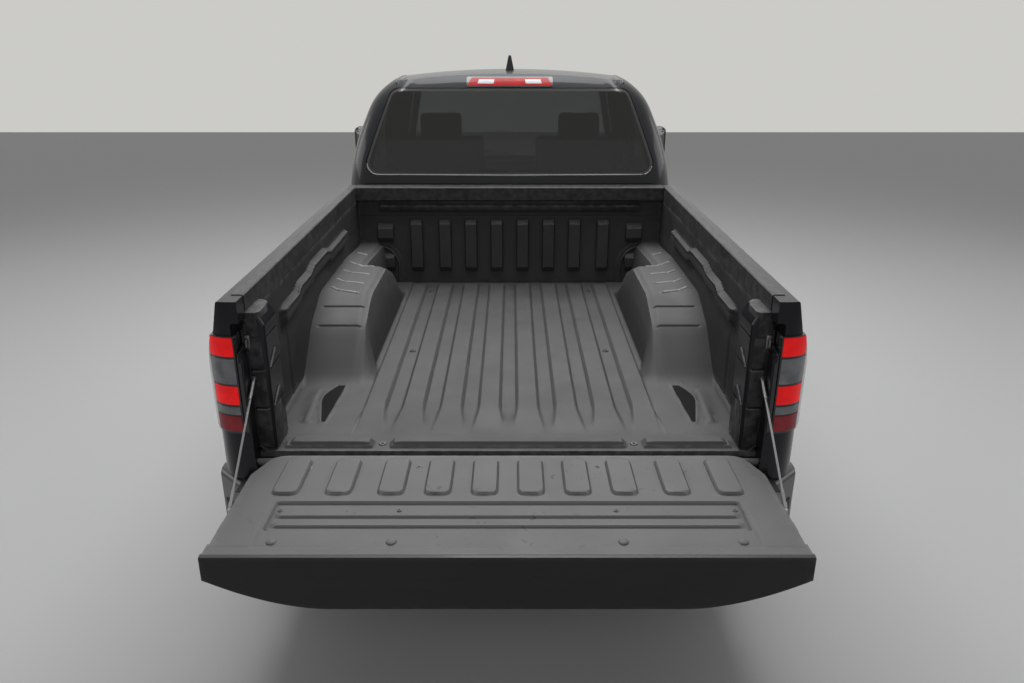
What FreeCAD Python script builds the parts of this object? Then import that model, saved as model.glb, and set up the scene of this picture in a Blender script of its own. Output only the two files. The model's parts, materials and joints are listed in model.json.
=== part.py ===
import FreeCAD, Part
import Sketcher
import functools
import math
import os
import re
from FreeCAD import Vector

# A mid-size pickup truck with an extended cab, four doors and a long open load bed, tailgate lowered.
# Millimetres. +Y runs to the nose, +X to the right side, +Z up, and the ground is at zero.
# The origin is on the ground, midway between the nose and the tip of the lowered tailgate.

# Driving dimensions. A "station" is a distance measured back from the nose.
SIZES = (
    ("FrontOverhang", 885),
    ("Wheelbase", 3200),
    ("CabBackToAxle", 823),
    ("CabBedGap", 28),
    ("BulkheadDepth", 35),
    ("BedLength", 1861),
    ("Track", 1570),
    ("FitGap", 0.3),
    ("PanelGap", 7),
    ("Overrun", 60),
    # body sides
    ("WaistHalf", 902),
    ("SideBottom", 470),
    ("BeltHeight", 1110),
    ("SkinDepth", 30),
    ("WallDepth", 110),
    ("FrameDepth", 42),
    # greenhouse
    ("GreenhouseRise", 740),
    ("BeltHalf", 884),
    ("RoofHeight", 1835),
    ("RoofCrown", 97),
    ("RoofDepth", 32),
    ("CowlStation", 1440),
    ("WindscreenRun", 752),
    ("WindscreenBow", 150),
    ("RearGlassRun", 215),
    ("RearBow", 25),
    ("FrontCornerRadius", 190),
    ("RearCornerRadius", 125),
    ("GlassInset", 5),
    ("GlassDepth", 5),
    ("RearWallDepth", 70),
    ("RoofPanelHalf", 588),
    ("RearPanelHalf", 640),
    ("RoofSplitHeight", 1690),
    # cab floor
    ("FloorTop", 640),
    ("FloorDepth", 28),
    ("SillInner", 715),
    ("CabFrontStation", 1400),
    ("FirewallDepth", 40),
    ("TunnelHalf", 108),
    ("TunnelHeight", 130),
    ("TunnelLength", 900),
    # doors
    ("DoorBottom", 500),
    ("FrontDoorStation", 1500),
    ("DoorSplitStation", 2610),
    ("RearDoorEndStation", 3010),
    ("DoorTop", 1742),
    ("DoorFrontRun", 190),
    ("DoorPillarRun", 790),
    ("DoorCorner", 60),
    ("HandleStation", 2440),
    ("HandleHeight", 985),
    ("HandleLength", 172),
    ("HandleWidth", 30),
    ("HandleDepth", 15),
    ("HandleProud", 36),
    ("WindowRail", 52),
    ("WindowCorner", 38),
    ("SillLip", 36),
    ("HingeLength", 26),
    ("HingeReach", 34),
    ("HingeWeb", 4),
    ("HoodHingeSide", 600),
    # windscreen and rear window
    ("ScreenBottom", 1162),
    ("ScreenTop", 1752),
    ("ScreenBottomHalf", 752),
    ("ScreenTopHalf", 588),
    ("ScreenCorner", 70),
    ("RearGlassBottom", 1326),
    ("RearGlassTop", 1756),
    ("RearGlassBottomHalf", 772),
    ("RearGlassTopHalf", 612),
    ("RearGlassCorner", 62),
    # front clip
    ("NoseStation", 14),
    ("HoodFrontStation", 62),
    ("HoodRearStation", 1392),
    ("HoodHalf", 690),
    ("HoodNoseHeight", 1030),
    ("HoodMidHeight", 1085),
    ("HoodCowlHeight", 1128),
    ("HoodCrown", 26),
    ("HoodDepth", 28),
    ("HoodCorner", 60),
    ("WingDepth", 24),
    ("WingTopCorner", 70),
    ("NoseHalf", 800),
    ("NoseBow", 55),
    ("NoseCorner", 150),
    ("FasciaDepth", 45),
    ("ArchRadius", 432),
    ("ArchLift", 14),
    ("FlareWidth", 44),
    ("FlareProud", 24),
    ("LinerRadius", 466),
    ("LinerDepth", 8),
    ("LinerInner", 470),
    # grille, lamps and bumper at the front
    ("GrilleHalf", 520),
    ("GrilleBottom", 655),
    ("GrilleTop", 1006),
    ("GrilleCorner", 60),
    ("GrilleRim", 34),
    ("GrilleSlotHeight", 40),
    ("GrilleBar", 22),
    ("GrilleRecess", 26),
    ("HeadlampInner", 532),
    ("HeadlampBottom", 838),
    ("HeadlampTop", 985),
    ("HeadlampStation", 275),
    ("FrontBumperBottom", 400),
    ("FrontBumperTop", 640),
    ("FrontBumperDepth", 130),
    ("FrontBumperEnd", 415),
    ("BumperCorner", 30),
    ("IntakeHalf", 420),
    ("IntakeBottom", 470),
    ("IntakeTop", 580),
    # load bed
    ("BedFloorTop", 790),
    ("BedHalf", 781),
    ("RailHeight", 1290),
    ("RailInnerHalf", 780),
    ("RailLip", 66),
    ("RailRound", 9),
    ("UnderRailHalf", 806),
    ("BedSideBottom", 560),
    ("SkirtDepth", 26),
    ("BedTailStation", 52),
    ("BedTailRadius", 95),
    ("PillarInnerHalf", 726),
    ("PillarLength", 132),
    ("PillarTop", 1238),
    ("PillarSlope", 40),
    ("PillarStep", 18),
    ("PillarGroove", 4),
    ("GateSlotHalf", 778),
    ("RibPitch", 134),
    ("RibWidth", 74),
    ("RibHeight", 12),
    ("RibSlope", 9),
    ("RibCount", 8),
    ("RibEndGap", 120),
    ("RibRamp", 190),
    ("FloorSheet", 16),
    ("SillBeadDepth", 55),
    ("SillBeadGapHalf", 24),
    ("SillBeadSplit", 402),
    ("SillBeadSetback", 14),
    ("CrossMemberWidth", 70),
    ("WheelhouseInner", 565),
    ("WheelhouseTop", 1012),
    ("WheelhouseHalfBase", 540),
    ("WheelhouseHalfTop", 205),
    ("WheelhouseShoulder", 935),
    ("WheelhouseHalfShoulder", 390),
    ("WheelhouseRound", 60),
    ("WheelhouseBend", 120),
    ("WheelhouseSheet", 9),
    ("WallRibHeight", 1110),
    ("LedgeProud", 20),
    ("LedgeWidth", 40),
    ("BulkheadTop", 1290),
    ("BulkheadCap", 62),
    ("BulkheadCapDepth", 44),
    ("PadWidth", 56),
    ("PadProud", 13),
    ("PadBottom", 850),
    ("PadTop", 1118),
    ("TrackBottom", 1170),
    ("TrackTop", 1218),
    ("TrackProud", 26),
    ("TrackHalf", 660),
    # tailgate
    ("GateHeight", 528),
    ("GateDepth", 52),
    ("GateHalf", 767),
    ("GateBottomHalf", 722),
    ("GateTaper", 118),
    ("GateCorner", 46),
    ("GateAxisBack", 28),
    ("GateAxisDrop", 32),
    ("GateAxisInset", 22),
    ("GateAxisLead", 2),
    ("GateCapDepth", 150),
    ("GateCapLength", 62),
    ("GateCapEnd", 62),
    ("GateCapEndRun", 210),
    ("GateCapHalf", 772),
    ("GatePadLength", 128),
    ("GatePadWidth", 64),
    ("GatePadHeight", 9),
    ("GatePadStart", 34),
    ("GatePanelHalf", 648),
    ("GatePanelLength", 268),
    ("GatePanelSink", 9),
    ("GateRibLength", 16),
    ("GateRibHeight", 6),
    ("GatePinRadius", 11),
    ("GatePinHalf", 792),
    ("GateLatchReach", 382),
    ("GateLatchSize", 44),
    ("GateLatchProud", 3),
    ("GateBandStart", 491),
    ("GateBandWidth", 24),
    ("GateBandHeight", 4),
    ("GateCreaseHalf", 500),
    ("GateCreaseWidth", 4),
    ("GateCreaseDepth", 2),
    # tailgate stays
    ("StayRadius", 3.5),
    ("StayPinHeight", 1030),
    ("StayHalf", 772.6),
    ("StayGateReach", 295),
    ("StayEndLength", 62),
    ("StayEndRadius", 7),
    # tail lamps
    ("LampBottom", 872),
    ("LampTop", 1186),
    ("LampInner", 799),
    ("LampWrap", 132),
    ("LampProud", 7),
    ("LampDepth", 48),
    # rear bumper
    ("RearOverhang", 1254),
    ("RearBumperTop", 704),
    ("RearBumperBottom", 500),
    ("RearBumperHalf", 922),
    ("RearBumperFront", 190),
    ("RearBumperDepth", 150),
    ("RearBumperChamfer", 170),
    ("RearBumperEdge", 18),
    ("StepDrop", 30),
    ("StepHalf", 480),
    # chassis
    ("RailFrameHalf", 395),
    ("FrameRailWidth", 70),
    ("FrameFrontTop", 520),
    ("FrameMidTop", 560),
    ("FrameRearTop", 690),
    ("FrameRailHeight", 130),
    ("CrossTube", 45),
    ("MountRadius", 45),
    ("HangerWidth", 60),
    ("HangerHeight", 110),
    ("ReceiverSize", 76),
    ("ReceiverBore", 51),
    ("ReceiverLength", 230),
    ("ReceiverHeight", 452),
    ("ReceiverPinRadius", 8),
    ("ReceiverPinInset", 64),
    # wheels
    ("TyreRadius", 388),
    ("TyreWidth", 262),
    ("TyreShoulder", 42),
    ("RimRadius", 218),
    ("RimWidth", 208),
    ("RimSheet", 9),
    ("RimOffset", 30),
    ("HubRadius", 76),
    ("HubBore", 33),
    ("SpokeCount", 6),
    ("SpokeWindowInner", 92),
    ("SpokeWindowOuter", 186),
    ("SpokeDepth", 34),
    ("SpokeWidth", 62),
    ("RotorRadius", 160),
    ("RotorDepth", 26),
    ("HubStand", 46),
    ("KingPinRadius", 12),
    ("StrutReach", 150),
    ("StrutLean", 40),
    ("StrutTop", 640),
    ("StrutRadius", 46),
    # axles and suspension
    ("SteerInset", 90),
    ("AxleTubeRadius", 41),
    ("DiffRadius", 140),
    ("SpindleRadius", 32.7),
    ("KnuckleWidth", 74),
    ("KnuckleDepth", 44),
    ("ArmThickness", 34),
    ("ArmBaseHalf", 150),
    ("ArmTipHalf", 34),
    ("LowerArmHeight", 268),
    ("UpperArmHeight", 520),
    ("LeafHalf", 500),
    ("LeafWidth", 62),
    ("LeafFront", 660),
    ("LeafRear", 690),
    ("LeafEyeHeight", 530),
    ("LeafDepth", 30),
    # driveline
    ("EngineFront", 480),
    ("EngineLength", 620),
    ("EngineWidth", 560),
    ("EngineHeight", 560),
    ("EngineRound", 40),
    ("GearboxLength", 1050),
    ("GearboxRadius", 190),
    ("GearboxTailRadius", 90),
    ("GearboxHeight", 500),
    ("ShaftRadius", 38),
    ("DiffHeight", 388),
    ("TankLength", 780),
    ("TankBottom", 380),
    ("TankHeight", 175),
    ("TankRound", 30),
    ("PipeRadius", 29),
    ("PipeSide", 250),
    ("PipeLow", 350),
    ("PipeHigh", 505),
    ("TailpipeSide", 610),
    ("MufflerRadius", 85),
    ("MufflerLength", 560),
    ("SpareSetback", 582),
    ("SpareHeight", 392),
    ("SpareWidth", 205),
    # cabin
    ("DashLength", 330),
    ("DashBottom", 800),
    ("DashTop", 1098),
    ("DashHalf", 768),
    ("SeatSide", 392),
    ("SeatWidth", 500),
    ("SeatFrontStation", 2010),
    ("CushionLength", 500),
    ("CushionDepth", 130),
    ("CushionHeight", 700),
    ("BackHeight", 640),
    ("BackDepth", 120),
    ("BackLean", 150),
    ("HeadrestWidth", 236),
    ("HeadrestHeight", 140),
    ("HeadrestDepth", 90),
    ("HeadrestTop", 1600),
    ("SeatRound", 30),
    ("BenchDepth", 90),
    ("BenchHeight", 520),
    ("BenchHalf", 620),
    ("SteeringStation", 1985),
    ("SteeringHeight", 1085),
    ("SteeringSide", 388),
    ("SteeringRadius", 182),
    ("SteeringGrip", 15),
    ("SteeringTilt", 24),
    ("ColumnRadius", 30),
    ("ColumnLength", 190),
    # small outside pieces
    ("MirrorStation", 1700),
    ("MirrorBottom", 1196),
    ("MirrorHeight", 226),
    ("MirrorWidth", 170),
    ("MirrorDepth", 120),
    ("MirrorInner", 905),
    ("MirrorRound", 32),
    ("StopLampHalf", 222),
    ("StopLampBottom", 1762),
    ("StopLampHeight", 48),
    ("StopLampDepth", 46),
    ("AntennaStation", 2830),
    ("AntennaHeight", 76),
    ("AntennaLength", 120),
    ("AntennaWidth", 44),
)

# Shares of the greenhouse rise, and what each level keeps of the sizes that it follows.
LEVEL_SHARES = (0.0, 0.257, 0.496, 0.676, 0.824, 0.919, 1.0)
WIDTH_SHARES = (1.0, 0.952, 0.912, 0.856, 0.788, 0.691, 0.56)
SCREEN_RUN_SHARES = (0.0, 0.25, 0.486, 0.668, 0.82, 0.915, 1.0)
REAR_RUN_SHARES = (0.0, 0.05, 0.2, 0.4, 0.62, 0.8, 1.0)
BOW_SHARES = (1.0, 0.93, 0.85, 0.78, 0.72, 0.68, 0.64)

# The body side below the rail, as shares of WaistHalf and of RailHeight.
SIDE_WIDTH_SHARES = (0.951, 0.981, 0.998, 1.0, 0.987, 0.962, 0.933)
SIDE_HEIGHT_SHARES = (0.34, 0.434, 0.589, 0.744, 0.837, 0.915, 1.0)

# Where the front clip's cross-sections stand, and their half width, as shares.
CLIP_STATION_SHARES = (0.0, 0.22, 0.6, 1.0)
CLIP_WIDTH_SHARES = (0.955, 0.99, 1.006, 1.006)
CLIP_TOP_SHARES = (0.0, 0.3, 0.62, 1.0)

# The stepped ledge on the bed's side walls: shares of BedLength behind the bulkhead, and of LedgeWidth above
# WallRibHeight.
LEDGE_RUN_SHARES = (0.804, 0.719, 0.681, 0.617, 0.568, 0.455, 0.406, 0.219)
LEDGE_RISE_SHARES = (0.05, 0.1, 0.575, 0.575, 0.975, 0.975, 0.5, 0.5)

# Where the tail pillar's moulding is grooved, as shares of its height.
PILLAR_GROOVE_SHARES = (0.305, 0.592, 0.825)

# How far each leaf of a spring reaches, as a share of the longest.
LEAF_SHARES = (1.0, 0.74, 0.46)
LEAF_STATION_SHARES = (0.0, 0.15, 0.3, 0.46, 0.6, 0.74, 0.87, 1.0)

# Worked-out places, in the words of the sheet.
DERIVED = {
    "CabBackStation": "FrontOverhang + Wheelbase - CabBackToAxle",
    "BedFrontStation": "CabBackStation + CabBedGap + BulkheadDepth",
    "BedEndStation": "BedFrontStation + BedLength",
    "TipStation": "BedEndStation + GateAxisBack + GateAxisLead + GateHeight",
    "NoseY": "TipStation / 2",
    "FrontAxleY": "NoseY - FrontOverhang",
    "RearAxleY": "FrontAxleY - Wheelbase",
    "CabBackY": "NoseY - CabBackStation",
    "CabFrontY": "NoseY - CabFrontStation",
    "BedFrontY": "NoseY - BedFrontStation",
    "BedEndY": "NoseY - BedEndStation",
    "BedTailY": "BedEndY - BedTailStation",
    "GateAxisY": "BedEndY - GateAxisBack",
    "GateAxisZ": "BedFloorTop - GateAxisDrop",
    "GateFaceZ": "GateAxisZ + GateAxisInset",
    "GateStartY": "GateAxisY - GateAxisLead",
    "GateTipY": "GateStartY - GateHeight",
    "SteerX": "Track / 2 - SteerInset",
    "HubFaceX": "Track / 2 + RimOffset",
    "ArchZ": "TyreRadius + ArchLift",
    "DoorHingeX": "WaistHalf + FitGap",
    "FrontHingeY": "NoseY - FrontDoorStation - PanelGap / 2",
    "RearHingeY": "NoseY - RearDoorEndStation + PanelGap / 2",
    "HoodHingeY": "NoseY - HoodRearStation - PanelGap / 2",
    "HoodHingeZ": "HoodCowlHeight - HoodCrown / 4",
    "FrameHalfOuter": "RailFrameHalf + FrameRailWidth / 2",
    "FrameHalfInner": "RailFrameHalf - FrameRailWidth / 2",
    "FloorUnder": "FloorTop - FloorDepth",
    "BumperRearStation": "FrontOverhang + Wheelbase + RearOverhang",
}

doc = FreeCAD.newDocument("PickupTruck")
sheet = doc.addObject("Spreadsheet::Sheet", "Sizes")
for row, (alias, number) in enumerate(SIZES, 1):
    sheet.set(f"A{row}", alias)
    sheet.set(f"B{row}", str(number))
    sheet.setAlias(f"B{row}", alias)
doc.recompute()


def expr(text):
    """A formula in the sheet's words, as an expression of this document."""

    def swap(match):
        word = match.group(0)
        return f"({expr(DERIVED[word])})" if word in DERIVED else f"Sizes.{word}"

    return re.sub(r"\b[A-Z][A-Za-z]+\b", swap, text)


class Values:
    """Numbers of the sheet, and of the worked-out places, by name."""

    def __init__(self):
        self.known = {}

    def __getattr__(self, name):
        if name not in self.known:
            self.known[name] = number_of(name)
        return self.known[name]


def number_of(text):
    """The number that a formula in the sheet's words gives."""
    return float(sheet.evalExpression(expr(text)))


v = Values()
X_AXIS = Vector(1, 0, 0)
Y_AXIS = Vector(0, 1, 0)
Z_AXIS = Vector(0, 0, 1)
ORIGIN = Vector(0, 0, 0)


# Shapes made with Part's own functions


def at_station(station):
    return v.NoseY - station


def side_plane(x):
    """Places sketch points (y, z) in the plane at x."""
    return lambda a, b: Vector(x, a, b)


def front_plane(y):
    return lambda a, b: Vector(a, y, b)


def level_plane(z):
    return lambda a, b: Vector(a, b, z)


def rounded_wire(points, radii, place, closed=True):
    """Straight runs joined by tangent arcs of the given radii at the points."""
    count = len(points)
    corners = []
    for i, point in enumerate(points):
        here = Vector(point[0], point[1], 0)
        if not closed and i in (0, count - 1) or not radii[i]:
            corners.append((here, None, here))
            continue
        before = Vector(*points[i - 1], 0)
        after = Vector(*points[(i + 1) % count], 0)
        come = (here - before).normalize()
        go = (after - here).normalize()
        turn = come.getAngle(go)
        reach = radii[i] * math.tan(turn / 2)
        start = here - come * reach
        end = here + go * reach
        inward = (go - come).normalize()
        middle = here + inward * (radii[i] / math.cos(turn / 2) - radii[i])
        corners.append((start, middle, end))
    edges = []
    for i, (start, middle, end) in enumerate(corners):
        if middle is not None:
            points_3d = [place(p.x, p.y) for p in (start, middle, end)]
            edges.append(Part.Arc(*points_3d).toShape())
        if closed or i < count - 1:
            onward = corners[(i + 1) % count][0]
            edges.append(Part.makeLine(place(end.x, end.y), place(onward.x, onward.y)))
    return Part.Wire(edges)


def slab(points, radii, place, direction):
    """A flat outline pushed along a direction."""
    return Part.Face(rounded_wire(points, radii, place)).extrude(direction)


def box(low, high):
    size = Vector(*high) - Vector(*low)
    return Part.makeBox(size.x, size.y, size.z, Vector(*low))


def rod(start, end, radius):
    along = end - start
    return Part.makeCylinder(radius, along.Length, start, along)


def mirrored(shape):
    return shape.mirror(ORIGIN, X_AXIS)


def both_sides(shape):
    return shape.fuse(mirrored(shape))


def pipe(points, bend, radius):
    """A round bar along straight runs joined by arcs, in three dimensions."""
    edges = []
    last = points[0]
    for before, here, after in zip(points, points[1:], points[2:]):
        come = (here - before).normalize()
        go = (after - here).normalize()
        turn = come.getAngle(go)
        reach = bend * math.tan(turn / 2)
        inward = (go - come).normalize()
        middle = here + inward * (bend / math.cos(turn / 2) - bend)
        edges.append(Part.makeLine(last, here - come * reach))
        edges.append(Part.Arc(here - come * reach, middle, here + go * reach).toShape())
        last = here + go * reach
    edges.append(Part.makeLine(last, points[-1]))
    path = Part.Wire(edges)
    ring = Part.Wire(Part.makeCircle(radius, points[0], points[1] - points[0]))
    return path.makePipeShell([ring], True, False)


def side_curve(inset):
    """The body side in the XZ plane from sill to rail, set in by inset."""
    points = [
        Vector(v.WaistHalf * w - inset, 0, v.RailHeight * h)
        for w, h in zip(SIDE_WIDTH_SHARES, SIDE_HEIGHT_SHARES)
    ]
    curve = Part.BSplineCurve()
    curve.interpolate(points)
    return curve


def curve_at(curve, height):
    """The curve's parameter at a height, found by halving."""
    low, high = curve.FirstParameter, curve.LastParameter
    for _ in range(50):
        middle = (low + high) / 2
        if curve.value(middle).z < height:
            low = middle
        else:
            high = middle
    return low


def side_block(inset, low, high, front, back):
    """What lies between the two body sides, from low to high, between two y places."""
    curve = side_curve(inset)
    first, last = curve_at(curve, low), curve_at(curve, high)
    edge = curve.toShape(first, last)
    start, end = curve.value(first), curve.value(last)
    base = Vector(0, 0, start.z)
    top = Vector(0, 0, end.z)
    wire = Part.Wire(
        [Part.makeLine(base, start), edge, Part.makeLine(end, top), Part.makeLine(top, base)]
    )
    half = Part.Face(wire).extrude(Vector(0, back - front, 0))
    half.translate(Vector(0, front, 0))
    return both_sides(half).removeSplitter()


@functools.lru_cache(maxsize=None)
def greenhouse(inset, roof_inset):
    """The cab above the belt: rounded outlines stacked from belt to roof, under a crowned roof."""
    wires = []
    for level, width, screen, rear, bow in zip(
        LEVEL_SHARES, WIDTH_SHARES, SCREEN_RUN_SHARES, REAR_RUN_SHARES, BOW_SHARES
    ):
        z = v.BeltHeight + v.GreenhouseRise * level
        half = v.BeltHalf * width - inset
        front = at_station(v.CowlStation + v.WindscreenRun * screen) - inset
        corner = front - v.WindscreenBow * bow
        back = v.CabBackY + v.RearGlassRun * rear + inset
        back_corner = back + v.RearBow
        points = (
            (0, front),
            (-half, corner),
            (-half, back_corner),
            (0, back),
            (half, back_corner),
            (half, corner),
        )
        round_front = max(v.FrontCornerRadius - inset, inset)
        round_back = max(v.RearCornerRadius - inset, inset)
        flat = v.BeltHalf * 2
        radii = (flat, round_front, round_back, flat, round_back, round_front)
        wires.append(rounded_wire(points, radii, level_plane(z)))
    body = Part.makeLoft(wires, True, False)
    return body.common(crown_block(roof_inset))


def crown_block(inset):
    """All that lies under the roof's double-curved skin."""
    wires = []
    reach = v.WaistHalf + v.Overrun
    drop_shares = ((0.0, 0.9), (0.55, 0.0), (1.0, 0.42))
    front = at_station(v.CowlStation + v.WindscreenRun) + v.RearGlassRun
    back = v.CabBackY - v.Overrun
    for share, drop in drop_shares:
        y = front + (back - front) * share
        top = v.RoofHeight - inset - v.RoofCrown * drop
        edge = top - v.RoofCrown
        place = front_plane(y)
        arc = Part.Arc(place(-reach, edge), place(0, top), place(reach, edge)).toShape()
        sides = [
            Part.makeLine(place(reach, edge), place(reach, v.SideBottom)),
            Part.makeLine(place(reach, v.SideBottom), place(-reach, v.SideBottom)),
            Part.makeLine(place(-reach, v.SideBottom), place(-reach, edge)),
        ]
        wires.append(Part.Wire([arc] + sides))
    back_part = Part.makeLoft(wires, True, False)
    low = box((-reach, front, v.SideBottom), (reach, v.NoseY, v.RoofHeight - inset))
    return back_part.fuse(low)


@functools.lru_cache(maxsize=None)
def clip_block(inset):
    """All that lies under the skin of the front clip, from the door edge to the nose."""
    wires = []
    heights = (
        v.HoodNoseHeight,
        v.HoodNoseHeight + (v.HoodMidHeight - v.HoodNoseHeight) * CLIP_TOP_SHARES[1],
        v.HoodMidHeight,
        v.HoodCowlHeight,
    )
    stations = (v.NoseStation - v.Overrun, v.FrontOverhang / 2, v.FrontOverhang, v.FrontDoorStation)
    for station, width, height in zip(stations, CLIP_WIDTH_SHARES, heights):
        half = v.WaistHalf * width - inset
        top = height - inset
        corner = v.WingTopCorner - min(inset, v.WingDepth)
        points = (
            (-half, v.FrontBumperBottom),
            (-half, top - v.HoodCrown),
            (0, top),
            (half, top - v.HoodCrown),
            (half, v.FrontBumperBottom),
        )
        radii = (0, corner, v.WaistHalf * 4, corner, 0)
        wires.append(rounded_wire(points, radii, front_plane(at_station(station))))
    top_block = Part.makeLoft(wires, True, False)
    flanks = side_block(
        inset, v.SideBottom - v.Overrun, v.RailHeight - v.FitGap, at_station(v.CabBackStation), v.NoseY
    )
    return top_block.common(flanks).common(nose_plan(inset))


@functools.lru_cache(maxsize=None)
def nose_plan(inset):
    """The front of the truck seen from above, as a tall block."""
    nose = at_station(v.NoseStation) - inset
    half = v.NoseHalf - inset
    side = v.WaistHalf + v.FlareProud + v.Overrun - inset
    back = at_station(v.CabBackStation)
    flank = at_station(v.FrontOverhang)
    points = (
        (0, nose),
        (-half, nose - v.NoseBow),
        (-side, flank),
        (-side, back),
        (side, back),
        (side, flank),
        (half, nose - v.NoseBow),
    )
    corner = v.NoseCorner
    radii = (v.NoseHalf * 5, corner, v.FrontOverhang, 0, 0, v.FrontOverhang, corner)
    return slab(points, radii, level_plane(0), Z_AXIS * v.RoofHeight)


@functools.lru_cache(maxsize=None)
def bed_plan(inset):
    """The load bed seen from above, with its round rear corners, as a tall block."""
    half = v.WaistHalf + v.FlareProud + v.Overrun - inset
    round_half = v.WaistHalf - inset
    front = at_station(v.CabBackStation + v.CabBedGap)
    tail = v.BedTailY + inset
    shoulder = tail + v.BedTailRadius * 2
    corner = max(v.BedTailRadius - inset, v.RailRound)
    points = (
        (-half, front),
        (-half, shoulder),
        (-round_half, shoulder),
        (-round_half, tail),
        (round_half, tail),
        (round_half, shoulder),
        (half, shoulder),
        (half, front),
    )
    return slab(points, (0, 0, 0, corner, corner, 0, 0, 0), level_plane(0), Z_AXIS * v.RoofHeight)


def bed_block(inset, low, high):
    """The load bed's outer form between two heights."""
    sides = side_block(inset, low, high, v.BedTailY - v.Overrun, v.CabBackY)
    return sides.common(bed_plan(inset))


def wheel_disc(y, radius, inner, outer):
    """A disc about an axle line on the right side, from inner to outer."""
    return Part.makeCylinder(radius, outer - inner, Vector(inner, y, v.ArchZ), X_AXIS)


def flare(y, skin):
    """The raised lip round a wheel arch on the right side."""
    outer = wheel_disc(y, v.ArchRadius + v.FlareWidth, v.BedHalf, v.WaistHalf + v.FlareProud)
    rounded = outer.makeFillet(v.FlareProud * 0.7, [e for e in outer.Edges if e.BoundBox.XMin > v.WaistHalf])
    ring = rounded.cut(wheel_disc(y, v.ArchRadius, 0, v.WaistHalf * 2))
    low = v.FrontBumperBottom + v.FlareWidth * 2
    reach = v.ArchRadius * 2
    above = box((0, y - reach, low), (v.WaistHalf * 2, y + reach, v.RailHeight))
    return ring.common(above).common(skin)


# Document objects whose sizes are bound to the sheet


def plane_of(body, role):
    for item in body.Origin.OriginFeatures:
        if item.Role == role:
            return item
    return None


class Piece:
    """A PartDesign body, built feature by feature from formulas in the sheet's words."""

    def __init__(self, name):
        self.body = doc.addObject("PartDesign::Body", name + "_body")
        self.body.Label = name
        self.count = 0

    def new(self, kind, hint):
        self.count += 1
        return self.body.newObject(kind, f"{self.body.Name}_{hint}{self.count}")

    def place(self, sketch, role, offset):
        sketch.AttachmentSupport = [(plane_of(self.body, role), "")]
        sketch.MapMode = "FlatFace"
        if offset:
            sketch.setExpression("AttachmentOffset.Base.z", expr(offset))

    def outline(self, role, points, offset=None):
        """A closed outline of straight runs whose corners follow the formulas."""
        return self.outlines(role, [points], offset)

    def outlines(self, role, loops, offset=None):
        sketch = self.new("Sketcher::SketchObject", "Sketch")
        self.place(sketch, role, offset)
        first = 0
        for points in loops:
            guess = [(number_of(a), number_of(b)) for a, b in points]
            count = len(points)
            lines = [
                Part.LineSegment(Vector(*guess[i], 0), Vector(*guess[(i + 1) % count], 0))
                for i in range(count)
            ]
            sketch.addGeometry(lines, False)
            for i in range(count):
                following = first + (i + 1) % count
                sketch.addConstraint(Sketcher.Constraint("Coincident", first + i, 2, following, 1))
            for i, texts in enumerate(points):
                for kind, text, value in zip(("DistanceX", "DistanceY"), texts, guess[i]):
                    rule = Sketcher.Constraint(kind, -1, 1, first + i, 1, value)
                    number = sketch.addConstraint(rule)
                    sketch.setExpression(f"Constraints[{number}]", expr(text))
            first += count
        return sketch

    def circles(self, role, rings, offset=None):
        """Circles, each given by its middle and radius."""
        sketch = self.new("Sketcher::SketchObject", "Sketch")
        self.place(sketch, role, offset)
        for i, (across, up, radius) in enumerate(rings):
            middle = Vector(number_of(across), number_of(up), 0)
            sketch.addGeometry(Part.Circle(middle, Z_AXIS, number_of(radius)), False)
            rules = (
                (Sketcher.Constraint("DistanceX", -1, 1, i, 3, middle.x), across),
                (Sketcher.Constraint("DistanceY", -1, 1, i, 3, middle.y), up),
                (Sketcher.Constraint("Radius", i, number_of(radius)), radius),
            )
            for rule, text in rules:
                sketch.setExpression(f"Constraints[{sketch.addConstraint(rule)}]", expr(text))
        return sketch

    def pad(self, sketch, length, back=False, middle=False, taper=None, cut=False):
        feature = self.new("PartDesign::Pocket" if cut else "PartDesign::Pad", "Pad")
        feature.Profile = sketch
        feature.Reversed = back
        feature.SideType = "Symmetric" if middle else "One side"
        feature.setExpression("Length", expr(length))
        if taper:
            feature.TaperAngle = taper
        sketch.Visibility = False
        return feature

    def revolve(self, sketch, role):
        feature = self.new("PartDesign::Revolution", "Turn")
        feature.Profile = sketch
        feature.ReferenceAxis = (plane_of(self.body, role), [""])
        feature.Angle = 360
        return feature

    def block(self, low, size, cut=False):
        """A box from its low corner and its size."""
        feature = self.new("PartDesign::SubtractiveBox" if cut else "PartDesign::AdditiveBox", "Box")
        for name, text in zip(("Length", "Width", "Height"), size):
            feature.setExpression(name, expr(text))
        for name, text in zip("xyz", low):
            feature.setExpression(f"Placement.Base.{name}", expr(text))
        return feature

    def pair(self, low, size):
        """Two equal boxes, one each side of the truck's middle plane."""
        self.block(low, size)
        self.block((f"-({low[0]}) - ({size[0]})", low[1], low[2]), size)

    def row(self, original, role, pitch, count):
        feature = self.new("PartDesign::LinearPattern", "Row")
        feature.Originals = [original]
        feature.Direction = (plane_of(self.body, role), [""])
        feature.Mode = "Spacing"
        feature.setExpression("Offset", expr(pitch))
        feature.setExpression("Occurrences", expr(count))
        self.body.Tip = feature
        return feature

    def ring(self, original, role, count):
        feature = self.new("PartDesign::PolarPattern", "Ring")
        feature.Originals = [original]
        feature.Axis = (plane_of(self.body, role), [""])
        feature.Angle = 360
        feature.setExpression("Occurrences", expr(count))
        self.body.Tip = feature
        return feature

    def round(self, radius, wanted):
        """A fillet on each edge of the tip that the test picks."""
        doc.recompute()
        tip = self.body.Tip
        names = [f"Edge{i}" for i, edge in enumerate(tip.Shape.Edges, 1) if wanted(edge)]
        feature = self.new("PartDesign::Fillet", "Round")
        feature.Base = (tip, names)
        feature.setExpression("Radius", expr(radius))
        self.body.Tip = feature
        return feature


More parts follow.
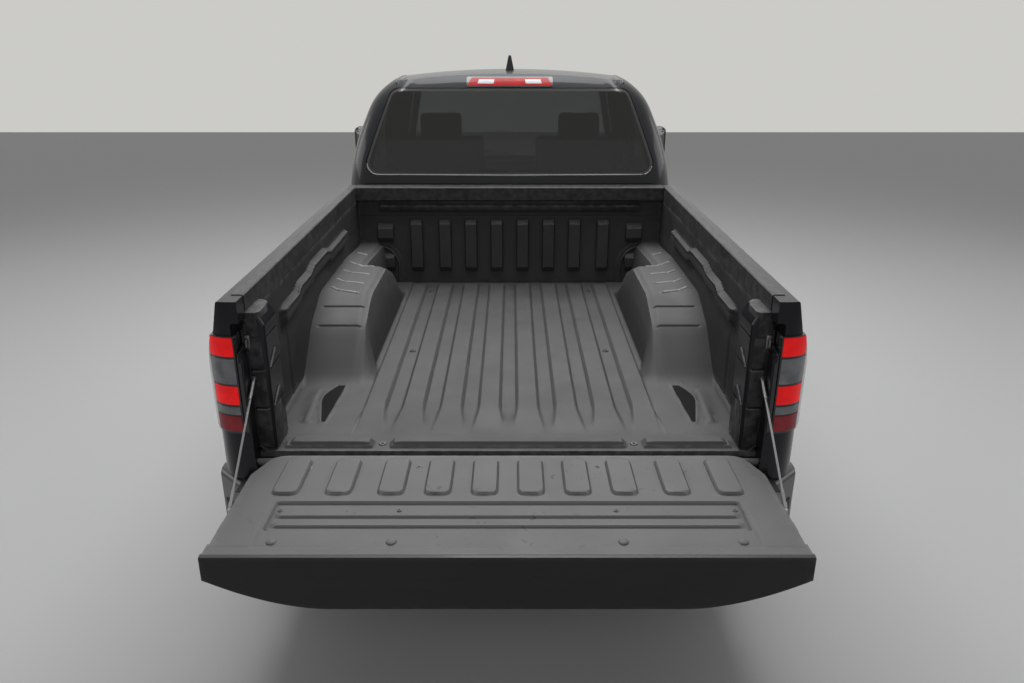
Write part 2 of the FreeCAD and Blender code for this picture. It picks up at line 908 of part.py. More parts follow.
def keep(name, shape):
    """A sub-part that is made with Part's own functions."""
    item = doc.addObject("Part::Feature", name + "_shape")
    item.Shape = shape
    item.Label = name
    return item


def along(edge, axis):
    """Whether an edge is a straight one along an axis."""
    if edge.Curve.TypeId != "Part::GeomLine":
        return False
    return abs(edge.tangentAt(edge.FirstParameter).dot(axis)) > math.cos(0.02)


# Cab


@functools.lru_cache(maxsize=None)
def cab_outer(inset=0.0, roof_inset=0.0):
    """The whole cab's outer form, from sill to roof."""
    lower = side_block(inset, v.SideBottom, v.BeltHeight, v.CabBackY + inset, v.CabFrontY - inset)
    return lower.fuse(greenhouse(inset, roof_inset))


@functools.lru_cache(maxsize=None)
def cab_cavity(wall, frame, roof):
    """The room inside the cab: narrower below the belt, where the walls are thicker."""
    back = v.CabBackY + v.RearWallDepth
    front = v.CabFrontY - v.FirewallDepth
    belt = v.BeltHeight - v.SkinDepth
    low = side_block(wall, v.FloorTop, belt, back, front)
    upper = greenhouse(frame, roof)
    slice_high = (v.BeltHalf, v.TipStation, v.BeltHeight + v.FitGap)
    base = upper.common(box((-v.BeltHalf, -v.TipStation, 0), slice_high))
    footprint = max((f for f in base.Faces if f.normalAt(0, 0).z < -0.9), key=lambda f: f.Area)
    neck = footprint.extrude(Vector(0, 0, belt - v.BeltHeight - v.SkinDepth))
    behind = box((-v.BeltHalf, back, v.FloorTop), (v.BeltHalf, front, v.RoofHeight))
    return low.fuse([upper, neck]).common(behind)


def door_points(front):
    """The outline of a side door in the YZ plane, with its corner radii, before its gap."""
    split = at_station(v.DoorSplitStation)
    low, high = v.DoorBottom, v.DoorTop
    if not front:
        rear = at_station(v.RearDoorEndStation)
        points = ((split, low), (split, high), (rear, high), (rear, low))
        return points, (0, 0, v.DoorCorner * 2, v.DoorCorner)
    nose = at_station(v.FrontDoorStation)
    sail = v.BeltHeight + v.SillLip
    points = (
        (nose, low),
        (nose, v.BeltHeight - v.WindowRail / 2),
        (nose - v.DoorFrontRun, sail),
        (nose - v.DoorPillarRun, high),
        (split, high),
        (split, low),
    )
    return points, (v.DoorCorner, v.DoorCorner / 2, v.DoorCorner, v.DoorCorner * 2, 0, 0)


def inset_points(points, gap):
    """An outline's corners moved in from its sides by a gap."""
    area = sum(a[0] * b[1] - b[0] * a[1] for a, b in zip(points, points[1:] + points[:1]))
    turn = 1 if area > 0 else -1
    count = len(points)
    moved = []
    for i, (x, y) in enumerate(points):
        before = Vector(points[i][0] - points[i - 1][0], points[i][1] - points[i - 1][1], 0).normalize()
        nxt = points[(i + 1) % count]
        after = Vector(nxt[0] - x, nxt[1] - y, 0).normalize()
        normal_a = Vector(-before.y, before.x, 0) * turn
        normal_b = Vector(-after.y, after.x, 0) * turn
        middle = (normal_a + normal_b).normalize()
        reach = gap / middle.dot(normal_a)
        moved.append((x + middle.x * reach, y + middle.y * reach))
    return moved


def side_prism(points, radii):
    """A side-view outline pushed out past the right side."""
    return slab(points, radii, side_plane(v.TunnelHalf), X_AXIS * v.WaistHalf)


def window_points(front):
    """The outline of a side window in the YZ plane, with its corner radii."""
    rail = v.WindowRail
    low = v.BeltHeight + rail
    high = v.DoorTop - rail
    split = at_station(v.DoorSplitStation)
    if not front:
        rear = at_station(v.RearDoorEndStation)
        back = rear + rail * 1.3
        points = ((split - rail, low), (split - rail, high), (back, high), (back, low))
        return points, (v.WindowCorner, v.WindowCorner, v.WindowCorner * 2, v.WindowCorner)
    nose = at_station(v.FrontDoorStation)
    points = (
        (nose - v.DoorFrontRun - rail * 1.5, low),
        (nose - v.DoorPillarRun - rail * 0.7, high),
        (split + rail, high),
        (split + rail, low),
    )
    return points, (v.WindowCorner / 2, v.WindowCorner * 1.5, v.WindowCorner, v.WindowCorner)


def screen_prism(low, high, low_half, high_half, corner, gap, front, back):
    """A windscreen or rear window outline pushed along the truck."""
    points = [(-low_half, low), (-high_half, high), (high_half, high), (low_half, low)]
    points = inset_points(points, gap)
    return slab(points, (corner,) * len(points), front_plane(back), Y_AXIS * (front - back))


def windscreen_prism(gap):
    middle = at_station(v.CowlStation + v.WindscreenRun + v.FrontCornerRadius * 2)
    return screen_prism(
        v.ScreenBottom, v.ScreenTop, v.ScreenBottomHalf, v.ScreenTopHalf, v.ScreenCorner, gap, v.NoseY, middle
    )


def rear_window_prism(gap):
    back = v.CabBackY - v.Overrun
    return screen_prism(
        v.RearGlassBottom,
        v.RearGlassTop,
        v.RearGlassBottomHalf,
        v.RearGlassTopHalf,
        v.RearGlassCorner,
        gap,
        back + v.RearGlassRun + v.RearWallDepth * 2,
        back,
    )


def seam_wedge(outer, forward, slope, reach):
    """What is trimmed from a door's meeting edge, wider inward, so that each door swings alone."""
    split = at_station(v.DoorSplitStation)
    edge = split + forward * v.PanelGap / 2
    heights = [v.DoorBottom - v.Overrun]
    heights += [v.BeltHeight * share for share in (0.52, 0.68, 0.84, 1.0)]
    heights += [v.BeltHeight + (v.DoorTop - v.BeltHeight) * share for share in (0.25, 0.5, 0.75, 1.0)]
    wires = []
    for z in heights:
        level = max(z, v.SideBottom + v.FitGap)
        probe = Part.makeLine(Vector(v.TunnelHalf, split, level), Vector(v.WaistHalf * 2, split, level))
        skin = outer.common(probe).BoundBox.XMax + v.FitGap * 2
        depth = v.WallDepth * 2
        wide = depth * slope
        points = (
            Vector(skin + v.Overrun, edge - forward * v.Overrun, z),
            Vector(skin, edge, z),
            Vector(skin - depth, edge + forward * wide, z),
            Vector(skin - depth, edge - forward * v.Overrun, z),
        )
        wires.append(Part.makePolygon(list(points) + [points[0]]))
    wedge = Part.makeLoft(wires, True, True)
    ends = sorted((edge - forward * v.Overrun, edge + forward * reach))
    limit = box((0, ends[0], 0), (v.WaistHalf * 2, ends[1], v.RoofHeight))
    return wedge.common(limit)


def door_inside(gap):
    """The room inboard of a right side door, up to its inner face."""
    low, high = v.DoorBottom - v.Overrun, v.DoorTop + v.Overrun
    waist = v.DashHalf + v.PanelGap - gap
    points = (
        (0, low),
        (waist, low),
        (waist, v.BeltHeight),
        (v.RoofPanelHalf + v.FrameDepth - gap, v.DoorTop),
        (v.RoofPanelHalf + v.FrameDepth - gap, high),
        (0, high),
    )
    return slab(points, (0,) * len(points), front_plane(v.CabBackY), Y_AXIS * v.NoseY)


def door_handle():
    """The grip on a right front door, with a foot at each end."""
    y = at_station(v.HandleStation)
    low = v.HandleHeight
    outer = v.WaistHalf + v.HandleProud
    grip = box(
        (outer - v.HandleDepth, y - v.HandleLength / 2, low),
        (outer, y + v.HandleLength / 2, low + v.HandleWidth),
    )
    grip = grip.makeFillet(v.HandleDepth * 0.4, grip.Edges)
    feet = []
    for side in (-1, 1):
        middle = y + side * (v.HandleLength / 2 - v.HandleWidth)
        foot = box(
            (v.WaistHalf - v.SkinDepth / 2, middle - v.HandleWidth / 2, low + v.HandleWidth / 4),
            (outer - v.HandleDepth / 2, middle + v.HandleWidth / 2, low + v.HandleWidth * 0.75),
        )
        feet.append(foot)
    return [grip] + feet


def door_hinges(y, toward_body, on_body):
    """The two hinges of a right side door: upper halves on the door, lower halves on the body."""
    x = v.DoorHingeX
    radius = v.PanelGap / 2 - v.FitGap
    shapes = []
    for share in (0.72, 0.86):
        middle = v.BeltHeight * share
        low = middle - v.HingeLength if on_body else middle + v.FitGap
        way = toward_body if on_body else -toward_body
        barrel = Part.makeCylinder(radius, v.HingeLength, Vector(x, y, low), Z_AXIS)
        root = y + way * (v.PanelGap / 2 + v.HingeWeb)
        leaf = box(
            (x - v.HingeReach, min(y, y + way * radius), low),
            (x, max(y, y + way * radius), low + v.HingeLength),
        )
        foot = box(
            (x - v.HingeReach, min(y, root), low),
            (x - v.HingeReach + v.HingeWeb * 2, max(y, root), low + v.HingeLength),
        )
        shapes += [barrel, leaf, foot]
    return shapes


def hood_hinges(on_body):
    """The bonnet's two hinges; the inner halves are the body's."""
    y, z = v.HoodHingeY, v.HoodHingeZ
    radius = v.PanelGap / 2 - v.FitGap
    way = -1 if on_body else 1
    start = v.HoodHingeSide if not on_body else v.HoodHingeSide - v.HingeLength - v.FitGap
    barrel = Part.makeCylinder(radius, v.HingeLength, Vector(start, y, z), X_AXIS)
    leaf = box(
        (start, min(y, y + way * radius), z - v.HingeReach),
        (start + v.HingeLength, max(y, y + way * radius), z),
    )
    root = y + way * (v.PanelGap / 2 + v.HingeWeb)
    foot_top = v.BeltHeight - v.HingeWeb if on_body else z - v.HingeWeb
    foot_low = z - v.HingeReach if on_body else z - v.HoodDepth
    foot = box(
        (start, min(y, root), foot_low),
        (start + v.HingeLength, max(y, root), foot_top),
    )
    if not on_body:
        leaf = leaf.common(box((0, y - v.PanelGap, foot_low), (v.WaistHalf, y + v.PanelGap, z)))
    return both_sides(barrel.fuse([leaf, foot]))


def build_cab():
    outer = cab_outer()
    half_space = box((0, -v.TipStation, 0), (v.WaistHalf * 2, v.TipStation, v.RoofHeight * 2))
    right = outer.common(half_space)
    room = cab_cavity(v.WallDepth, v.FrameDepth, v.RoofDepth)
    under = v.SideBottom - v.Overrun
    sill_room = side_block(v.WallDepth, under, v.FloorTop + v.FitGap, v.CabBackY, v.CabFrontY)
    door_room = cab_cavity(v.WallDepth - v.PanelGap, v.FrameDepth, v.RoofDepth).fuse(
        side_block(v.WallDepth - v.PanelGap, under, v.FloorTop + v.FitGap, v.CabBackY, v.CabFrontY)
    )
    glass_layer = cab_outer(v.GlassInset).cut(cab_outer(v.GlassInset + v.GlassDepth))

    shell = outer.cut(room)
    floor_cut = box(
        (-v.SillInner, v.CabBackY + v.RearWallDepth, 0),
        (v.SillInner, v.CabFrontY + v.Overrun, v.FloorTop),
    )
    under_back = box(
        (-v.SillInner, v.CabBackY - v.Overrun, 0),
        (v.SillInner, v.CabBackY + v.RearWallDepth + v.Overrun, v.FloorUnder),
    )
    shell = shell.cut([floor_cut, under_back])
    shell = shell.cut([windscreen_prism(0), rear_window_prism(0)])

    # The wings lie over the front ends of the cab sides.
    wing_end = at_station(v.FrontDoorStation)
    wing_layer = side_block(-v.Overrun, v.SideBottom - v.Overrun, v.BeltHeight, wing_end, v.NoseY).cut(
        side_block(v.WingDepth + v.FitGap, v.SideBottom, v.BeltHeight - v.FitGap, wing_end, v.NoseY)
    )

    openings = []
    for front in (True, False):
        points, radii = door_points(front)
        openings.append(side_prism(points, radii))
    opening = openings[0].fuse(openings[1])
    layer = right.cut(door_room)
    hole = right.cut([room, sill_room]).common(opening).cut(door_inside(v.PanelGap))

    roof_zone = box(
        (-v.RoofPanelHalf, v.CabBackY - v.Overrun, v.RoofSplitHeight),
        (v.RoofPanelHalf, v.NoseY, v.RoofHeight * 2),
    )
    back_zone = box(
        (-v.RearPanelHalf, v.CabBackY - v.Overrun, 0),
        (v.RearPanelHalf, v.CabBackY + v.RearWallDepth, v.RoofSplitHeight),
    )
    roof = shell.common(roof_zone).cut(stop_lamp_layer(v.FitGap))
    keep("cab_roof", roof)
    back = shell.common(back_zone)
    keep("cab_back", back)
    cowl_zone = box(
        (-v.SillInner, v.CabFrontY - v.FirewallDepth, v.FloorTop),
        (v.SillInner, v.CabFrontY + v.Overrun, v.RoofSplitHeight),
    )
    sides = shell.cut([roof_zone, back_zone, wing_layer])
    firewall = sides.common(cowl_zone)
    sides = sides.cut(cowl_zone)
    right_side = sides.common(half_space).cut(hole)
    right_side = max(right_side.Solids, key=lambda s: s.Volume)
    right_side = right_side.fuse(door_hinges(v.FrontHingeY, 1, True) + door_hinges(v.RearHingeY, -1, True))
    keep("cab_side_right", right_side)
    keep("cab_side_left", mirrored(right_side))

    keep("windscreen", glass_layer.common(windscreen_prism(v.FitGap)))
    keep("rear_window", glass_layer.common(rear_window_prism(v.FitGap)))

    # Floor pan with its tunnel, and the firewall
    pan_half = v.SillInner - v.FitGap
    back_y = v.CabBackY + v.RearWallDepth + v.FitGap
    front_y = v.CabFrontY
    pan = box((-pan_half, back_y, v.FloorUnder), (pan_half, front_y, v.FloorTop))
    bulge = box(
        (-v.TunnelHalf - v.FloorDepth, front_y - v.TunnelLength, v.FloorUnder),
        (v.TunnelHalf + v.FloorDepth, front_y, v.FloorTop + v.TunnelHeight),
    )
    bulge = bulge.makeFillet(v.FloorDepth, [e for e in bulge.Edges if e.BoundBox.ZMin > v.FloorTop])
    bore = box(
        (-v.TunnelHalf, front_y - v.TunnelLength + v.FloorDepth, 0),
        (v.TunnelHalf, front_y + v.Overrun, v.FloorTop + v.TunnelHeight - v.FloorDepth),
    )
    pan = pan.fuse([bulge, firewall]).cut(bore).removeSplitter()
    keep("cab_floor", pan.fuse(hood_hinges(True)))

    for front in (True, False):
        name = "front" if front else "rear"
        points, radii = door_points(front)
        outline = inset_points(points, v.PanelGap)
        split = at_station(v.DoorSplitStation) + (1 if front else -1) * v.PanelGap / 2
        fixed = []
        for y, z in outline:
            near = abs(y - split) < v.PanelGap
            fixed.append((split if near else y, z))
        solid = layer.common(side_prism(fixed, [max(r - v.PanelGap, 0) for r in radii]))
        slope, reach = (0.26, v.SkinDepth) if front else (0.75, v.SkinDepth * 1.4)
        solid = solid.cut([seam_wedge(right, 1 if front else -1, slope, reach), door_inside(0)])
        window, corners = window_points(front)
        solid = solid.cut(side_prism(window, corners))
        solid = max(solid.Solids, key=lambda s: s.Volume)
        hinge_y = v.FrontHingeY if front else v.RearHingeY
        solid = solid.fuse(door_hinges(hinge_y, 1 if front else -1, False))
        if front:
            solid = solid.fuse(door_handle())
        glass_outline = inset_points(list(window), v.FitGap)
        glass = glass_layer.common(half_space).common(side_prism(glass_outline, corners))
        keep(f"door_{name}_right", solid)
        keep(f"door_{name}_left", mirrored(solid))
        keep(f"glass_{name}_right", glass)
        keep(f"glass_{name}_left", mirrored(glass))


# Front clip


def build_front():
    skin = clip_block(0)
    inner = clip_block(v.WingDepth)
    shell = skin.cut(inner)
    arch = both_sides(wheel_disc(v.FrontAxleY, v.ArchRadius, v.LinerInner, v.WaistHalf * 2))
    below = box(
        (-v.WaistHalf * 2, v.FrontAxleY - v.ArchRadius, 0),
        (v.WaistHalf * 2, v.FrontAxleY + v.ArchRadius, v.ArchZ),
    )
    bumper_zone = box(
        (-v.WaistHalf * 2, at_station(v.FrontBumperEnd), 0),
        (v.WaistHalf * 2, v.NoseY, v.FrontBumperTop + v.PanelGap),
    )
    hood_room = hood_prism(-v.PanelGap, v.NoseY)
    door_end = at_station(v.FrontDoorStation) + v.FitGap
    behind = box((-v.WaistHalf * 2, -v.TipStation, 0), (v.WaistHalf * 2, door_end, v.RoofHeight))
    cab_line = box(
        (-v.SillInner * 1.2, -v.TipStation, 0), (v.SillInner * 1.2, v.CabFrontY + v.FitGap, v.RoofHeight)
    )
    cowl_strip = box(
        (-v.HoodHalf - v.PanelGap, -v.TipStation, 0), (v.HoodHalf + v.PanelGap, v.HoodHingeY, v.RoofHeight)
    )
    nose_zone = box((-v.WaistHalf, at_station(v.HeadlampStation), 0), (v.WaistHalf, v.NoseY, v.RoofHeight))
    fascia = clip_block(0).cut(clip_block(v.FasciaDepth)).common(nose_zone)
    wings = shell.fuse(fascia)
    wings = wings.cut([hood_room, arch, below, bumper_zone, behind, cab_line, cowl_strip])
    wings = wings.cut([grille_prism(0), lamp_zone(0)])
    under_cab = cab_outer(-v.FitGap, -v.FitGap).common(
        box(
            (-v.WaistHalf, -v.TipStation, v.BeltHeight - v.Overrun * 2),
            (v.WaistHalf, v.CabFrontY, v.RoofHeight * 2),
        )
    )
    wings = wings.cut(under_cab)
    flares = both_sides(flare(v.FrontAxleY, nose_plan(-v.FlareProud * 2)))
    flares = flares.cut([inner, behind, bumper_zone])
    wings = wings.fuse(flares).cut(arch)
    solids = [s for s in wings.Solids if s.Volume > v.Overrun ** 3]
    keep("front_wings", Part.makeCompound(solids))

    hood = clip_block(0).cut(clip_block(v.HoodDepth)).common(hood_prism(0, v.NoseY))
    hood = max(hood.Solids, key=lambda s: s.Volume)
    keep("bonnet", hood.fuse(hood_hinges(False)))

    grille = grille_shape()
    keep("grille", grille)
    lamps = clip_block(v.FitGap).cut(clip_block(v.FasciaDepth - v.FitGap)).common(lamp_zone(v.FitGap * 2))
    keep("headlamps", Part.makeCompound([s for s in lamps.Solids if s.Volume > v.BumperCorner ** 3]))
    keep("front_bumper", front_bumper_shape())

    liner = wheel_disc(v.FrontAxleY, v.LinerRadius + v.LinerDepth, v.LinerInner, v.WaistHalf)
    liner = liner.cut(wheel_disc(v.FrontAxleY, v.LinerRadius, 0, v.WaistHalf * 2))
    above = box(
        (0, at_station(v.CabFrontStation) + v.FitGap, v.ArchZ + v.ArchLift * 4),
        (v.WaistHalf * 2, at_station(v.FrontBumperEnd) - v.FitGap, v.RoofHeight),
    )
    liner = liner.common(above).common(clip_block(v.WingDepth + v.FitGap))
    keep("wheel_liners", both_sides(liner))


def hood_prism(gap, top):
    """The bonnet's outline seen from above; a negative gap is its opening."""
    rear = at_station(v.HoodRearStation)
    front = at_station(v.HoodFrontStation)
    half = v.HoodHalf - gap
    front -= gap
    rear += gap
    bow = v.NoseBow
    points = (
        (-half, rear),
        (-half, front - bow * 2),
        (-half * 0.86, front - bow),
        (0, front),
        (half * 0.86, front - bow),
        (half, front - bow * 2),
        (half, rear),
    )
    corner = v.HoodCorner * 2
    radii = (v.RailRound, corner, corner, v.NoseHalf * 2, corner, corner)
    outline = rounded_wire(points, radii + (v.RailRound,), level_plane(v.GrilleBottom))
    return Part.Face(outline).extrude(Z_AXIS * top)


def grille_prism(gap):
    half = v.GrilleHalf
    points = [
        (-half, v.GrilleTop),
        (half, v.GrilleTop),
        (half * 0.93, v.GrilleBottom),
        (-half * 0.93, v.GrilleBottom),
    ]
    points = inset_points(points, gap)
    back = at_station(v.HeadlampStation)
    return slab(points, (v.GrilleCorner,) * len(points), front_plane(back), Y_AXIS * v.HeadlampStation)


def grille_shape():
    """A framed grille with level bars in front of a closed back."""
    body = clip_block(0).cut(clip_block(v.FasciaDepth)).common(grille_prism(v.FitGap))
    body = body.cut(hood_prism(-v.PanelGap, v.NoseY))
    body = max(body.Solids, key=lambda s: s.Volume)
    room = clip_block(-v.Overrun).cut(clip_block(v.GrilleRecess))
    pitch = v.GrilleSlotHeight + v.GrilleBar
    count = int((v.GrilleTop - v.GrilleBottom - v.GrilleRim * 2 + v.GrilleBar) / pitch)
    low = (v.GrilleTop + v.GrilleBottom - count * pitch + v.GrilleBar) / 2
    for i in range(count):
        z = low + i * pitch
        width = v.GrilleHalf * 0.9 - v.GrilleRim
        points = ((-width, z), (width, z), (width, z + v.GrilleSlotHeight), (-width, z + v.GrilleSlotHeight))
        slot = slab(
            points,
            (v.RailRound,) * 4,
            front_plane(at_station(v.HeadlampStation)),
            Y_AXIS * v.HeadlampStation,
        )
        body = body.cut(slot.common(room))
    return body


def lamp_zone(gap):
    """Where the headlamps sit, both sides."""
    points = [
        (v.HeadlampInner, v.HeadlampBottom),
        (v.HeadlampInner, v.HeadlampTop),
        (v.WaistHalf * 1.1, v.HeadlampTop - v.HoodCrown),
        (v.WaistHalf * 1.1, v.HeadlampBottom),
    ]
    points = inset_points(points, gap)
    back = at_station(v.HeadlampStation) + gap
    corner = v.BumperCorner
    zone = slab(points, (corner, corner, 0, 0), front_plane(back), Y_AXIS * v.HeadlampStation)
    return both_sides(zone)


def front_bumper_shape():
    outer = nose_plan(-v.ArchLift).common(
        box(
            (-v.WaistHalf, at_station(v.FrontBumperEnd), v.FrontBumperBottom),
            (v.WaistHalf, v.NoseY, v.FrontBumperTop),
        )
    )
    edges = [
        e
        for e in outer.Edges
        if e.BoundBox.ZLength < v.FitGap and e.BoundBox.YMax > at_station(v.FrontBumperEnd) + v.Overrun
    ]
    outer = outer.makeFillet(v.BumperCorner, edges)
    room_half = v.NoseHalf - v.Overrun
    room = box(
        (-room_half, -v.TipStation, 0),
        (room_half, at_station(v.NoseStation + v.FrontBumperDepth), v.RoofHeight),
    )
    points = (
        (-v.IntakeHalf, v.IntakeTop),
        (v.IntakeHalf, v.IntakeTop),
        (v.IntakeHalf * 0.9, v.IntakeBottom),
        (-v.IntakeHalf * 0.9, v.IntakeBottom),
    )
    back = at_station(v.NoseStation + v.FrontBumperDepth * 0.7)
    radii = (v.BumperCorner,) * len(points)
    intake = slab(points, radii, front_plane(back), Y_AXIS * v.FrontBumperDepth * 2)
    return outer.cut([room, intake])


# Load bed


def rail_section():
    """The hollow beside and below the rail, cut from the bed side, in the XZ plane."""
    low = v.BedFloorTop - v.RibHeight - v.FloorSheet
    wall = v.BedHalf
    under = v.UnderRailHalf
    lip = v.RailInnerHalf
    top = v.RailHeight
    points = (
        (0, low),
        (wall, low),
        (wall, v.WallRibHeight),
        (under, v.WallRibHeight + (under - wall)),
        (under, top - v.RailLip),
        (lip, top - v.RailLip),
        (lip, top + v.Overrun),
        (0, top + v.Overrun),
    )
    soft = v.RailRound
    return points, (0, 0, soft, soft, soft, 0, 0, 0)


def wall_ledge():
    """The stepped ledge along a side wall, joined to the wall behind it."""
    runs = [v.BedFrontY - v.BedLength * share for share in LEDGE_RUN_SHARES]
    rises = [v.WallRibHeight + v.LedgeWidth * share for share in LEDGE_RISE_SHARES]
    half = v.LedgeWidth / 2
    lower = [(y, z - half) for y, z in zip(runs, rises)]
    upper = [(y, z + half) for y, z in zip(runs, rises)]
    points = lower + upper[::-1]
    start = v.BedHalf - v.LedgeProud
    reach = v.UnderRailHalf + v.PillarStep - start
    return slab(points, (0,) * len(points), side_plane(start), X_AXIS * reach)


def build_bed():
    half_space = box((0, -v.TipStation, 0), (v.WaistHalf * 2, v.TipStation, v.RoofHeight * 2))
    front = at_station(v.CabBackStation + v.CabBedGap)
    outer = bed_block(0, v.BedSideBottom, v.RailHeight).common(half_space)
    outer = outer.common(box((0, v.BedTailY, 0), (v.WaistHalf * 2, front, v.RoofHeight)))
    high = v.RailHeight - v.FitGap * 2
    tops = [e for e in outer.Edges if e.BoundBox.ZMin > high and e.BoundBox.XMin > v.SillInner]
    ridge = [e for e in tops if along(e, Y_AXIS)]
    outer = outer.makeFillet(v.RailRound, ridge)
    points, radii = rail_section()
    hollow = slab(points, radii, front_plane(v.BedTailY - v.Overrun), Y_AXIS * v.TipStation)
    floor_under = v.BedFloorTop - v.RibHeight - v.FloorSheet
    skirt_room = bed_block(v.SkirtDepth, v.BedSideBottom - v.FitGap, floor_under)
    skirt_high = (v.WaistHalf, front + v.Overrun, floor_under)
    skirt_room = skirt_room.common(box((0, v.BedTailY + v.SkirtDepth, 0), skirt_high))
    side = outer.cut([hollow, skirt_room])

    # The pillar at the tail, with its bevelled foot and stepped head
    pillar_end = v.BedEndY + v.PanelGap
    points = (
        (v.PillarInnerHalf, v.BedFloorTop + v.FitGap),
        (v.PillarInnerHalf, v.PillarTop - v.PillarSlope),
        (v.PillarInnerHalf + v.PillarSlope * 0.55, v.PillarTop),
        (v.UnderRailHalf + v.PillarStep, v.PillarTop),
        (v.UnderRailHalf + v.PillarStep, v.BedFloorTop + v.FitGap),
    )
    soft = v.PillarStep
    pillar = slab(points, (0, soft, soft, 0, 0), front_plane(pillar_end), Y_AXIS * v.PillarLength)
    inward = [e for e in pillar.Edges if e.BoundBox.XMax < v.PillarInnerHalf + v.FitGap]
    pillar = pillar.makeFillet(v.RailRound, [e for e in inward if along(e, Z_AXIS)])
    drop = v.PillarTop - v.BedFloorTop
    grooves = []
    for share in PILLAR_GROOVE_SHARES:
        level = v.BedFloorTop + drop * share
        grooves.append(
            box(
                (v.PillarInnerHalf - v.Overrun, pillar_end - v.Overrun, level - v.PillarGroove / 2),
                (v.PillarInnerHalf + v.PillarGroove, v.BedFrontY, level + v.PillarGroove / 2),
            )
        )
    side = side.fuse([pillar.cut(grooves), wall_ledge()])

    # The slot that the closed tailgate fills
    slot = box(
        (0, v.BedTailY - v.Overrun, v.RearBumperTop),
        (v.GateSlotHalf, v.BedEndY + v.FitGap, v.RoofHeight),
    )
    bumper_end = at_station(v.BumperRearStation) + v.RearBumperChamfer + v.RearBumperFront / 4
    bumper_room = box(
        (0, v.BedTailY - v.Overrun, 0),
        (v.WaistHalf * 2, bumper_end + v.PanelGap, v.RearBumperTop + v.PanelGap),
    )
    side = side.cut([slot, bumper_room])

    # Wheelhouse, open below
    axle = v.RearAxleY
    base, shoulder, head = v.WheelhouseHalfBase, v.WheelhouseHalfShoulder, v.WheelhouseHalfTop

    def arch_solid(sheet, low, inner, outer_x):
        points = (
            (axle - base + sheet, low),
            (axle - base + sheet, v.BedFloorTop - sheet + v.RibHeight),
            (axle - shoulder + sheet, v.WheelhouseShoulder - sheet),
            (axle - head, v.WheelhouseTop - sheet),
            (axle + head, v.WheelhouseTop - sheet),
            (axle + shoulder - sheet, v.WheelhouseShoulder - sheet),
            (axle + base - sheet, v.BedFloorTop - sheet + v.RibHeight),
            (axle + base - sheet, low),
        )
        bend = v.WheelhouseBend
        radii = (0, 0, bend, bend, bend, bend, 0, 0)
        return slab(points, radii, side_plane(inner), X_AXIS * (outer_x - inner))

    low = floor_under
    house = arch_solid(0, low, v.WheelhouseInner, v.UnderRailHalf + v.PillarStep)
    brow = [
        e
        for e in house.Edges
        if e.BoundBox.XMax < v.WheelhouseInner + v.FitGap and e.BoundBox.ZMax > v.BedFloorTop
    ]
    house = house.makeFillet(v.WheelhouseRound / 2, [e for e in brow if e.BoundBox.ZMin > low + v.FitGap])
    room_inner = v.WheelhouseInner + v.WheelhouseSheet
    room = arch_solid(v.WheelhouseSheet, -v.FitGap, room_inner, v.WaistHalf - v.SkirtDepth)
    side = side.fuse(house).cut(room)

    arch = wheel_disc(axle, v.ArchRadius, v.WheelhouseInner + v.WheelhouseSheet, v.WaistHalf * 2)
    side = side.cut(arch)
    lip = flare(axle, nose_plan(-v.FlareProud * 2))
    lip = lip.cut(bed_block(v.SkirtDepth, v.BedSideBottom, v.RailHeight))
    side = side.fuse(lip).cut(arch)

    # The pocket for the tail lamp, and the cup for the tailgate's pin
    lamp_room = lamp_layer(v.LampDepth + v.FitGap, v.FitGap)
    side = side.cut(lamp_room)
    cup = rod(
        Vector(v.GateSlotHalf - v.Overrun, v.GateAxisY, v.GateAxisZ),
        Vector(v.GatePinHalf + v.FitGap * 2, v.GateAxisY, v.GateAxisZ),
        v.GatePinRadius + v.FitGap,
    )
    side = side.cut(cup)
    side = max(side.Solids, key=lambda s: s.Volume)
    keep("bed_side_right", side)
    keep("bed_side_left", mirrored(side))

    lamps = both_sides(lamp_layer(v.LampDepth, 0))
    keep("tail_lamps", lamps)


def lamp_layer(depth, gap):
    """The tail lamp's form on the right: a layer of the bed's corner, a little proud of it."""
    low, high = v.LampBottom - gap, v.LampTop + gap
    layer = bed_block(-v.LampProud - gap, low, high).cut(bed_block(depth, low, high))
    reach = v.BedTailY + v.LampWrap + gap
    zone = box((v.LampInner - gap, -v.TipStation, low), (v.WaistHalf * 2, reach, high))
    return layer.common(zone)


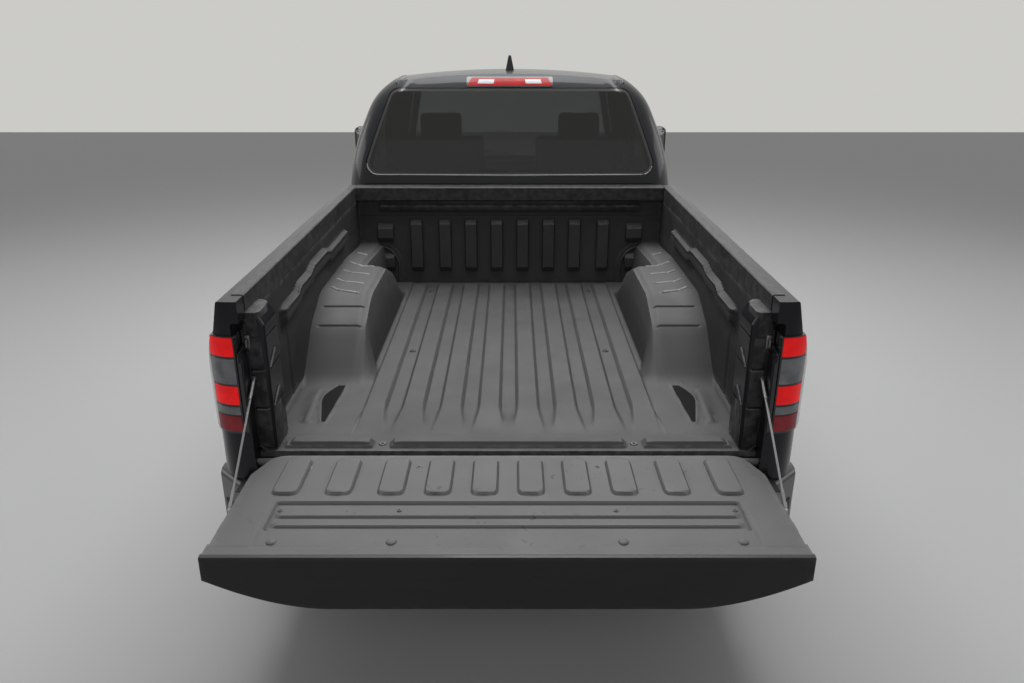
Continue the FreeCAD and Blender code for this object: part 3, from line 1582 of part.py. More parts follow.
def build_bed_floor():
    floor = Piece("bed_floor")
    top = "BedFloorTop - RibHeight"
    half = "(BedHalf - FitGap)"
    notch = "(WheelhouseInner - FitGap)"
    front = "(BedFrontY - FitGap)"
    rear = "BedEndY"
    before = "(RearAxleY + WheelhouseHalfBase + FitGap)"
    after = "(RearAxleY - WheelhouseHalfBase - FitGap)"
    points = [(half, front), (half, before), (notch, before), (notch, after), (half, after), (half, rear)]
    points += [(f"-{x}", y) for x, y in reversed(points)]
    sheet_metal = floor.outline("XY_Plane", points, top)
    floor.pad(sheet_metal, "FloorSheet", back=True)

    # Pressed ribs along the floor
    first = "(RibPitch * (RibCount - 1) / -2)"
    rib_section = [
        (f"{first} - RibWidth / 2", f"{top}"),
        (f"{first} - RibWidth / 2 + RibSlope", "BedFloorTop"),
        (f"{first} + RibWidth / 2 - RibSlope", "BedFloorTop"),
        (f"{first} + RibWidth / 2", f"{top}"),
    ]
    sketch = floor.outline("XZ_Plane", rib_section, f"-({front} - RibEndGap / 2)")
    rib = floor.pad(sketch, "BedLength - RibEndGap - RibEndGap / 2", back=False)
    floor.row(rib, "X_Axis", "RibPitch", "RibCount")

    # The ribs run out in long ramps towards the tail
    rib_end = "(BedFrontY - FitGap - RibEndGap / 2 - (BedLength - RibEndGap - RibEndGap / 2))"
    wedge = [
        (f"{rib_end} + RibRamp", "BedFloorTop"),
        (f"{rib_end}", f"{top}"),
        (f"{rib_end}", "BedFloorTop + RibHeight"),
        (f"{rib_end} + RibRamp", "BedFloorTop + RibHeight"),
    ]
    sketch = floor.outline("YZ_Plane", wedge)
    floor.pad(sketch, "BedHalf * 2", middle=True, cut=True)

    # A raised sill across the tail, in three runs
    depth = "SillBeadDepth"
    low_y = "(BedEndY + SillBeadSetback)"
    split = "SillBeadSplit"
    gap = "SillBeadGapHalf"
    runs = [(f"-({split} - {gap})", f"{split} - {gap}")]
    runs.append((f"{split} + {gap}", "PillarInnerHalf - SillBeadSetback"))
    runs.append(("-(PillarInnerHalf - SillBeadSetback)", f"-({split} + {gap})"))
    loops = [
        [(a, low_y), (b, low_y), (b, f"{low_y} + {depth}"), (a, f"{low_y} + {depth}")] for a, b in runs
    ]
    bead = floor.outlines("XY_Plane", loops, top)
    floor.pad(bead, "RibHeight", taper=-35)

    # Cross members that rest on the frame
    for share in (0.16, 0.4, 0.63, 0.955):
        y = f"BedFrontY - BedLength * {share} - CrossMemberWidth / 2"
        floor.block(
            ("-WheelhouseInner", y, "FrameRearTop + FitGap"),
            ("WheelhouseInner * 2", "CrossMemberWidth", f"{top} - FloorSheet - FrameRearTop - FitGap"),
        )
    return floor


def build_bulkhead():
    wall = Piece("bed_bulkhead")
    half = "(BedHalf - FitGap)"
    low = "(BedFloorTop - RibHeight - FloorSheet)"
    wide = "(UnderRailHalf - RailRound)"
    lip = "(RailInnerHalf - FitGap)"
    step = "(WallRibHeight + UnderRailHalf - BedHalf + FitGap)"
    under = "(BulkheadTop - RailLip - FitGap)"
    section = [
        (half, low),
        (half, "WallRibHeight + FitGap"),
        (wide, step),
        (wide, under),
        (lip, under),
        (lip, "BulkheadTop"),
    ]
    section += [(f"-{x}", z) for x, z in reversed(section)]
    sketch = wall.outline("XZ_Plane", section, "-(BedFrontY + BulkheadDepth)")
    wall.pad(sketch, "BulkheadDepth")
    front = "(BedFrontY - BulkheadCapDepth)"
    wall.block(
        (f"-{lip}", front, "BulkheadTop - BulkheadCap"),
        (f"{lip} * 2", "BulkheadCapDepth + BulkheadDepth / 2", "BulkheadCap"),
    )
    wall.block(
        ("-TrackHalf", "BedFrontY - TrackProud", "TrackBottom"),
        ("TrackHalf * 2", "TrackProud + BulkheadDepth / 2", "TrackTop - TrackBottom"),
    )
    loops = []
    for share in (-3.6, -2.5, -1.5, -0.5, 0.5, 1.5, 2.5, 3.6):
        centre = f"RibPitch * {share}"
        a, b = f"{centre} - PadWidth / 2", f"{centre} + PadWidth / 2"
        loops.append([(a, "PadBottom"), (b, "PadBottom"), (b, "PadTop"), (a, "PadTop")])
    for sign in ("-", ""):
        a, b = f"{sign}(TrackHalf + PadWidth / 3)", f"{sign}(TrackHalf - PadWidth)"
        for z in ("PadTop - PadWidth * 2", "PadBottom"):
            loops.append([(a, z), (b, z), (b, f"{z} + PadWidth * 1.6"), (a, f"{z} + PadWidth * 1.6")])
    pads = wall.outlines("XZ_Plane", loops, "-BedFrontY")
    wall.pad(pads, "PadProud", taper=-35)
    return wall


def build_tailgate():
    gate = Piece("tailgate")
    narrow, wide = "GateBottomHalf", "GateHalf"
    start, tip = "GateStartY", "GateTipY"
    points = [
        (narrow, start),
        (wide, f"{start} - GateTaper"),
        (wide, f"{tip} + GateCapLength / 2"),
    ]
    points += [(f"-{x}", y) for x, y in reversed(points)]
    sketch = gate.outline("XY_Plane", points, "GateFaceZ")
    gate.pad(sketch, "GateDepth", back=True)
    gate.round("GateCorner", lambda e: along(e, Z_AXIS) and e.BoundBox.YMax > v.GateTipY + v.GateCapLength)

    # The deep cap along the top edge, shallower towards its ends
    cap = [
        ("GateCapHalf", "GateFaceZ"),
        ("GateCapHalf", "GateFaceZ - GateCapEnd"),
        ("GateCapHalf - GateCapEndRun / 4", "GateFaceZ - GateCapEnd - GateRibLength"),
        ("GateCapHalf - GateCapEndRun", "GateFaceZ - GateCapDepth + GateRibLength"),
        ("GateCapHalf - GateCapEndRun * 1.5", "GateFaceZ - GateCapDepth"),
    ]
    cap += [(f"-({x})", z) for x, z in reversed(cap)]
    sketch = gate.outline("XZ_Plane", cap, f"-({tip} + GateCapLength)")
    gate.pad(sketch, "GateCapLength")

    # Pressed pads near the hinge, and the bolted panel with its two long beads
    loops = []
    near = f"({start} - GatePadStart)"
    far = f"({near} - GatePadLength - GatePadWidth)"
    for share in (0.5, 1.5, 2.5, 3.62, 4.75):
        for sign in ("-", ""):
            centre = f"{sign}RibPitch * {share}"
            a, b = f"{centre} - GatePadWidth / 2", f"{centre} + GatePadWidth / 2"
            loops.append([(a, near), (b, near), (b, far), (a, far)])
    pads = gate.outlines("XY_Plane", loops, "GateFaceZ")
    gate.pad(pads, "GatePadHeight", taper=-30)
    panel_near = f"({start} - GateHeight / 2)"
    panel_far = f"({panel_near} - GatePanelLength * 0.53)"
    a, b = "-GatePanelHalf", "GatePanelHalf"
    corners = [(a, panel_near), (b, panel_near), (b, panel_far), (a, panel_far)]
    panel = gate.outline("XY_Plane", corners, "GateFaceZ")
    gate.pad(panel, "GatePanelSink", cut=True)
    beads = []
    for share in (0.43, 0.78):
        y = f"({panel_near} - GatePanelLength * 0.53 * {share})"
        beads.append(
            [
                ("-GatePanelHalf + PadWidth / 2", f"{y} - GateRibLength / 2"),
                ("GatePanelHalf - PadWidth / 2", f"{y} - GateRibLength / 2"),
                ("GatePanelHalf - PadWidth / 2", f"{y} + GateRibLength / 2"),
                ("-GatePanelHalf + PadWidth / 2", f"{y} + GateRibLength / 2"),
            ]
        )
    sketch = gate.outlines("XY_Plane", beads, "GateFaceZ - GatePanelSink")
    gate.pad(sketch, "GateRibHeight", taper=-30)

    # A raised band along the cap, two creases across the cap's face, and a latch at each end
    gate.block(
        ("-GateHalf + GateCorner", f"{start} - GateBandStart - GateBandWidth", "GateFaceZ"),
        ("(GateHalf - GateCorner) * 2", "GateBandWidth", "GateBandHeight"),
    )
    for share in (0.35, 0.62):
        level = f"GateFaceZ - GateCapDepth * {share} - GateCreaseWidth / 2"
        gate.block(
            ("-GateCreaseHalf", f"{tip} - Overrun", level),
            ("GateCreaseHalf * 2", "Overrun + GateCreaseDepth", "GateCreaseWidth"),
            cut=True,
        )
    latch = f"({start} - GateLatchReach - GateLatchSize / 2)"
    gate.pair(
        ("GateHalf - GateLatchProud", latch, "GateFaceZ - GateLatchSize"),
        ("GateLatchProud * 2", "GateLatchSize", "GateLatchSize - GateLatchProud"),
    )

    # Hinge pins, and the studs that carry the stays
    pins = gate.circles("YZ_Plane", [("GateAxisY", "GateAxisZ", "GatePinRadius")])
    gate.pad(pins, "GatePinHalf * 2", middle=True)
    stud = (f"{start} - StayGateReach", "GateFaceZ - GatePinRadius", "StayRadius")
    studs = gate.circles("YZ_Plane", [stud])
    gate.pad(studs, "StayHalf * 2 + StayRadius * 2", middle=True)
    return gate


def stays():
    """The two cables that hold the lowered tailgate level, each with an eye at both ends."""
    head = Vector(v.StayHalf, v.BedEndY + v.StayRadius, v.StayPinHeight)
    foot = Vector(v.StayHalf, v.GateStartY - v.StayGateReach, v.GateFaceZ - v.GatePinRadius)
    cable = rod(head, foot, v.StayRadius)
    aim = (foot - head).normalize()
    sleeves = [
        rod(head + aim * v.StayEndRadius, head + aim * v.StayEndLength, v.StayRadius * 1.4),
        rod(foot - aim * v.StayEndLength, foot - aim * v.StayEndRadius, v.StayRadius * 1.4),
    ]
    plate = v.BedEndY + v.PanelGap - v.FitGap
    eye = rod(Vector(head.x, plate, head.z), Vector(head.x, head.y - v.StayRadius, head.z), v.StayEndRadius)
    low_eye = rod(foot - X_AXIS * v.StayRadius, foot + X_AXIS * v.StayRadius, v.StayEndRadius * 1.2)
    hole = rod(foot - X_AXIS * v.StayEndLength, foot + X_AXIS * v.StayEndLength, v.StayRadius + v.FitGap)
    return both_sides(cable.fuse(sleeves + [eye, low_eye]).cut(hole))


def build_rear_bumper():
    bar = Piece("rear_bumper")
    rear = "(NoseY - BumperRearStation)"
    half = "RearBumperHalf"
    chamfer = "RearBumperChamfer"
    inner = f"({half} - RearBumperDepth / 2)"
    points = [
        (f"{half} - {chamfer}", rear),
        (half, f"{rear} + {chamfer}"),
        (half, f"{rear} + {chamfer} + RearBumperFront / 4"),
        (inner, f"{rear} + {chamfer} + RearBumperFront / 4"),
        (f"{inner} - {chamfer} / 2", f"{rear} + RearBumperDepth"),
    ]
    points += [(f"-({x})", y) for x, y in reversed(points)]
    sketch = bar.outline("XY_Plane", points, "RearBumperBottom")
    bar.pad(sketch, "RearBumperTop - RearBumperBottom")
    rear_face = v.NoseY - v.BumperRearStation + v.FitGap

    def outer_edge(e):
        """Whether an edge runs along the rear face or a chamfered corner."""
        slanted = abs(e.tangentAt(0).x * e.tangentAt(0).y) > 0.1
        near = e.BoundBox.YMax < rear_face + v.RearBumperChamfer
        return e.BoundBox.ZLength < v.FitGap and near and (e.BoundBox.YMax < rear_face or slanted)

    bar.round("RearBumperEdge", outer_edge)
    step = "StepHalf"
    bar.block(
        (f"-{step}", f"{rear} - Overrun", "RearBumperTop - StepDrop"),
        (f"{step} * 2", "Overrun + RearBumperDepth * 0.62", "StepDrop + Overrun"),
        cut=True,
    )
    return bar


# Chassis


def build_frame():
    frame = Piece("frame")
    height = "FrameRailHeight"
    front = "(NoseY - NoseStation - FrontBumperDepth - FitGap)"
    end = "(NoseY - BumperRearStation + RearBumperDepth + FitGap)"
    ahead = "(FrontAxleY - TyreRadius * 0.8)"
    behind = "(FrontAxleY - TyreRadius * 1.45)"
    rise = "(CabBackY + TyreRadius * 0.3)"
    crest = "(RearAxleY + TyreRadius * 1.5)"
    top = [
        (front, "FrameFrontTop"),
        (ahead, "FrameFrontTop"),
        (behind, "FrameMidTop"),
        (rise, "FrameMidTop"),
        (crest, "FrameRearTop"),
        (end, "FrameRearTop"),
    ]
    low = [
        (end, f"FrameRearTop - {height}"),
        (f"{crest} - {height} / 2", f"FrameRearTop - {height}"),
        (f"{rise} - {height} / 2", f"FrameMidTop - {height}"),
        (behind, f"FrameMidTop - {height}"),
        (ahead, f"FrameFrontTop - {height}"),
        (front, f"FrameFrontTop - {height}"),
    ]
    sketch = frame.outline("YZ_Plane", top + low)
    frame.pad(sketch, "FrameHalfOuter * 2", middle=True)
    between = [(y, "FrameRearTop + Overrun") for y in (f"{end} - Overrun", f"{front} + Overrun")]
    below = [(y, "ReceiverHeight / 2") for y in (f"{front} + Overrun", f"{end} - Overrun")]
    sketch = frame.outline("YZ_Plane", between + below)
    frame.pad(sketch, "FrameHalfInner * 2", middle=True, cut=True)

    # Cross members, from the engine's to the one ahead of the bumper
    low_arm = "(LowerArmHeight - ArmThickness / 2)"
    frame.block(
        ("-FrameHalfOuter", "FrontAxleY - ArmBaseHalf", low_arm),
        ("FrameHalfOuter * 2", "ArmBaseHalf * 2", f"FrameFrontTop - {height} - {low_arm} + CrossTube"),
    )
    frame.block(
        ("-FrameHalfOuter", "CabFrontY - GearboxLength * 0.62", f"FrameMidTop - {height} - CrossTube"),
        ("FrameHalfOuter * 2", "CrossTube * 2", "CrossTube"),
    )
    spare = "(RearAxleY - SpareSetback - CrossTube)"
    beam = ("FrameHalfInner * 2", "CrossTube * 2", "CrossTube * 1.4")
    frame.block(("-FrameHalfInner", spare, "FrameRearTop - CrossTube * 2"), beam)
    frame.block(
        ("-FrameHalfInner", "CabBackY + TyreRadius + CrossTube", "FrameMidTop - CrossTube * 1.2"),
        ("FrameHalfInner * 2", "CrossTube * 2", "CrossTube * 1.2"),
    )
    frame.block(("-FrameHalfInner", f"{front} - CrossTube * 2", f"FrameFrontTop - {height}"), beam)
    frame.block(
        ("-FrameHalfOuter", f"{end}", "ReceiverHeight + ReceiverSize / 2 - FrameRailWidth / 4"),
        ("FrameHalfOuter * 2", "CrossTube * 1.5", f"FrameRearTop - {height} - ReceiverHeight"),
    )

    # Body mounts, spring hangers and the towers of the upper arms
    cab_pad = ("MountRadius * 2", "MountRadius * 2", "FloorUnder - FrameMidTop - FitGap")
    for share in (0.2, 0.55, 0.92):
        y = f"CabFrontY - (CabFrontY - CabBackY) * {share} - MountRadius"
        frame.pair(("RailFrameHalf - MountRadius", y, "FrameMidTop"), cab_pad)
    hanger = ("LeafHalf + LeafWidth / 2 - FrameHalfInner", "HangerWidth", "HangerHeight")
    for y in ("RearAxleY + LeafFront", "RearAxleY - LeafRear - HangerWidth"):
        frame.pair(("FrameHalfInner", y, "LeafEyeHeight - LeafDepth"), hanger)
    tower = ("FrameRailWidth", "ArmBaseHalf * 2", "UpperArmHeight + ArmThickness - FrameFrontTop")
    frame.pair(("FrameHalfInner", "FrontAxleY - ArmBaseHalf", "FrameFrontTop"), tower)

    # The square receiver for a tow bar, with its pin hole
    size = "ReceiverSize"
    tail = f"({end} - ReceiverLength + CrossTube * 1.5)"
    frame.block((f"-{size} / 2", tail, f"ReceiverHeight - {size} / 2"), (size, "ReceiverLength", size))
    bore = "ReceiverBore"
    frame.block(
        (f"-{bore} / 2", f"{tail} - Overrun", f"ReceiverHeight - {bore} / 2"),
        (bore, "ReceiverLength + Overrun * 2", bore),
        cut=True,
    )
    hole = frame.circles("YZ_Plane", [(f"{tail} + ReceiverPinInset", "ReceiverHeight", "ReceiverPinRadius")])
    frame.pad(hole, f"{size} * 2", middle=True, cut=True)
    return frame


def build_tank():
    """The fuel tank, hung inside the left rail."""
    tank = Piece("fuel_tank")
    tank.block(
        ("-(FrameHalfInner - FitGap)", "CabBackY + TyreRadius - TankLength", "TankBottom"),
        ("FrameHalfInner - FitGap - ShaftRadius * 2", "TankLength", "TankHeight"),
    )
    tank.round("TankRound", lambda e: e.BoundBox.XMin > -v.FrameHalfInner + v.Overrun or along(e, Y_AXIS))
    return tank


def build_engine():
    """The engine as one rounded block on its cross member."""
    engine = Piece("engine")
    seat = "(FrameFrontTop - FrameRailHeight + CrossTube + FitGap)"
    engine.block(
        ("-EngineWidth / 2", "NoseY - EngineFront - EngineLength", seat),
        ("EngineWidth", "EngineLength", "EngineHeight"),
    )
    engine.round("EngineRound", lambda e: e.BoundBox.ZMin > v.FrameFrontTop)
    return engine


def driveline_shape():
    """Gearbox and propeller shaft."""
    engine_end = at_station(v.EngineFront + v.EngineLength) - v.FitGap
    tail = engine_end - v.GearboxLength
    z = v.GearboxHeight
    profile = (
        (0, engine_end),
        (v.GearboxRadius, engine_end),
        (v.GearboxRadius * 0.95, engine_end - v.GearboxLength * 0.14),
        (v.GearboxRadius * 0.62, engine_end - v.GearboxLength * 0.26),
        (v.GearboxRadius * 0.58, engine_end - v.GearboxLength * 0.62),
        (v.GearboxTailRadius * 0.8, engine_end - v.GearboxLength * 0.72),
        (v.GearboxTailRadius * 0.6, tail),
        (0, tail),
    )
    wire = Part.makePolygon([Vector(r, y, z) for r, y in profile + (profile[0],)])
    box_shape = Part.Face(wire).revolve(Vector(0, 0, z), Y_AXIS, 360)
    end = Vector(0, v.RearAxleY + v.DiffRadius + v.FitGap * 2, v.DiffHeight)
    shaft = rod(Vector(0, tail + v.Overrun, z), end, v.ShaftRadius)
    return box_shape.fuse(shaft)


def build_rear_axle():
    """A live axle about its own line: tube, differential, end flanges and spring seats."""
    axle = Piece("rear_axle")
    end = "(Track / 2 - HubStand)"
    half = [
        ("HubFaceX - FitGap", "0"),
        ("HubFaceX - FitGap", "SpindleRadius"),
        (end, "SpindleRadius"),
        (end, "AxleTubeRadius * 1.5"),
        (f"{end} - ArmThickness", "AxleTubeRadius * 1.5"),
        (f"{end} - ArmThickness", "AxleTubeRadius"),
        ("DiffRadius * 1.25", "AxleTubeRadius"),
        ("DiffRadius * 0.62", "DiffRadius * 0.88"),
        ("DiffRadius * 0.3", "DiffRadius"),
    ]
    outline = half + [(f"-({x})", radius) for x, radius in reversed(half)]
    axle.revolve(axle.outline("XZ_Plane", outline), "X_Axis")
    perch = ("LeafWidth", "ArmTipHalf * 4", "AxleTubeRadius + CrossTube / 2")
    axle.pair(("LeafHalf - LeafWidth / 2", "-ArmTipHalf * 2", "0"), perch)
    axle.body.setExpression("Placement.Base.y", expr("RearAxleY"))
    axle.body.setExpression("Placement.Base.z", expr("DiffHeight"))
    return axle


def leaf_springs_shape():
    """Arched leaf packs between the hangers, resting on the axle's seats."""
    front = v.RearAxleY + v.LeafFront - v.FitGap
    rear = v.RearAxleY - v.LeafRear + v.FitGap
    low = v.DiffHeight + v.AxleTubeRadius + v.CrossTube / 2 + v.FitGap
    x = v.LeafHalf - v.LeafWidth / 2
    leaf = v.LeafDepth / len(LEAF_SHARES)
    stations = [-share for share in LEAF_STATION_SHARES[:0:-1]] + list(LEAF_STATION_SHARES)

    def spot(share, layers):
        """A point on the pack, so many leaves below its top."""
        end = front if share > 0 else rear
        y = v.RearAxleY + (end - v.RearAxleY) * abs(share)
        arch = (v.LeafEyeHeight - low) * share * share
        return (y, low + v.LeafDepth + arch - leaf * layers)

    points = [spot(share, 0) for share in stations]
    for share in stations[::-1]:
        layers = sum(abs(share) <= reach for reach in LEAF_SHARES)
        if abs(share) in LEAF_SHARES[1:]:
            steps = [layers - 1, layers] if share > 0 else [layers, layers - 1]
            points += [spot(share, step) for step in steps]
        else:
            points.append(spot(share, layers))
    pack = slab(points, (0,) * len(points), side_plane(x), X_AXIS * v.LeafWidth)
    saddle = box(
        (x, v.RearAxleY - v.ArmTipHalf * 2, low),
        (x + v.LeafWidth, v.RearAxleY + v.ArmTipHalf * 2, low + v.LeafDepth * 1.2),
    )
    eyes = []
    for y, toward in ((front, -1), (rear, 1)):
        middle = Vector(x, y + toward * v.LeafDepth * 0.6, v.LeafEyeHeight + v.LeafDepth * 0.6)
        eyes.append(rod(middle, middle + X_AXIS * v.LeafWidth, v.LeafDepth * 0.6))
    return both_sides(pack.fuse([saddle] + eyes))


def front_suspension_shape():
    """Upper and lower arms with a coil strut on each side."""
    root = v.FrameHalfOuter + v.FitGap
    axle = v.FrontAxleY
    tip = v.SteerX

    def arm(height, window):
        base, end = v.ArmBaseHalf * 0.94, v.ArmTipHalf
        points = ((root, axle - base), (root, axle + base), (tip + end, axle + end), (tip + end, axle - end))
        low = height - v.ArmThickness / 2
        shape = slab(points, (0, 0, end * 0.9, end * 0.9), level_plane(low), Z_AXIS * v.ArmThickness)
        if window:
            inner = (
                (root + end * 0.6, axle - base * 0.62),
                (root + end * 0.6, axle + base * 0.62),
                (tip - end * 2.6, axle + end * 1.1),
                (tip - end * 2.6, axle - end * 1.1),
            )
            hole = slab(inner, (end * 0.4,) * 4, level_plane(low - v.Overrun), Z_AXIS * v.Overrun * 4)
            shape = shape.cut(hole)
        bore = Part.makeCylinder(
            v.KingPinRadius + v.FitGap, v.ArmThickness + v.Overrun, Vector(tip, axle, low - v.Overrun / 2)
        )
        return shape.cut(bore)

    lower = arm(v.LowerArmHeight, False)
    upper = arm(v.UpperArmHeight, True)
    foot = Vector(root + v.StrutReach, axle, v.LowerArmHeight)
    head = Vector(root + v.StrutLean, axle, v.StrutTop)
    strut = rod(foot, head, v.StrutRadius)
    over = v.Overrun * 2
    above = box((0, axle - over, head.z - v.StrutRadius), (root * 2, axle + over, head.z * 2))
    strut = strut.cut(above)
    mount = box(
        (v.FrameHalfInner, axle - v.ArmBaseHalf, v.UpperArmHeight + v.ArmThickness + v.FitGap),
        (root + v.StrutLean + v.StrutRadius, axle + v.ArmBaseHalf, v.StrutTop),
    )
    return both_sides(lower.fuse([upper, strut, mount]))


def exhaust_shape():
    """One pipe from the engine, through a muffler and over the axle, out behind the right wheel."""
    side, low, high = v.PipeSide, v.PipeLow, v.PipeHigh
    engine_end = at_station(v.EngineFront + v.EngineLength)
    axle = v.RearAxleY
    radius = v.PipeRadius
    stations = (
        Vector(side, engine_end - radius * 0.4, low + radius * 3),
        Vector(side, engine_end - radius * 8, low),
        Vector(side, axle + radius * 17, low),
        Vector(side + radius, axle + radius * 5, high),
        Vector(side + radius, axle - radius * 5, high),
        Vector(side + radius * 3, axle - radius * 9, low + radius),
        Vector(v.TailpipeSide, axle - radius * 15, low),
        Vector(v.TailpipeSide, axle - radius * 24, low - radius),
    )
    bend = radius * 2.4
    run = pipe(stations, bend, radius)
    muffler_end = at_station(v.CabBackStation - v.MufflerRadius * 3)
    muffler = Part.makeCylinder(v.MufflerRadius, v.MufflerLength, Vector(side, muffler_end, low), Y_AXIS)
    muffler = muffler.makeFillet(v.MufflerRadius / 4, muffler.Edges)
    hook = box(
        (side, muffler_end + v.MufflerLength / 2, low + v.MufflerRadius / 2),
        (v.FrameHalfInner - v.FitGap, muffler_end + v.MufflerLength / 2 + radius, low + v.MufflerRadius),
    )
    return run.fuse([muffler, hook])


def build_wheels():
    """Four rims with their brake discs, and four tyres."""
    half = "(RimWidth / 2 + RimSheet)"
    edge = "(RimRadius + RimSheet)"
    for axle, y in (("front", "FrontAxleY"), ("rear", "RearAxleY")):
        for side, sign in (("left", "-"), ("right", "")):
            rim = Piece(f"rim_{axle}_{side}")
            barrel = [
                (f"-{half}", edge),
                (half, edge),
                (half, "RimRadius - RimSheet"),
                (f"{half} * 0.84", "RimRadius - RimSheet * 2"),
                (f"-{half} * 0.84", "RimRadius - RimSheet * 2"),
                (f"-{half}", "RimRadius - RimSheet"),
            ]
            rim.revolve(rim.outline("XZ_Plane", barrel), "X_Axis")
            out = "(RimOffset + SpokeDepth)"
            disc = [
                ("RimOffset", "0"),
                (f"{out} * 1.12", "0"),
                (f"{out} * 1.12", "HubRadius * 0.55"),
                (f"{out} * 0.94", "HubRadius * 0.7"),
                (f"{out} * 0.94", "HubRadius"),
                (f"{out} * 1.3", "RimRadius * 0.8"),
                (f"{out} * 1.36", "RimRadius - RimSheet * 1.5"),
                ("RimOffset * 1.2 + SpokeDepth / 2", "RimRadius - RimSheet * 1.5"),
                ("RimOffset + SpokeDepth / 3", "HubRadius * 1.3"),
                ("RimOffset", "HubRadius * 1.15"),
            ]
            rim.revolve(rim.outline("XZ_Plane", disc), "X_Axis")
            near, far = "SpokeWindowInner", "SpokeWindowOuter"
            window = [
                (f"{near} * -0.577 + SpokeWidth * 0.58", near),
                (f"{near} * 0.577 - SpokeWidth * 0.58", near),
                (f"{far} * 0.54 - SpokeWidth * 0.58", f"{far} * 0.985"),
                (f"{far} * -0.54 + SpokeWidth * 0.58", f"{far} * 0.985"),
            ]
            sketch = rim.outline("YZ_Plane", window, "RimOffset - FitGap")
            hole = rim.pad(sketch, "SpokeDepth * 3", back=True, cut=True)
            rim.ring(hole, "X_Axis", "SpokeCount")
            rotor_in = "(RotorDepth * -1.5)"
            rotor = [
                (rotor_in, "HubBore"),
                (rotor_in, "RotorRadius"),
                (f"{rotor_in} + RotorDepth", "RotorRadius"),
                (f"{rotor_in} + RotorDepth", "HubRadius"),
                ("RimOffset + FitGap", "HubRadius"),
                ("RimOffset + FitGap", "HubBore"),
            ]
            rim.revolve(rim.outline("XZ_Plane", rotor), "X_Axis")
            tyre = Piece(f"tyre_{axle}_{side}")
            loop = [
                ("-RimWidth / 2 - RimSheet", f"{edge} + FitGap"),
                ("-TyreWidth / 2", "RimRadius * 0.5 + TyreRadius * 0.5"),
                ("-TyreWidth / 2 + TyreShoulder / 5", "TyreRadius - TyreShoulder"),
                ("-TyreWidth / 2 + TyreShoulder * 0.8", "TyreRadius"),
            ]
            loop += [(x.replace("-", "", 1).replace("- RimSheet", "+ RimSheet").replace("+ TyreS", "- TyreS"), z)
                     for x, z in reversed(loop)]
            tyre.revolve(tyre.outline("XZ_Plane", loop), "X_Axis")
            for piece in (rim, tyre):
                body = piece.body
                body.setExpression("Placement.Base.x", expr(f"{sign}Track / 2"))
                body.setExpression("Placement.Base.y", expr(y))
                body.setExpression("Placement.Base.z", expr("TyreRadius"))
                if sign:
                    body.setExpression("Placement.Rotation.Angle", "180")


def knuckle_shape():
    """The upright between the arms on the right: stub axle outward, king pins up and down."""
    low = v.LowerArmHeight + v.ArmThickness / 2 + v.FitGap
    high = v.UpperArmHeight - v.ArmThickness / 2 - v.FitGap
    x, y = v.SteerX, v.FrontAxleY
    half, deep = v.KnuckleWidth / 2, v.KnuckleDepth / 2
    upright = box((x - deep, y - half, low), (x + deep, y + half, high))
    upright = upright.makeFillet(deep / 2, [e for e in upright.Edges if along(e, Z_AXIS)])
    flange = rod(Vector(x, y, v.TyreRadius), Vector(v.Track / 2 - v.HubStand, y, v.TyreRadius), v.HubRadius * 0.8)
    stub = rod(Vector(x, y, v.TyreRadius), Vector(v.HubFaceX - v.FitGap, y, v.TyreRadius), v.SpindleRadius)
    pin = rod(
        Vector(x, y, low - v.ArmThickness * 0.8), Vector(x, y, high + v.ArmThickness * 0.8), v.KingPinRadius
    )
    return upright.fuse([flange, stub, pin])


def spare_wheel_shape():
    """The spare, lying flat under the tail on its hoist rod."""
    centre = Vector(0, v.RearAxleY - v.SpareSetback, v.SpareHeight)
    half = v.SpareWidth / 2
    inner = v.RimRadius - v.RimSheet * 2
    profile = (
        (0, -half * 0.2),
        (inner, -half * 0.2),
        (inner, -half * 0.84),
        (v.RimRadius + v.RimSheet, -half * 0.84),
        (v.RimRadius * 0.5 + v.TyreRadius * 0.5, -half),
        (v.TyreRadius - v.TyreShoulder / 3, -half + v.TyreShoulder),
        (v.TyreRadius, -half + v.TyreShoulder * 1.5),
        (v.TyreRadius, half - v.TyreShoulder * 1.5),
        (v.TyreRadius - v.TyreShoulder / 3, half - v.TyreShoulder),
        (v.RimRadius * 0.5 + v.TyreRadius * 0.5, half),
        (v.RimRadius + v.RimSheet, half * 0.84),
        (inner, half * 0.84),
        (inner, half * 0.2),
        (0, half * 0.2),
    )
    points = [centre + Vector(r, 0, z) for r, z in profile]
    wheel = Part.Face(Part.makePolygon(points + [points[0]])).revolve(centre, Z_AXIS, 360)
    top = v.FrameRearTop - v.CrossTube * 2 - v.FitGap
    hoist = rod(centre, Vector(centre.x, centre.y, top), v.KingPinRadius)
    return wheel.fuse(hoist)


# Cabin


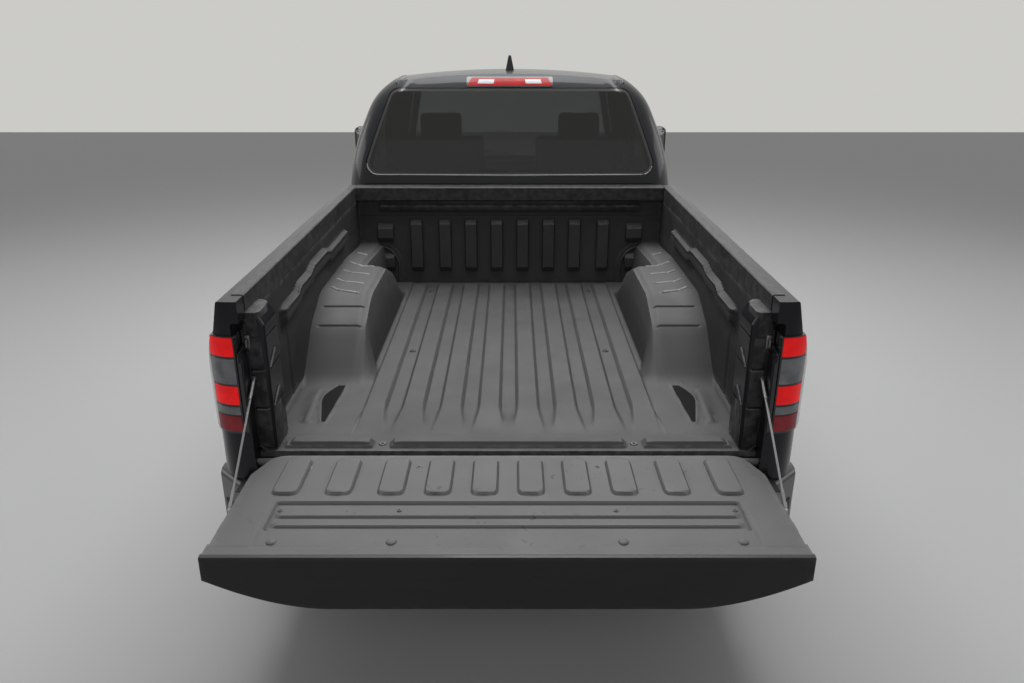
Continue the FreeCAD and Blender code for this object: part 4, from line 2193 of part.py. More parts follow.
def seats_shape():
    """Two front seats with headrests, and a narrow bench behind them."""
    front = at_station(v.SeatFrontStation)
    base = v.CushionHeight
    lean = v.BackLean
    depth = v.CushionDepth
    half = v.SeatWidth / 2
    cushion_end = front - v.CushionLength
    top = base + depth
    soft = v.SeatRound
    place = side_plane(v.SeatSide - half)
    cushion = (
        (front, base + soft),
        (front + soft, top),
        (cushion_end - v.BackDepth / 2, top - soft),
        (cushion_end - v.BackDepth / 2, base - soft),
        (front - soft, base - soft),
    )
    shape = slab(cushion, (soft, soft * 1.5, 0, soft, soft * 0.4), place, X_AXIS * v.SeatWidth)
    back_top = top + v.BackHeight
    back = (
        (cushion_end + soft, top - depth / 2),
        (cushion_end - lean + soft, back_top),
        (cushion_end - lean - v.BackDepth + soft, back_top),
        (cushion_end - v.BackDepth, top - depth),
    )
    shape = shape.fuse(slab(back, (0, soft * 1.4, soft * 1.4, soft), place, X_AXIS * v.SeatWidth))
    rest_low = v.HeadrestTop - v.HeadrestHeight
    middle = cushion_end - lean - v.BackDepth / 2 + soft / 2
    rest = box(
        (v.SeatSide - v.HeadrestWidth / 2, middle - v.HeadrestDepth / 2, rest_low),
        (v.SeatSide + v.HeadrestWidth / 2, middle + v.HeadrestDepth / 2, v.HeadrestTop),
    )
    rest = rest.makeFillet(soft * 0.8, rest.Edges)
    posts = [
        rod(
            Vector(v.SeatSide + side * v.HeadrestWidth / 4, middle, back_top - soft),
            Vector(v.SeatSide + side * v.HeadrestWidth / 4, middle, rest_low + soft),
            v.StayEndRadius,
        )
        for side in (-1, 1)
    ]
    riser = box(
        (v.SeatSide - half * 0.8, cushion_end, v.FloorTop + v.FitGap),
        (v.SeatSide + half * 0.8, front - soft * 2, base - soft / 2),
    )
    shape = shape.fuse([rest, riser] + posts)
    pair = both_sides(shape)
    wall = v.CabBackY + v.RearWallDepth + v.FitGap
    bench = (
        (wall, v.FloorTop + v.FitGap),
        (wall, v.FloorTop + v.BenchHeight),
        (wall + v.BenchDepth, v.FloorTop + v.BenchHeight),
        (wall + v.BenchDepth * 1.2, base + v.BenchDepth),
        (wall + v.BenchDepth * 3, base + v.BenchDepth),
        (wall + v.BenchDepth * 3, v.FloorTop + v.FitGap),
    )
    seat = slab(
        bench, (0, soft, soft, soft, soft, 0), side_plane(-v.BenchHalf), X_AXIS * v.BenchHalf * 2
    )
    return pair.fuse(seat)


def dashboard_shape():
    """The dash across the cabin, with the steering column."""
    front = at_station(v.CowlStation) - v.FitGap
    rear = front - v.DashLength
    drop = (v.DashTop - v.DashBottom)
    points = (
        (front, v.DashBottom + drop / 3),
        (front, v.BeltHeight - v.SkinDepth - v.FitGap),
        (front - v.DashLength * 0.6, v.DashTop - v.FitGap),
        (rear, v.DashTop - drop * 0.14),
        (rear + v.DashLength * 0.1, v.DashBottom + drop * 0.4),
        (rear + v.DashLength * 0.4, v.DashBottom),
    )
    radii = (0, 0, v.SeatRound * 2, v.SeatRound, v.SeatRound, v.SeatRound * 2)
    dash = slab(points, radii, side_plane(-v.DashHalf), X_AXIS * v.DashHalf * 2)
    room = cab_cavity(v.WallDepth + v.FitGap, v.FrameDepth + v.FitGap, v.RoofDepth)
    dash = dash.common(room)
    console = box(
        (-v.TunnelHalf, rear - v.DashLength, v.FloorTop + v.TunnelHeight + v.FitGap),
        (v.TunnelHalf, rear + v.DashLength / 2, v.DashBottom + drop / 4),
    )
    deck = v.FloorTop + v.TunnelHeight + v.FitGap * 2
    soft_edges = [e for e in console.Edges if e.BoundBox.YMin < rear and e.BoundBox.ZMin > deck]
    console = console.makeFillet(v.SeatRound, soft_edges)
    start, end = steering_column_ends()
    column = rod(start, end, v.ColumnRadius)
    return dash.fuse([console, column])


def steering_direction():
    tilt = math.radians(v.SteeringTilt)
    return Vector(0, math.cos(tilt), -math.sin(tilt))


def steering_column_ends():
    hub = Vector(-v.SteeringSide, at_station(v.SteeringStation), v.SteeringHeight)
    along_column = steering_direction()
    return hub + along_column * v.ColumnLength * 1.4, hub + along_column * v.ColumnRadius * 1.5


def steering_wheel_shape():
    """A rim, a hub and three spokes, on a shaft that enters the column."""
    reach, grip, hub_radius = v.SteeringRadius, v.SteeringGrip, v.ColumnRadius
    half = grip * 0.9
    deep = grip * 0.3
    rim = Part.makeTorus(reach, grip, ORIGIN, Z_AXIS)
    rim.rotate(ORIGIN, Z_AXIS, 45)
    pad = rod(Z_AXIS * -grip, Z_AXIS * grip * 0.8, reach * 0.42)
    boss = rod(ORIGIN, Z_AXIS * hub_radius, hub_radius * 1.6)
    shaft = rod(ORIGIN, Z_AXIS * (hub_radius * 1.5 - v.FitGap), hub_radius / 2)
    across = box((-reach, -half, -deep), (reach, half, deep))
    down = box((-half, 0, -deep), (half, reach, deep))
    shape = rim.fuse([pad, boss, shaft, across, down])
    hub = Vector(-v.SteeringSide, at_station(v.SteeringStation), v.SteeringHeight)
    shape.Placement = FreeCAD.Placement(hub, FreeCAD.Rotation(X_AXIS, -90 - v.SteeringTilt))
    return shape


# Small outside pieces


def mirror_shape():
    """The right door mirror: a rounded head on a short arm that meets the door skin."""
    y = at_station(v.MirrorStation)
    deep = v.MirrorDepth / 2
    low, high = v.MirrorBottom, v.MirrorBottom + v.MirrorHeight
    head = box((v.MirrorInner, y - deep, low), (v.MirrorInner + v.MirrorWidth, y + deep, high))
    head = head.makeFillet(v.MirrorRound, head.Edges)
    foot = v.BeltHeight - v.WindowRail
    points = (
        (v.BedHalf, foot),
        (v.BedHalf, foot + v.WindowRail),
        (v.MirrorInner + v.MirrorRound, low + v.WindowRail * 1.4),
        (v.MirrorInner + v.MirrorWidth * 0.55, low + v.WindowRail),
        (v.MirrorInner + v.MirrorWidth * 0.3, low - v.MirrorRound / 2),
    )
    arm = slab(points, (0, 0, 0, v.RailRound, v.MirrorRound), front_plane(y - deep / 2), Y_AXIS * deep)
    shape = head.fuse(arm)
    return shape.cut(cab_outer(-v.FitGap, -v.FitGap))


def stop_lamp_layer(gap):
    """The high stop lamp's form: a layer of the cab's rear header."""
    low = v.StopLampBottom - gap
    high = low + v.StopLampHeight + gap * 2
    zone = box(
        (-v.StopLampHalf - gap, v.CabBackY - v.Overrun, low),
        (v.StopLampHalf + gap, v.CabBackY + v.RearGlassRun * 2, high),
    )
    zone = zone.makeFillet(v.RailRound, [e for e in zone.Edges if along(e, Y_AXIS)])
    depth = v.StopLampDepth + gap
    proud = v.GlassInset + gap
    return greenhouse(-proud, -proud).cut(greenhouse(depth, depth)).common(zone)


def antenna_shape():
    """A low fin on the roof, its foot on the roof's skin."""
    y = at_station(v.AntennaStation)
    low = v.RoofHeight - v.RoofDepth
    high = v.RoofHeight + v.AntennaHeight
    points = (
        (y + v.AntennaLength * 0.6, low),
        (y + v.AntennaLength * 0.6, v.RoofHeight),
        (y - v.AntennaLength * 0.12, high),
        (y - v.AntennaLength * 0.34, high),
        (y - v.AntennaLength * 0.4, low),
    )
    radii = (0, v.SeatRound, v.SeatRound * 1.4, v.RailRound, 0)
    half = v.AntennaWidth / 2
    fin = slab(points, radii, side_plane(-half), X_AXIS * v.AntennaWidth)
    wedge = (
        (-half, low),
        (-half, v.RoofHeight),
        (-half * 0.28, high),
        (half * 0.28, high),
        (half, v.RoofHeight),
        (half, low),
    )
    taper = slab(
        wedge, (0, v.SeatRound * 2, v.StayRadius, v.StayRadius, v.SeatRound * 2, 0),
        front_plane(y - v.AntennaLength), Y_AXIS * v.AntennaLength * 2
    )
    return fin.common(taper).cut(greenhouse(-v.FitGap, -v.FitGap))


# Everything


def build_all():
    build_cab()
    build_front()
    build_bed()
    build_bed_floor()
    build_bulkhead()
    build_tailgate()
    keep("gate_stays", stays())
    build_rear_bumper()
    build_frame()
    build_tank()
    build_engine()
    keep("driveline", driveline_shape())
    build_rear_axle()
    keep("leaf_springs", leaf_springs_shape())
    keep("front_suspension", front_suspension_shape())
    keep("exhaust", exhaust_shape())
    keep("spare_wheel", spare_wheel_shape())
    build_wheels()
    knuckle = knuckle_shape()
    keep("knuckle_right", knuckle)
    keep("knuckle_left", mirrored(knuckle))
    keep("seats", seats_shape())
    keep("dashboard", dashboard_shape())
    keep("steering_wheel", steering_wheel_shape())
    mirror = mirror_shape()
    keep("mirror_right", mirror)
    keep("mirror_left", mirrored(mirror))
    keep("stop_lamp", stop_lamp_layer(0))
    keep("antenna", antenna_shape())


def write_all():
    doc.recompute()
    parts = []
    for item in doc.Objects:
        if "Invalid" in item.State or "Error" in item.State:
            raise RuntimeError(f"{item.Name} ({item.Label}) failed: {item.State}")
        if item.TypeId in ("PartDesign::Body", "Part::Feature"):
            shape = item.Shape
            if shape.isNull() or not shape.isValid() or not shape.Solids:
                raise RuntimeError(f"{item.Label} has no sound shape")
            parts.append(item)
    os.makedirs("parts", exist_ok=True)
    for item in parts:
        item.Shape.exportStep(f"parts/{item.Label}.step")
        print(item.Label, len(item.Shape.Solids), round(item.Shape.Volume))


build_all()
write_all()
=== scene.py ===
"""Looks of the pickup truck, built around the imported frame."""

from __future__ import annotations

import json
import logging
import math
import sys
from dataclasses import dataclass, field, replace
from enum import Enum
from typing import Callable, Iterable, Sequence

import bmesh
import bpy
from mathutils import Matrix, Vector
from mathutils.bvhtree import BVHTree

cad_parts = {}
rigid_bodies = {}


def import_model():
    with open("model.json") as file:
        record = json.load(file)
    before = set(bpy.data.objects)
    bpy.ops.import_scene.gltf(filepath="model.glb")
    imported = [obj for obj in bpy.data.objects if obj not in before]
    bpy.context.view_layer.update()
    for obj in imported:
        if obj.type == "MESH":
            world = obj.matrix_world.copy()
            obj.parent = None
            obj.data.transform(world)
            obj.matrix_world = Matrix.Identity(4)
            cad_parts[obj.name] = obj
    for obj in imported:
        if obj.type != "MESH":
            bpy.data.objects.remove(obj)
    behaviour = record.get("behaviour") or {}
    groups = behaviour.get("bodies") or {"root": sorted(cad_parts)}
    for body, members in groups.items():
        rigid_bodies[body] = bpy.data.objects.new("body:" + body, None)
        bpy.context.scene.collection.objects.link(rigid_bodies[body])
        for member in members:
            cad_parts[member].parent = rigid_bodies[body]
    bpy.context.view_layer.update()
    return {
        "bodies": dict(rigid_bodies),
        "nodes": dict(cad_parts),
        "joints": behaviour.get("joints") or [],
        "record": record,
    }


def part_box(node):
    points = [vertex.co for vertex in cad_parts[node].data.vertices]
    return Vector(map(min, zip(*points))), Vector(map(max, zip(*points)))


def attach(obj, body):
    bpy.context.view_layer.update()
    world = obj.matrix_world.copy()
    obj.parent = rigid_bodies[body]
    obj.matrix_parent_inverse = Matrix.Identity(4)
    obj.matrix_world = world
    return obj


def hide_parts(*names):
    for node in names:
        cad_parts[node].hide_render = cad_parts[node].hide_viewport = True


LOG = logging.getLogger("pickup")
Colour = tuple[float, float, float]
Point = tuple[float, float, float]
Flat = tuple[float, float]
Ray = tuple[Point, Point]
Piece = bpy.types.Object
Tree = bpy.types.NodeTree
Node = bpy.types.Node
Socket = bpy.types.NodeSocket

RIGHTWARD: Point = (1.0, 0.0, 0.0)
FORWARD: Point = (0.0, 1.0, 0.0)
BACKWARD: Point = (0.0, -1.0, 0.0)
UP: Point = (0.0, 0.0, 1.0)
DOWN: Point = (0.0, 0.0, -1.0)
# Where rays start: outside the truck on any side, and ahead of its front
FAR = 3.0
AHEAD = 4.0


class Side(Enum):
    """The two sides of the truck, as the sign of X."""

    LEFT = -1
    RIGHT = 1

    @property
    def word(self) -> str:
        """The side's name, as the CAD nodes spell it."""
        return self.name.lower()

    @property
    def inward(self) -> Point:
        """The way from this side to the truck's middle."""
        return (-float(self.value), 0.0, 0.0)


class Gloss(Enum):
    """How a surface returns light: metallic, clear coat, coat roughness, specular level."""

    PAINT = (0.55, 0.36, 0.03, 0.3)
    LINER = (0.0, 0.0, 0.1, 0.25)
    PLASTIC = (0.0, 0.0, 0.1, 0.32)
    # Low specular for flat patches of painted shade that stand in for holes
    HOLE = (0.0, 0.0, 0.1, 0.04)
    PIANO = (0.0, 0.8, 0.03, 0.5)
    METAL = (1.0, 0.0, 0.1, 0.5)
    CLOTH = (0.0, 0.0, 0.1, 0.25)
    LENS = (0.0, 0.6, 0.02, 0.6)
    RED_LENS = (0.0, 0.12, 0.03, 0.25)
    GLASS = (0.0, 0.0, 0.02, 0.22)
    RUBBER = (0.0, 0.0, 0.1, 0.35)


@dataclass(frozen=True)
class Finish:
    """One finish: its two colours, its roughness, and the relief and wear of its surface."""

    name: str
    slot: str
    colour: Colour
    second: Colour
    roughness: float
    gloss: Gloss
    drift: float = 3.0
    grain: float = 900.0
    relief: float = 0.0
    relief_height: float = 0.0004
    specks: float = 0.0
    speck_scale: float = 60.0
    wear: float = 0.0
    dust: float = 0.0
    # How much painted shade darkens the concave places
    grime: float = 0.0
    transmission: float = 0.0
    glow: float = 0.0
    glow_colour: Colour = (1.0, 0.01, 0.01)


PAINT = Finish(
    "gunmetal_paint", "paint", (0.008, 0.009, 0.011), (0.011, 0.012, 0.0145), 0.3, Gloss.PAINT,
    grain=2600.0, relief=0.05, relief_height=0.0001,
)
# The floor liner; its recess mask lays painted shade in channels and corners
LINER = Finish(
    "sprayed_bed_liner", "bed_liner", (0.04, 0.0393, 0.0405), (0.045, 0.0442, 0.0455), 0.62, Gloss.LINER,
    drift=5.0, grain=420.0, relief=0.55, relief_height=0.0009, specks=0.6, speck_scale=26.0,
    wear=0.35, dust=0.05, grime=0.75,
)
# Darker copies of the liner for upright faces: painted shade for the bulkhead, and deeper painted shade for
# the side walls and pillar blocks
SHADED_WALL_LINER = replace(
    LINER, name="wall_bed_liner", colour=(0.031, 0.031, 0.0315), second=(0.038, 0.0378, 0.0385), specks=0.1
)
DEEP_SHADED_SIDE_LINER = replace(
    SHADED_WALL_LINER, name="side_bed_liner", colour=(0.014, 0.014, 0.0142), second=(0.019, 0.0188, 0.019)
)
# A lighter copy of the liner for the tailgate: painted light for its face turned up to the overhead light
LIT_GATE_LINER = replace(
    LINER, name="gate_bed_liner", colour=(0.076, 0.0745, 0.0765), second=(0.084, 0.0825, 0.0845)
)
# A light copy of the liner for the wheelhouse beads: painted highlight for the light caught by their raised
# tops
BEAD_HIGHLIGHT_LINER = replace(
    LINER, name="rubbed_liner", colour=(0.16, 0.159, 0.16), second=(0.12, 0.119, 0.12), specks=0.0, grime=0.0
)
# A near-black sheet for the tie-down pockets: painted shade in place of the pockets' depth
POCKET_SHADE = replace(
    LINER, name="deep_pocket", gloss=Gloss.HOLE, colour=(0.004, 0.004, 0.004), second=(0.006, 0.006, 0.006),
    specks=0.0, wear=0.0, dust=0.0, grime=0.0,
)
CAP_PLASTIC = Finish(
    "grained_cap", "trim", (0.012, 0.012, 0.0125), (0.015, 0.015, 0.0155), 0.5, Gloss.PLASTIC,
    grain=1500.0, relief=0.3, wear=0.12,
)
BLACK_TRIM = Finish(
    "black_trim", "trim", (0.013, 0.013, 0.014), (0.02, 0.02, 0.021), 0.55, Gloss.PLASTIC,
    grain=1400.0, relief=0.25, dust=0.1,
)
PIANO_BLACK = Finish("piano_black", "trim", (0.006, 0.006, 0.007), (0.008, 0.008, 0.009), 0.2, Gloss.PIANO)
BUMPER = Finish(
    "bumper_grey", "bumper", (0.052, 0.053, 0.057), (0.058, 0.059, 0.063), 0.38, Gloss.PAINT,
    grain=2200.0, relief=0.06, relief_height=0.0001, dust=0.15,
)
RED_LENS = Finish(
    "red_lens", "red_lamp", (0.42, 0.002, 0.004), (0.16, 0.001, 0.002), 0.16, Gloss.RED_LENS,
    drift=22.0, grain=300.0, relief=0.25, glow=0.4,
)
DIM_RED_LENS = replace(
    RED_LENS, name="dim_red_lens", colour=(0.17, 0.022, 0.03), second=(0.12, 0.015, 0.02), glow=0.04
)
STOP_LENS = replace(
    RED_LENS, name="stop_red_lens", colour=(0.2, 0.001, 0.002), second=(0.1, 0.0005, 0.001), glow=0.22
)
CLEAR_LENS = Finish(
    "clear_lens", "clear_lamp", (0.5, 0.51, 0.53), (0.32, 0.33, 0.35), 0.16, Gloss.LENS,
    grain=260.0, relief=0.35, relief_height=0.0006,
)
SMOKE_LENS = replace(
    CLEAR_LENS, name="smoke_lens", colour=(0.17, 0.175, 0.18), second=(0.075, 0.078, 0.083), drift=16.0
)
REFLECTOR = Finish("lamp_bowl", "clear_lamp", (0.75, 0.76, 0.78), (0.6, 0.61, 0.63), 0.12, Gloss.METAL)
TINTED_GLASS = Finish(
    "tinted_glass", "glass", (0.06, 0.068, 0.064), (0.055, 0.063, 0.059), 0.0, Gloss.GLASS, transmission=1.0,
)
CLEAR_GLASS = replace(TINTED_GLASS, name="screen_glass", colour=(0.72, 0.78, 0.76), second=(0.7, 0.76, 0.74))
STEEL = Finish(
    "bare_steel", "bare_metal", (0.3, 0.3, 0.31), (0.2, 0.2, 0.21), 0.38, Gloss.METAL,
    grain=700.0, relief=0.15, dust=0.15,
)
DARK_STEEL = replace(
    STEEL, name="dark_bolt_steel", colour=(0.09, 0.09, 0.095), second=(0.06, 0.06, 0.065), roughness=0.45
)
CHASSIS = Finish(
    "chassis_paint", "chassis_black", (0.012, 0.012, 0.012), (0.022, 0.021, 0.02), 0.5, Gloss.PLASTIC,
    grain=600.0, relief=0.3, wear=0.2, dust=0.35,
)
ALLOY = Finish(
    "wheel_alloy", "alloy", (0.35, 0.355, 0.37), (0.28, 0.285, 0.3), 0.28, Gloss.METAL,
    grain=1800.0, relief=0.08, dust=0.1,
)
TYRE_RUBBER = Finish(
    "tyre_rubber", "tyre", (0.014, 0.014, 0.014), (0.021, 0.021, 0.02), 0.72, Gloss.RUBBER,
    grain=800.0, relief=0.35, dust=0.3,
)
SEAT_CLOTH = Finish(
    "seat_cloth", "seat_cloth", (0.022, 0.022, 0.024), (0.035, 0.035, 0.038), 0.9, Gloss.CLOTH,
    grain=1400.0, relief=0.8,
)
MIRROR_GLASS = Finish("mirror_glass", "glass", (0.35, 0.37, 0.38), (0.35, 0.37, 0.38), 0.02, Gloss.METAL)


class NodeGroups:
    """The shader groups that several finishes share, each built once."""

    def __init__(self) -> None:
        """Builds the groups."""
        self.drift = self._colour_drift()
        self.grain = self._surface_grain()
        self.specks = self._specks()
        self.wear = self._edge_wear()
        self.dust = self._dust()
        self.grime = self._recess_grime()

    @staticmethod
    def _start(name: str, inputs: dict[str, tuple[str, object]], outputs: dict[str, str]) -> Tree:
        """Makes an empty group with its sockets.

        Args:
            name: The group's name.
            inputs: Socket names, each with its type and default value.
            outputs: Socket names, each with its type.

        Returns:
            The group, with its input and output nodes placed.
        """
        group = bpy.data.node_groups.new(name, "ShaderNodeTree")
        for label, (kind, value) in inputs.items():
            socket = group.interface.new_socket(name=label, in_out="INPUT", socket_type=kind)
            if value is not None:
                socket.default_value = value
        for label, kind in outputs.items():
            group.interface.new_socket(name=label, in_out="OUTPUT", socket_type=kind)
        group.nodes.new("NodeGroupInput").name = "In"
        group.nodes.new("NodeGroupOutput").name = "Out"
        return group

    @staticmethod
    def _noise(group: Tree, scale: object, detail: float, shift: float = 0.0) -> Node:
        """Adds a noise texture in object space.

        Args:
            group: The node tree it goes into.
            scale: A socket that drives the scale, or a number.
            detail: The noise's detail.
            shift: The distortion.

        Returns:
            The noise node.
        """
        coords = group.nodes.new("ShaderNodeTexCoord")
        noise = group.nodes.new("ShaderNodeTexNoise")
        noise.inputs["Detail"].default_value = detail
        noise.inputs["Distortion"].default_value = shift
        group.links.new(coords.outputs["Object"], noise.inputs["Vector"])
        if isinstance(scale, Socket):
            group.links.new(scale, noise.inputs["Scale"])
        else:
            noise.inputs["Scale"].default_value = scale
        return noise

    @staticmethod
    def _ramp(group: Tree, source: Socket, low: float, high: float) -> Node:
        """Stretches a value between two limits to run from 0 to 1.

        Args:
            group: The node tree it goes into.
            source: The value.
            low: What becomes 0.
            high: What becomes 1.

        Returns:
            The map range node.
        """
        ramp = group.nodes.new("ShaderNodeMapRange")
        ramp.inputs["From Min"].default_value = low
        ramp.inputs["From Max"].default_value = high
        group.links.new(source, ramp.inputs["Value"])
        return ramp

    @staticmethod
    def _times(group: Tree, a: Socket, b: Socket) -> Node:
        """Multiplies two values.

        Args:
            group: The node tree it goes into.
            a: The first value.
            b: The second value.

        Returns:
            The math node.
        """
        product = group.nodes.new("ShaderNodeMath")
        product.operation = "MULTIPLY"
        group.links.new(a, product.inputs[0])
        group.links.new(b, product.inputs[1])
        return product

    def _put_out(self, group: Tree, mask: Socket) -> Tree:
        """Multiplies a mask by the group's Amount and puts it out.

        Args:
            group: The group.
            mask: The mask.

        Returns:
            The group.
        """
        amount = self._times(group, mask, group.nodes["In"].outputs["Amount"])
        group.links.new(amount.outputs["Value"], group.nodes["Out"].inputs["Mask"])
        return group

    def _colour_drift(self) -> Tree:
        """Two colours that wander into each other.

        Returns:
            The group, with outputs Colour and Mask.
        """
        group = self._start(
            "Colour drift",
            {
                "First": ("NodeSocketColor", None),
                "Second": ("NodeSocketColor", None),
                "Scale": ("NodeSocketFloat", 3.0),
            },
            {"Colour": "NodeSocketColor", "Mask": "NodeSocketFloat"},
        )
        inside, out = group.nodes["In"], group.nodes["Out"]
        noise = self._noise(group, inside.outputs["Scale"], 6.0, 0.3)
        ramp = self._ramp(group, noise.outputs["Fac"], 0.35, 0.65)
        mix = group.nodes.new("ShaderNodeMix")
        mix.data_type = "RGBA"
        group.links.new(ramp.outputs["Result"], mix.inputs["Factor"])
        group.links.new(inside.outputs["First"], mix.inputs["A"])
        group.links.new(inside.outputs["Second"], mix.inputs["B"])
        group.links.new(mix.outputs["Result"], out.inputs["Colour"])
        group.links.new(ramp.outputs["Result"], out.inputs["Mask"])
        return group

    def _surface_grain(self) -> Tree:
        """Pebbled grain as a bumped normal.

        Returns:
            The group, with outputs Normal and Mask.
        """
        group = self._start(
            "Surface grain",
            {
                "Scale": ("NodeSocketFloat", 900.0),
                "Strength": ("NodeSocketFloat", 0.3),
                "Height": ("NodeSocketFloat", 0.0004),
            },
            {"Normal": "NodeSocketVector", "Mask": "NodeSocketFloat"},
        )
        inside, out = group.nodes["In"], group.nodes["Out"]
        noise = self._noise(group, inside.outputs["Scale"], 2.0)
        coords = group.nodes.new("ShaderNodeTexCoord")
        cells = group.nodes.new("ShaderNodeTexVoronoi")
        group.links.new(coords.outputs["Object"], cells.inputs["Vector"])
        group.links.new(inside.outputs["Scale"], cells.inputs["Scale"])
        product = self._times(group, noise.outputs["Fac"], cells.outputs["Distance"])
        bump = group.nodes.new("ShaderNodeBump")
        group.links.new(product.outputs["Value"], bump.inputs["Height"])
        group.links.new(inside.outputs["Strength"], bump.inputs["Strength"])
        group.links.new(inside.outputs["Height"], bump.inputs["Distance"])
        group.links.new(bump.outputs["Normal"], out.inputs["Normal"])
        group.links.new(product.outputs["Value"], out.inputs["Mask"])
        return group

    def _specks(self) -> Tree:
        """Sparse dark marks of uneven size, such as scuffs on a load floor.

        Returns:
            The group, with output Mask.
        """
        group = self._start(
            "Specks",
            {"Scale": ("NodeSocketFloat", 60.0), "Amount": ("NodeSocketFloat", 0.5)},
            {"Mask": "NodeSocketFloat"},
        )
        fine = self._noise(group, group.nodes["In"].outputs["Scale"], 4.0, 1.2)
        broad = self._noise(group, 2.3, 3.0)
        sparse = self._ramp(group, fine.outputs["Fac"], 0.66, 0.72)
        patch = self._ramp(group, broad.outputs["Fac"], 0.45, 0.62)
        marks = self._times(group, sparse.outputs["Result"], patch.outputs["Result"])
        return self._put_out(group, marks.outputs["Value"])

    def _edge_wear(self) -> Tree:
        """Rubbed edges, from how sharply the surface turns.

        Returns:
            The group, with output Mask.
        """
        group = self._start("Edge wear", {"Amount": ("NodeSocketFloat", 0.3)}, {"Mask": "NodeSocketFloat"})
        geometry = group.nodes.new("ShaderNodeNewGeometry")
        edge = self._ramp(group, geometry.outputs["Pointiness"], 0.52, 0.6)
        noise = self._noise(group, 34.0, 5.0)
        patchy = self._ramp(group, noise.outputs["Fac"], 0.4, 0.62)
        rubbed = self._times(group, edge.outputs["Result"], patchy.outputs["Result"])
        return self._put_out(group, rubbed.outputs["Value"])

    def _recess_grime(self) -> Tree:
        """Painted shade where the surface turns inward: a mask that darkens concave places as if shade fell
        there.

        Returns:
            The group, with output Mask.
        """
        group = self._start("Recess grime", {"Amount": ("NodeSocketFloat", 0.5)}, {"Mask": "NodeSocketFloat"})
        geometry = group.nodes.new("ShaderNodeNewGeometry")
        recess = self._ramp(group, geometry.outputs["Pointiness"], 0.495, 0.455)
        return self._put_out(group, recess.outputs["Result"])

    def _dust(self) -> Tree:
        """Dust that lies on what faces up.

        Returns:
            The group, with output Mask.
        """
        group = self._start("Dust", {"Amount": ("NodeSocketFloat", 0.3)}, {"Mask": "NodeSocketFloat"})
        geometry = group.nodes.new("ShaderNodeNewGeometry")
        split = group.nodes.new("ShaderNodeSeparateXYZ")
        group.links.new(geometry.outputs["Normal"], split.inputs["Vector"])
        upward = self._ramp(group, split.outputs["Z"], 0.3, 1.0)
        noise = self._noise(group, 9.0, 8.0)
        patchy = self._ramp(group, noise.outputs["Fac"], 0.4, 0.75)
        lies = self._times(group, upward.outputs["Result"], patchy.outputs["Result"])
        return self._put_out(group, lies.outputs["Value"])


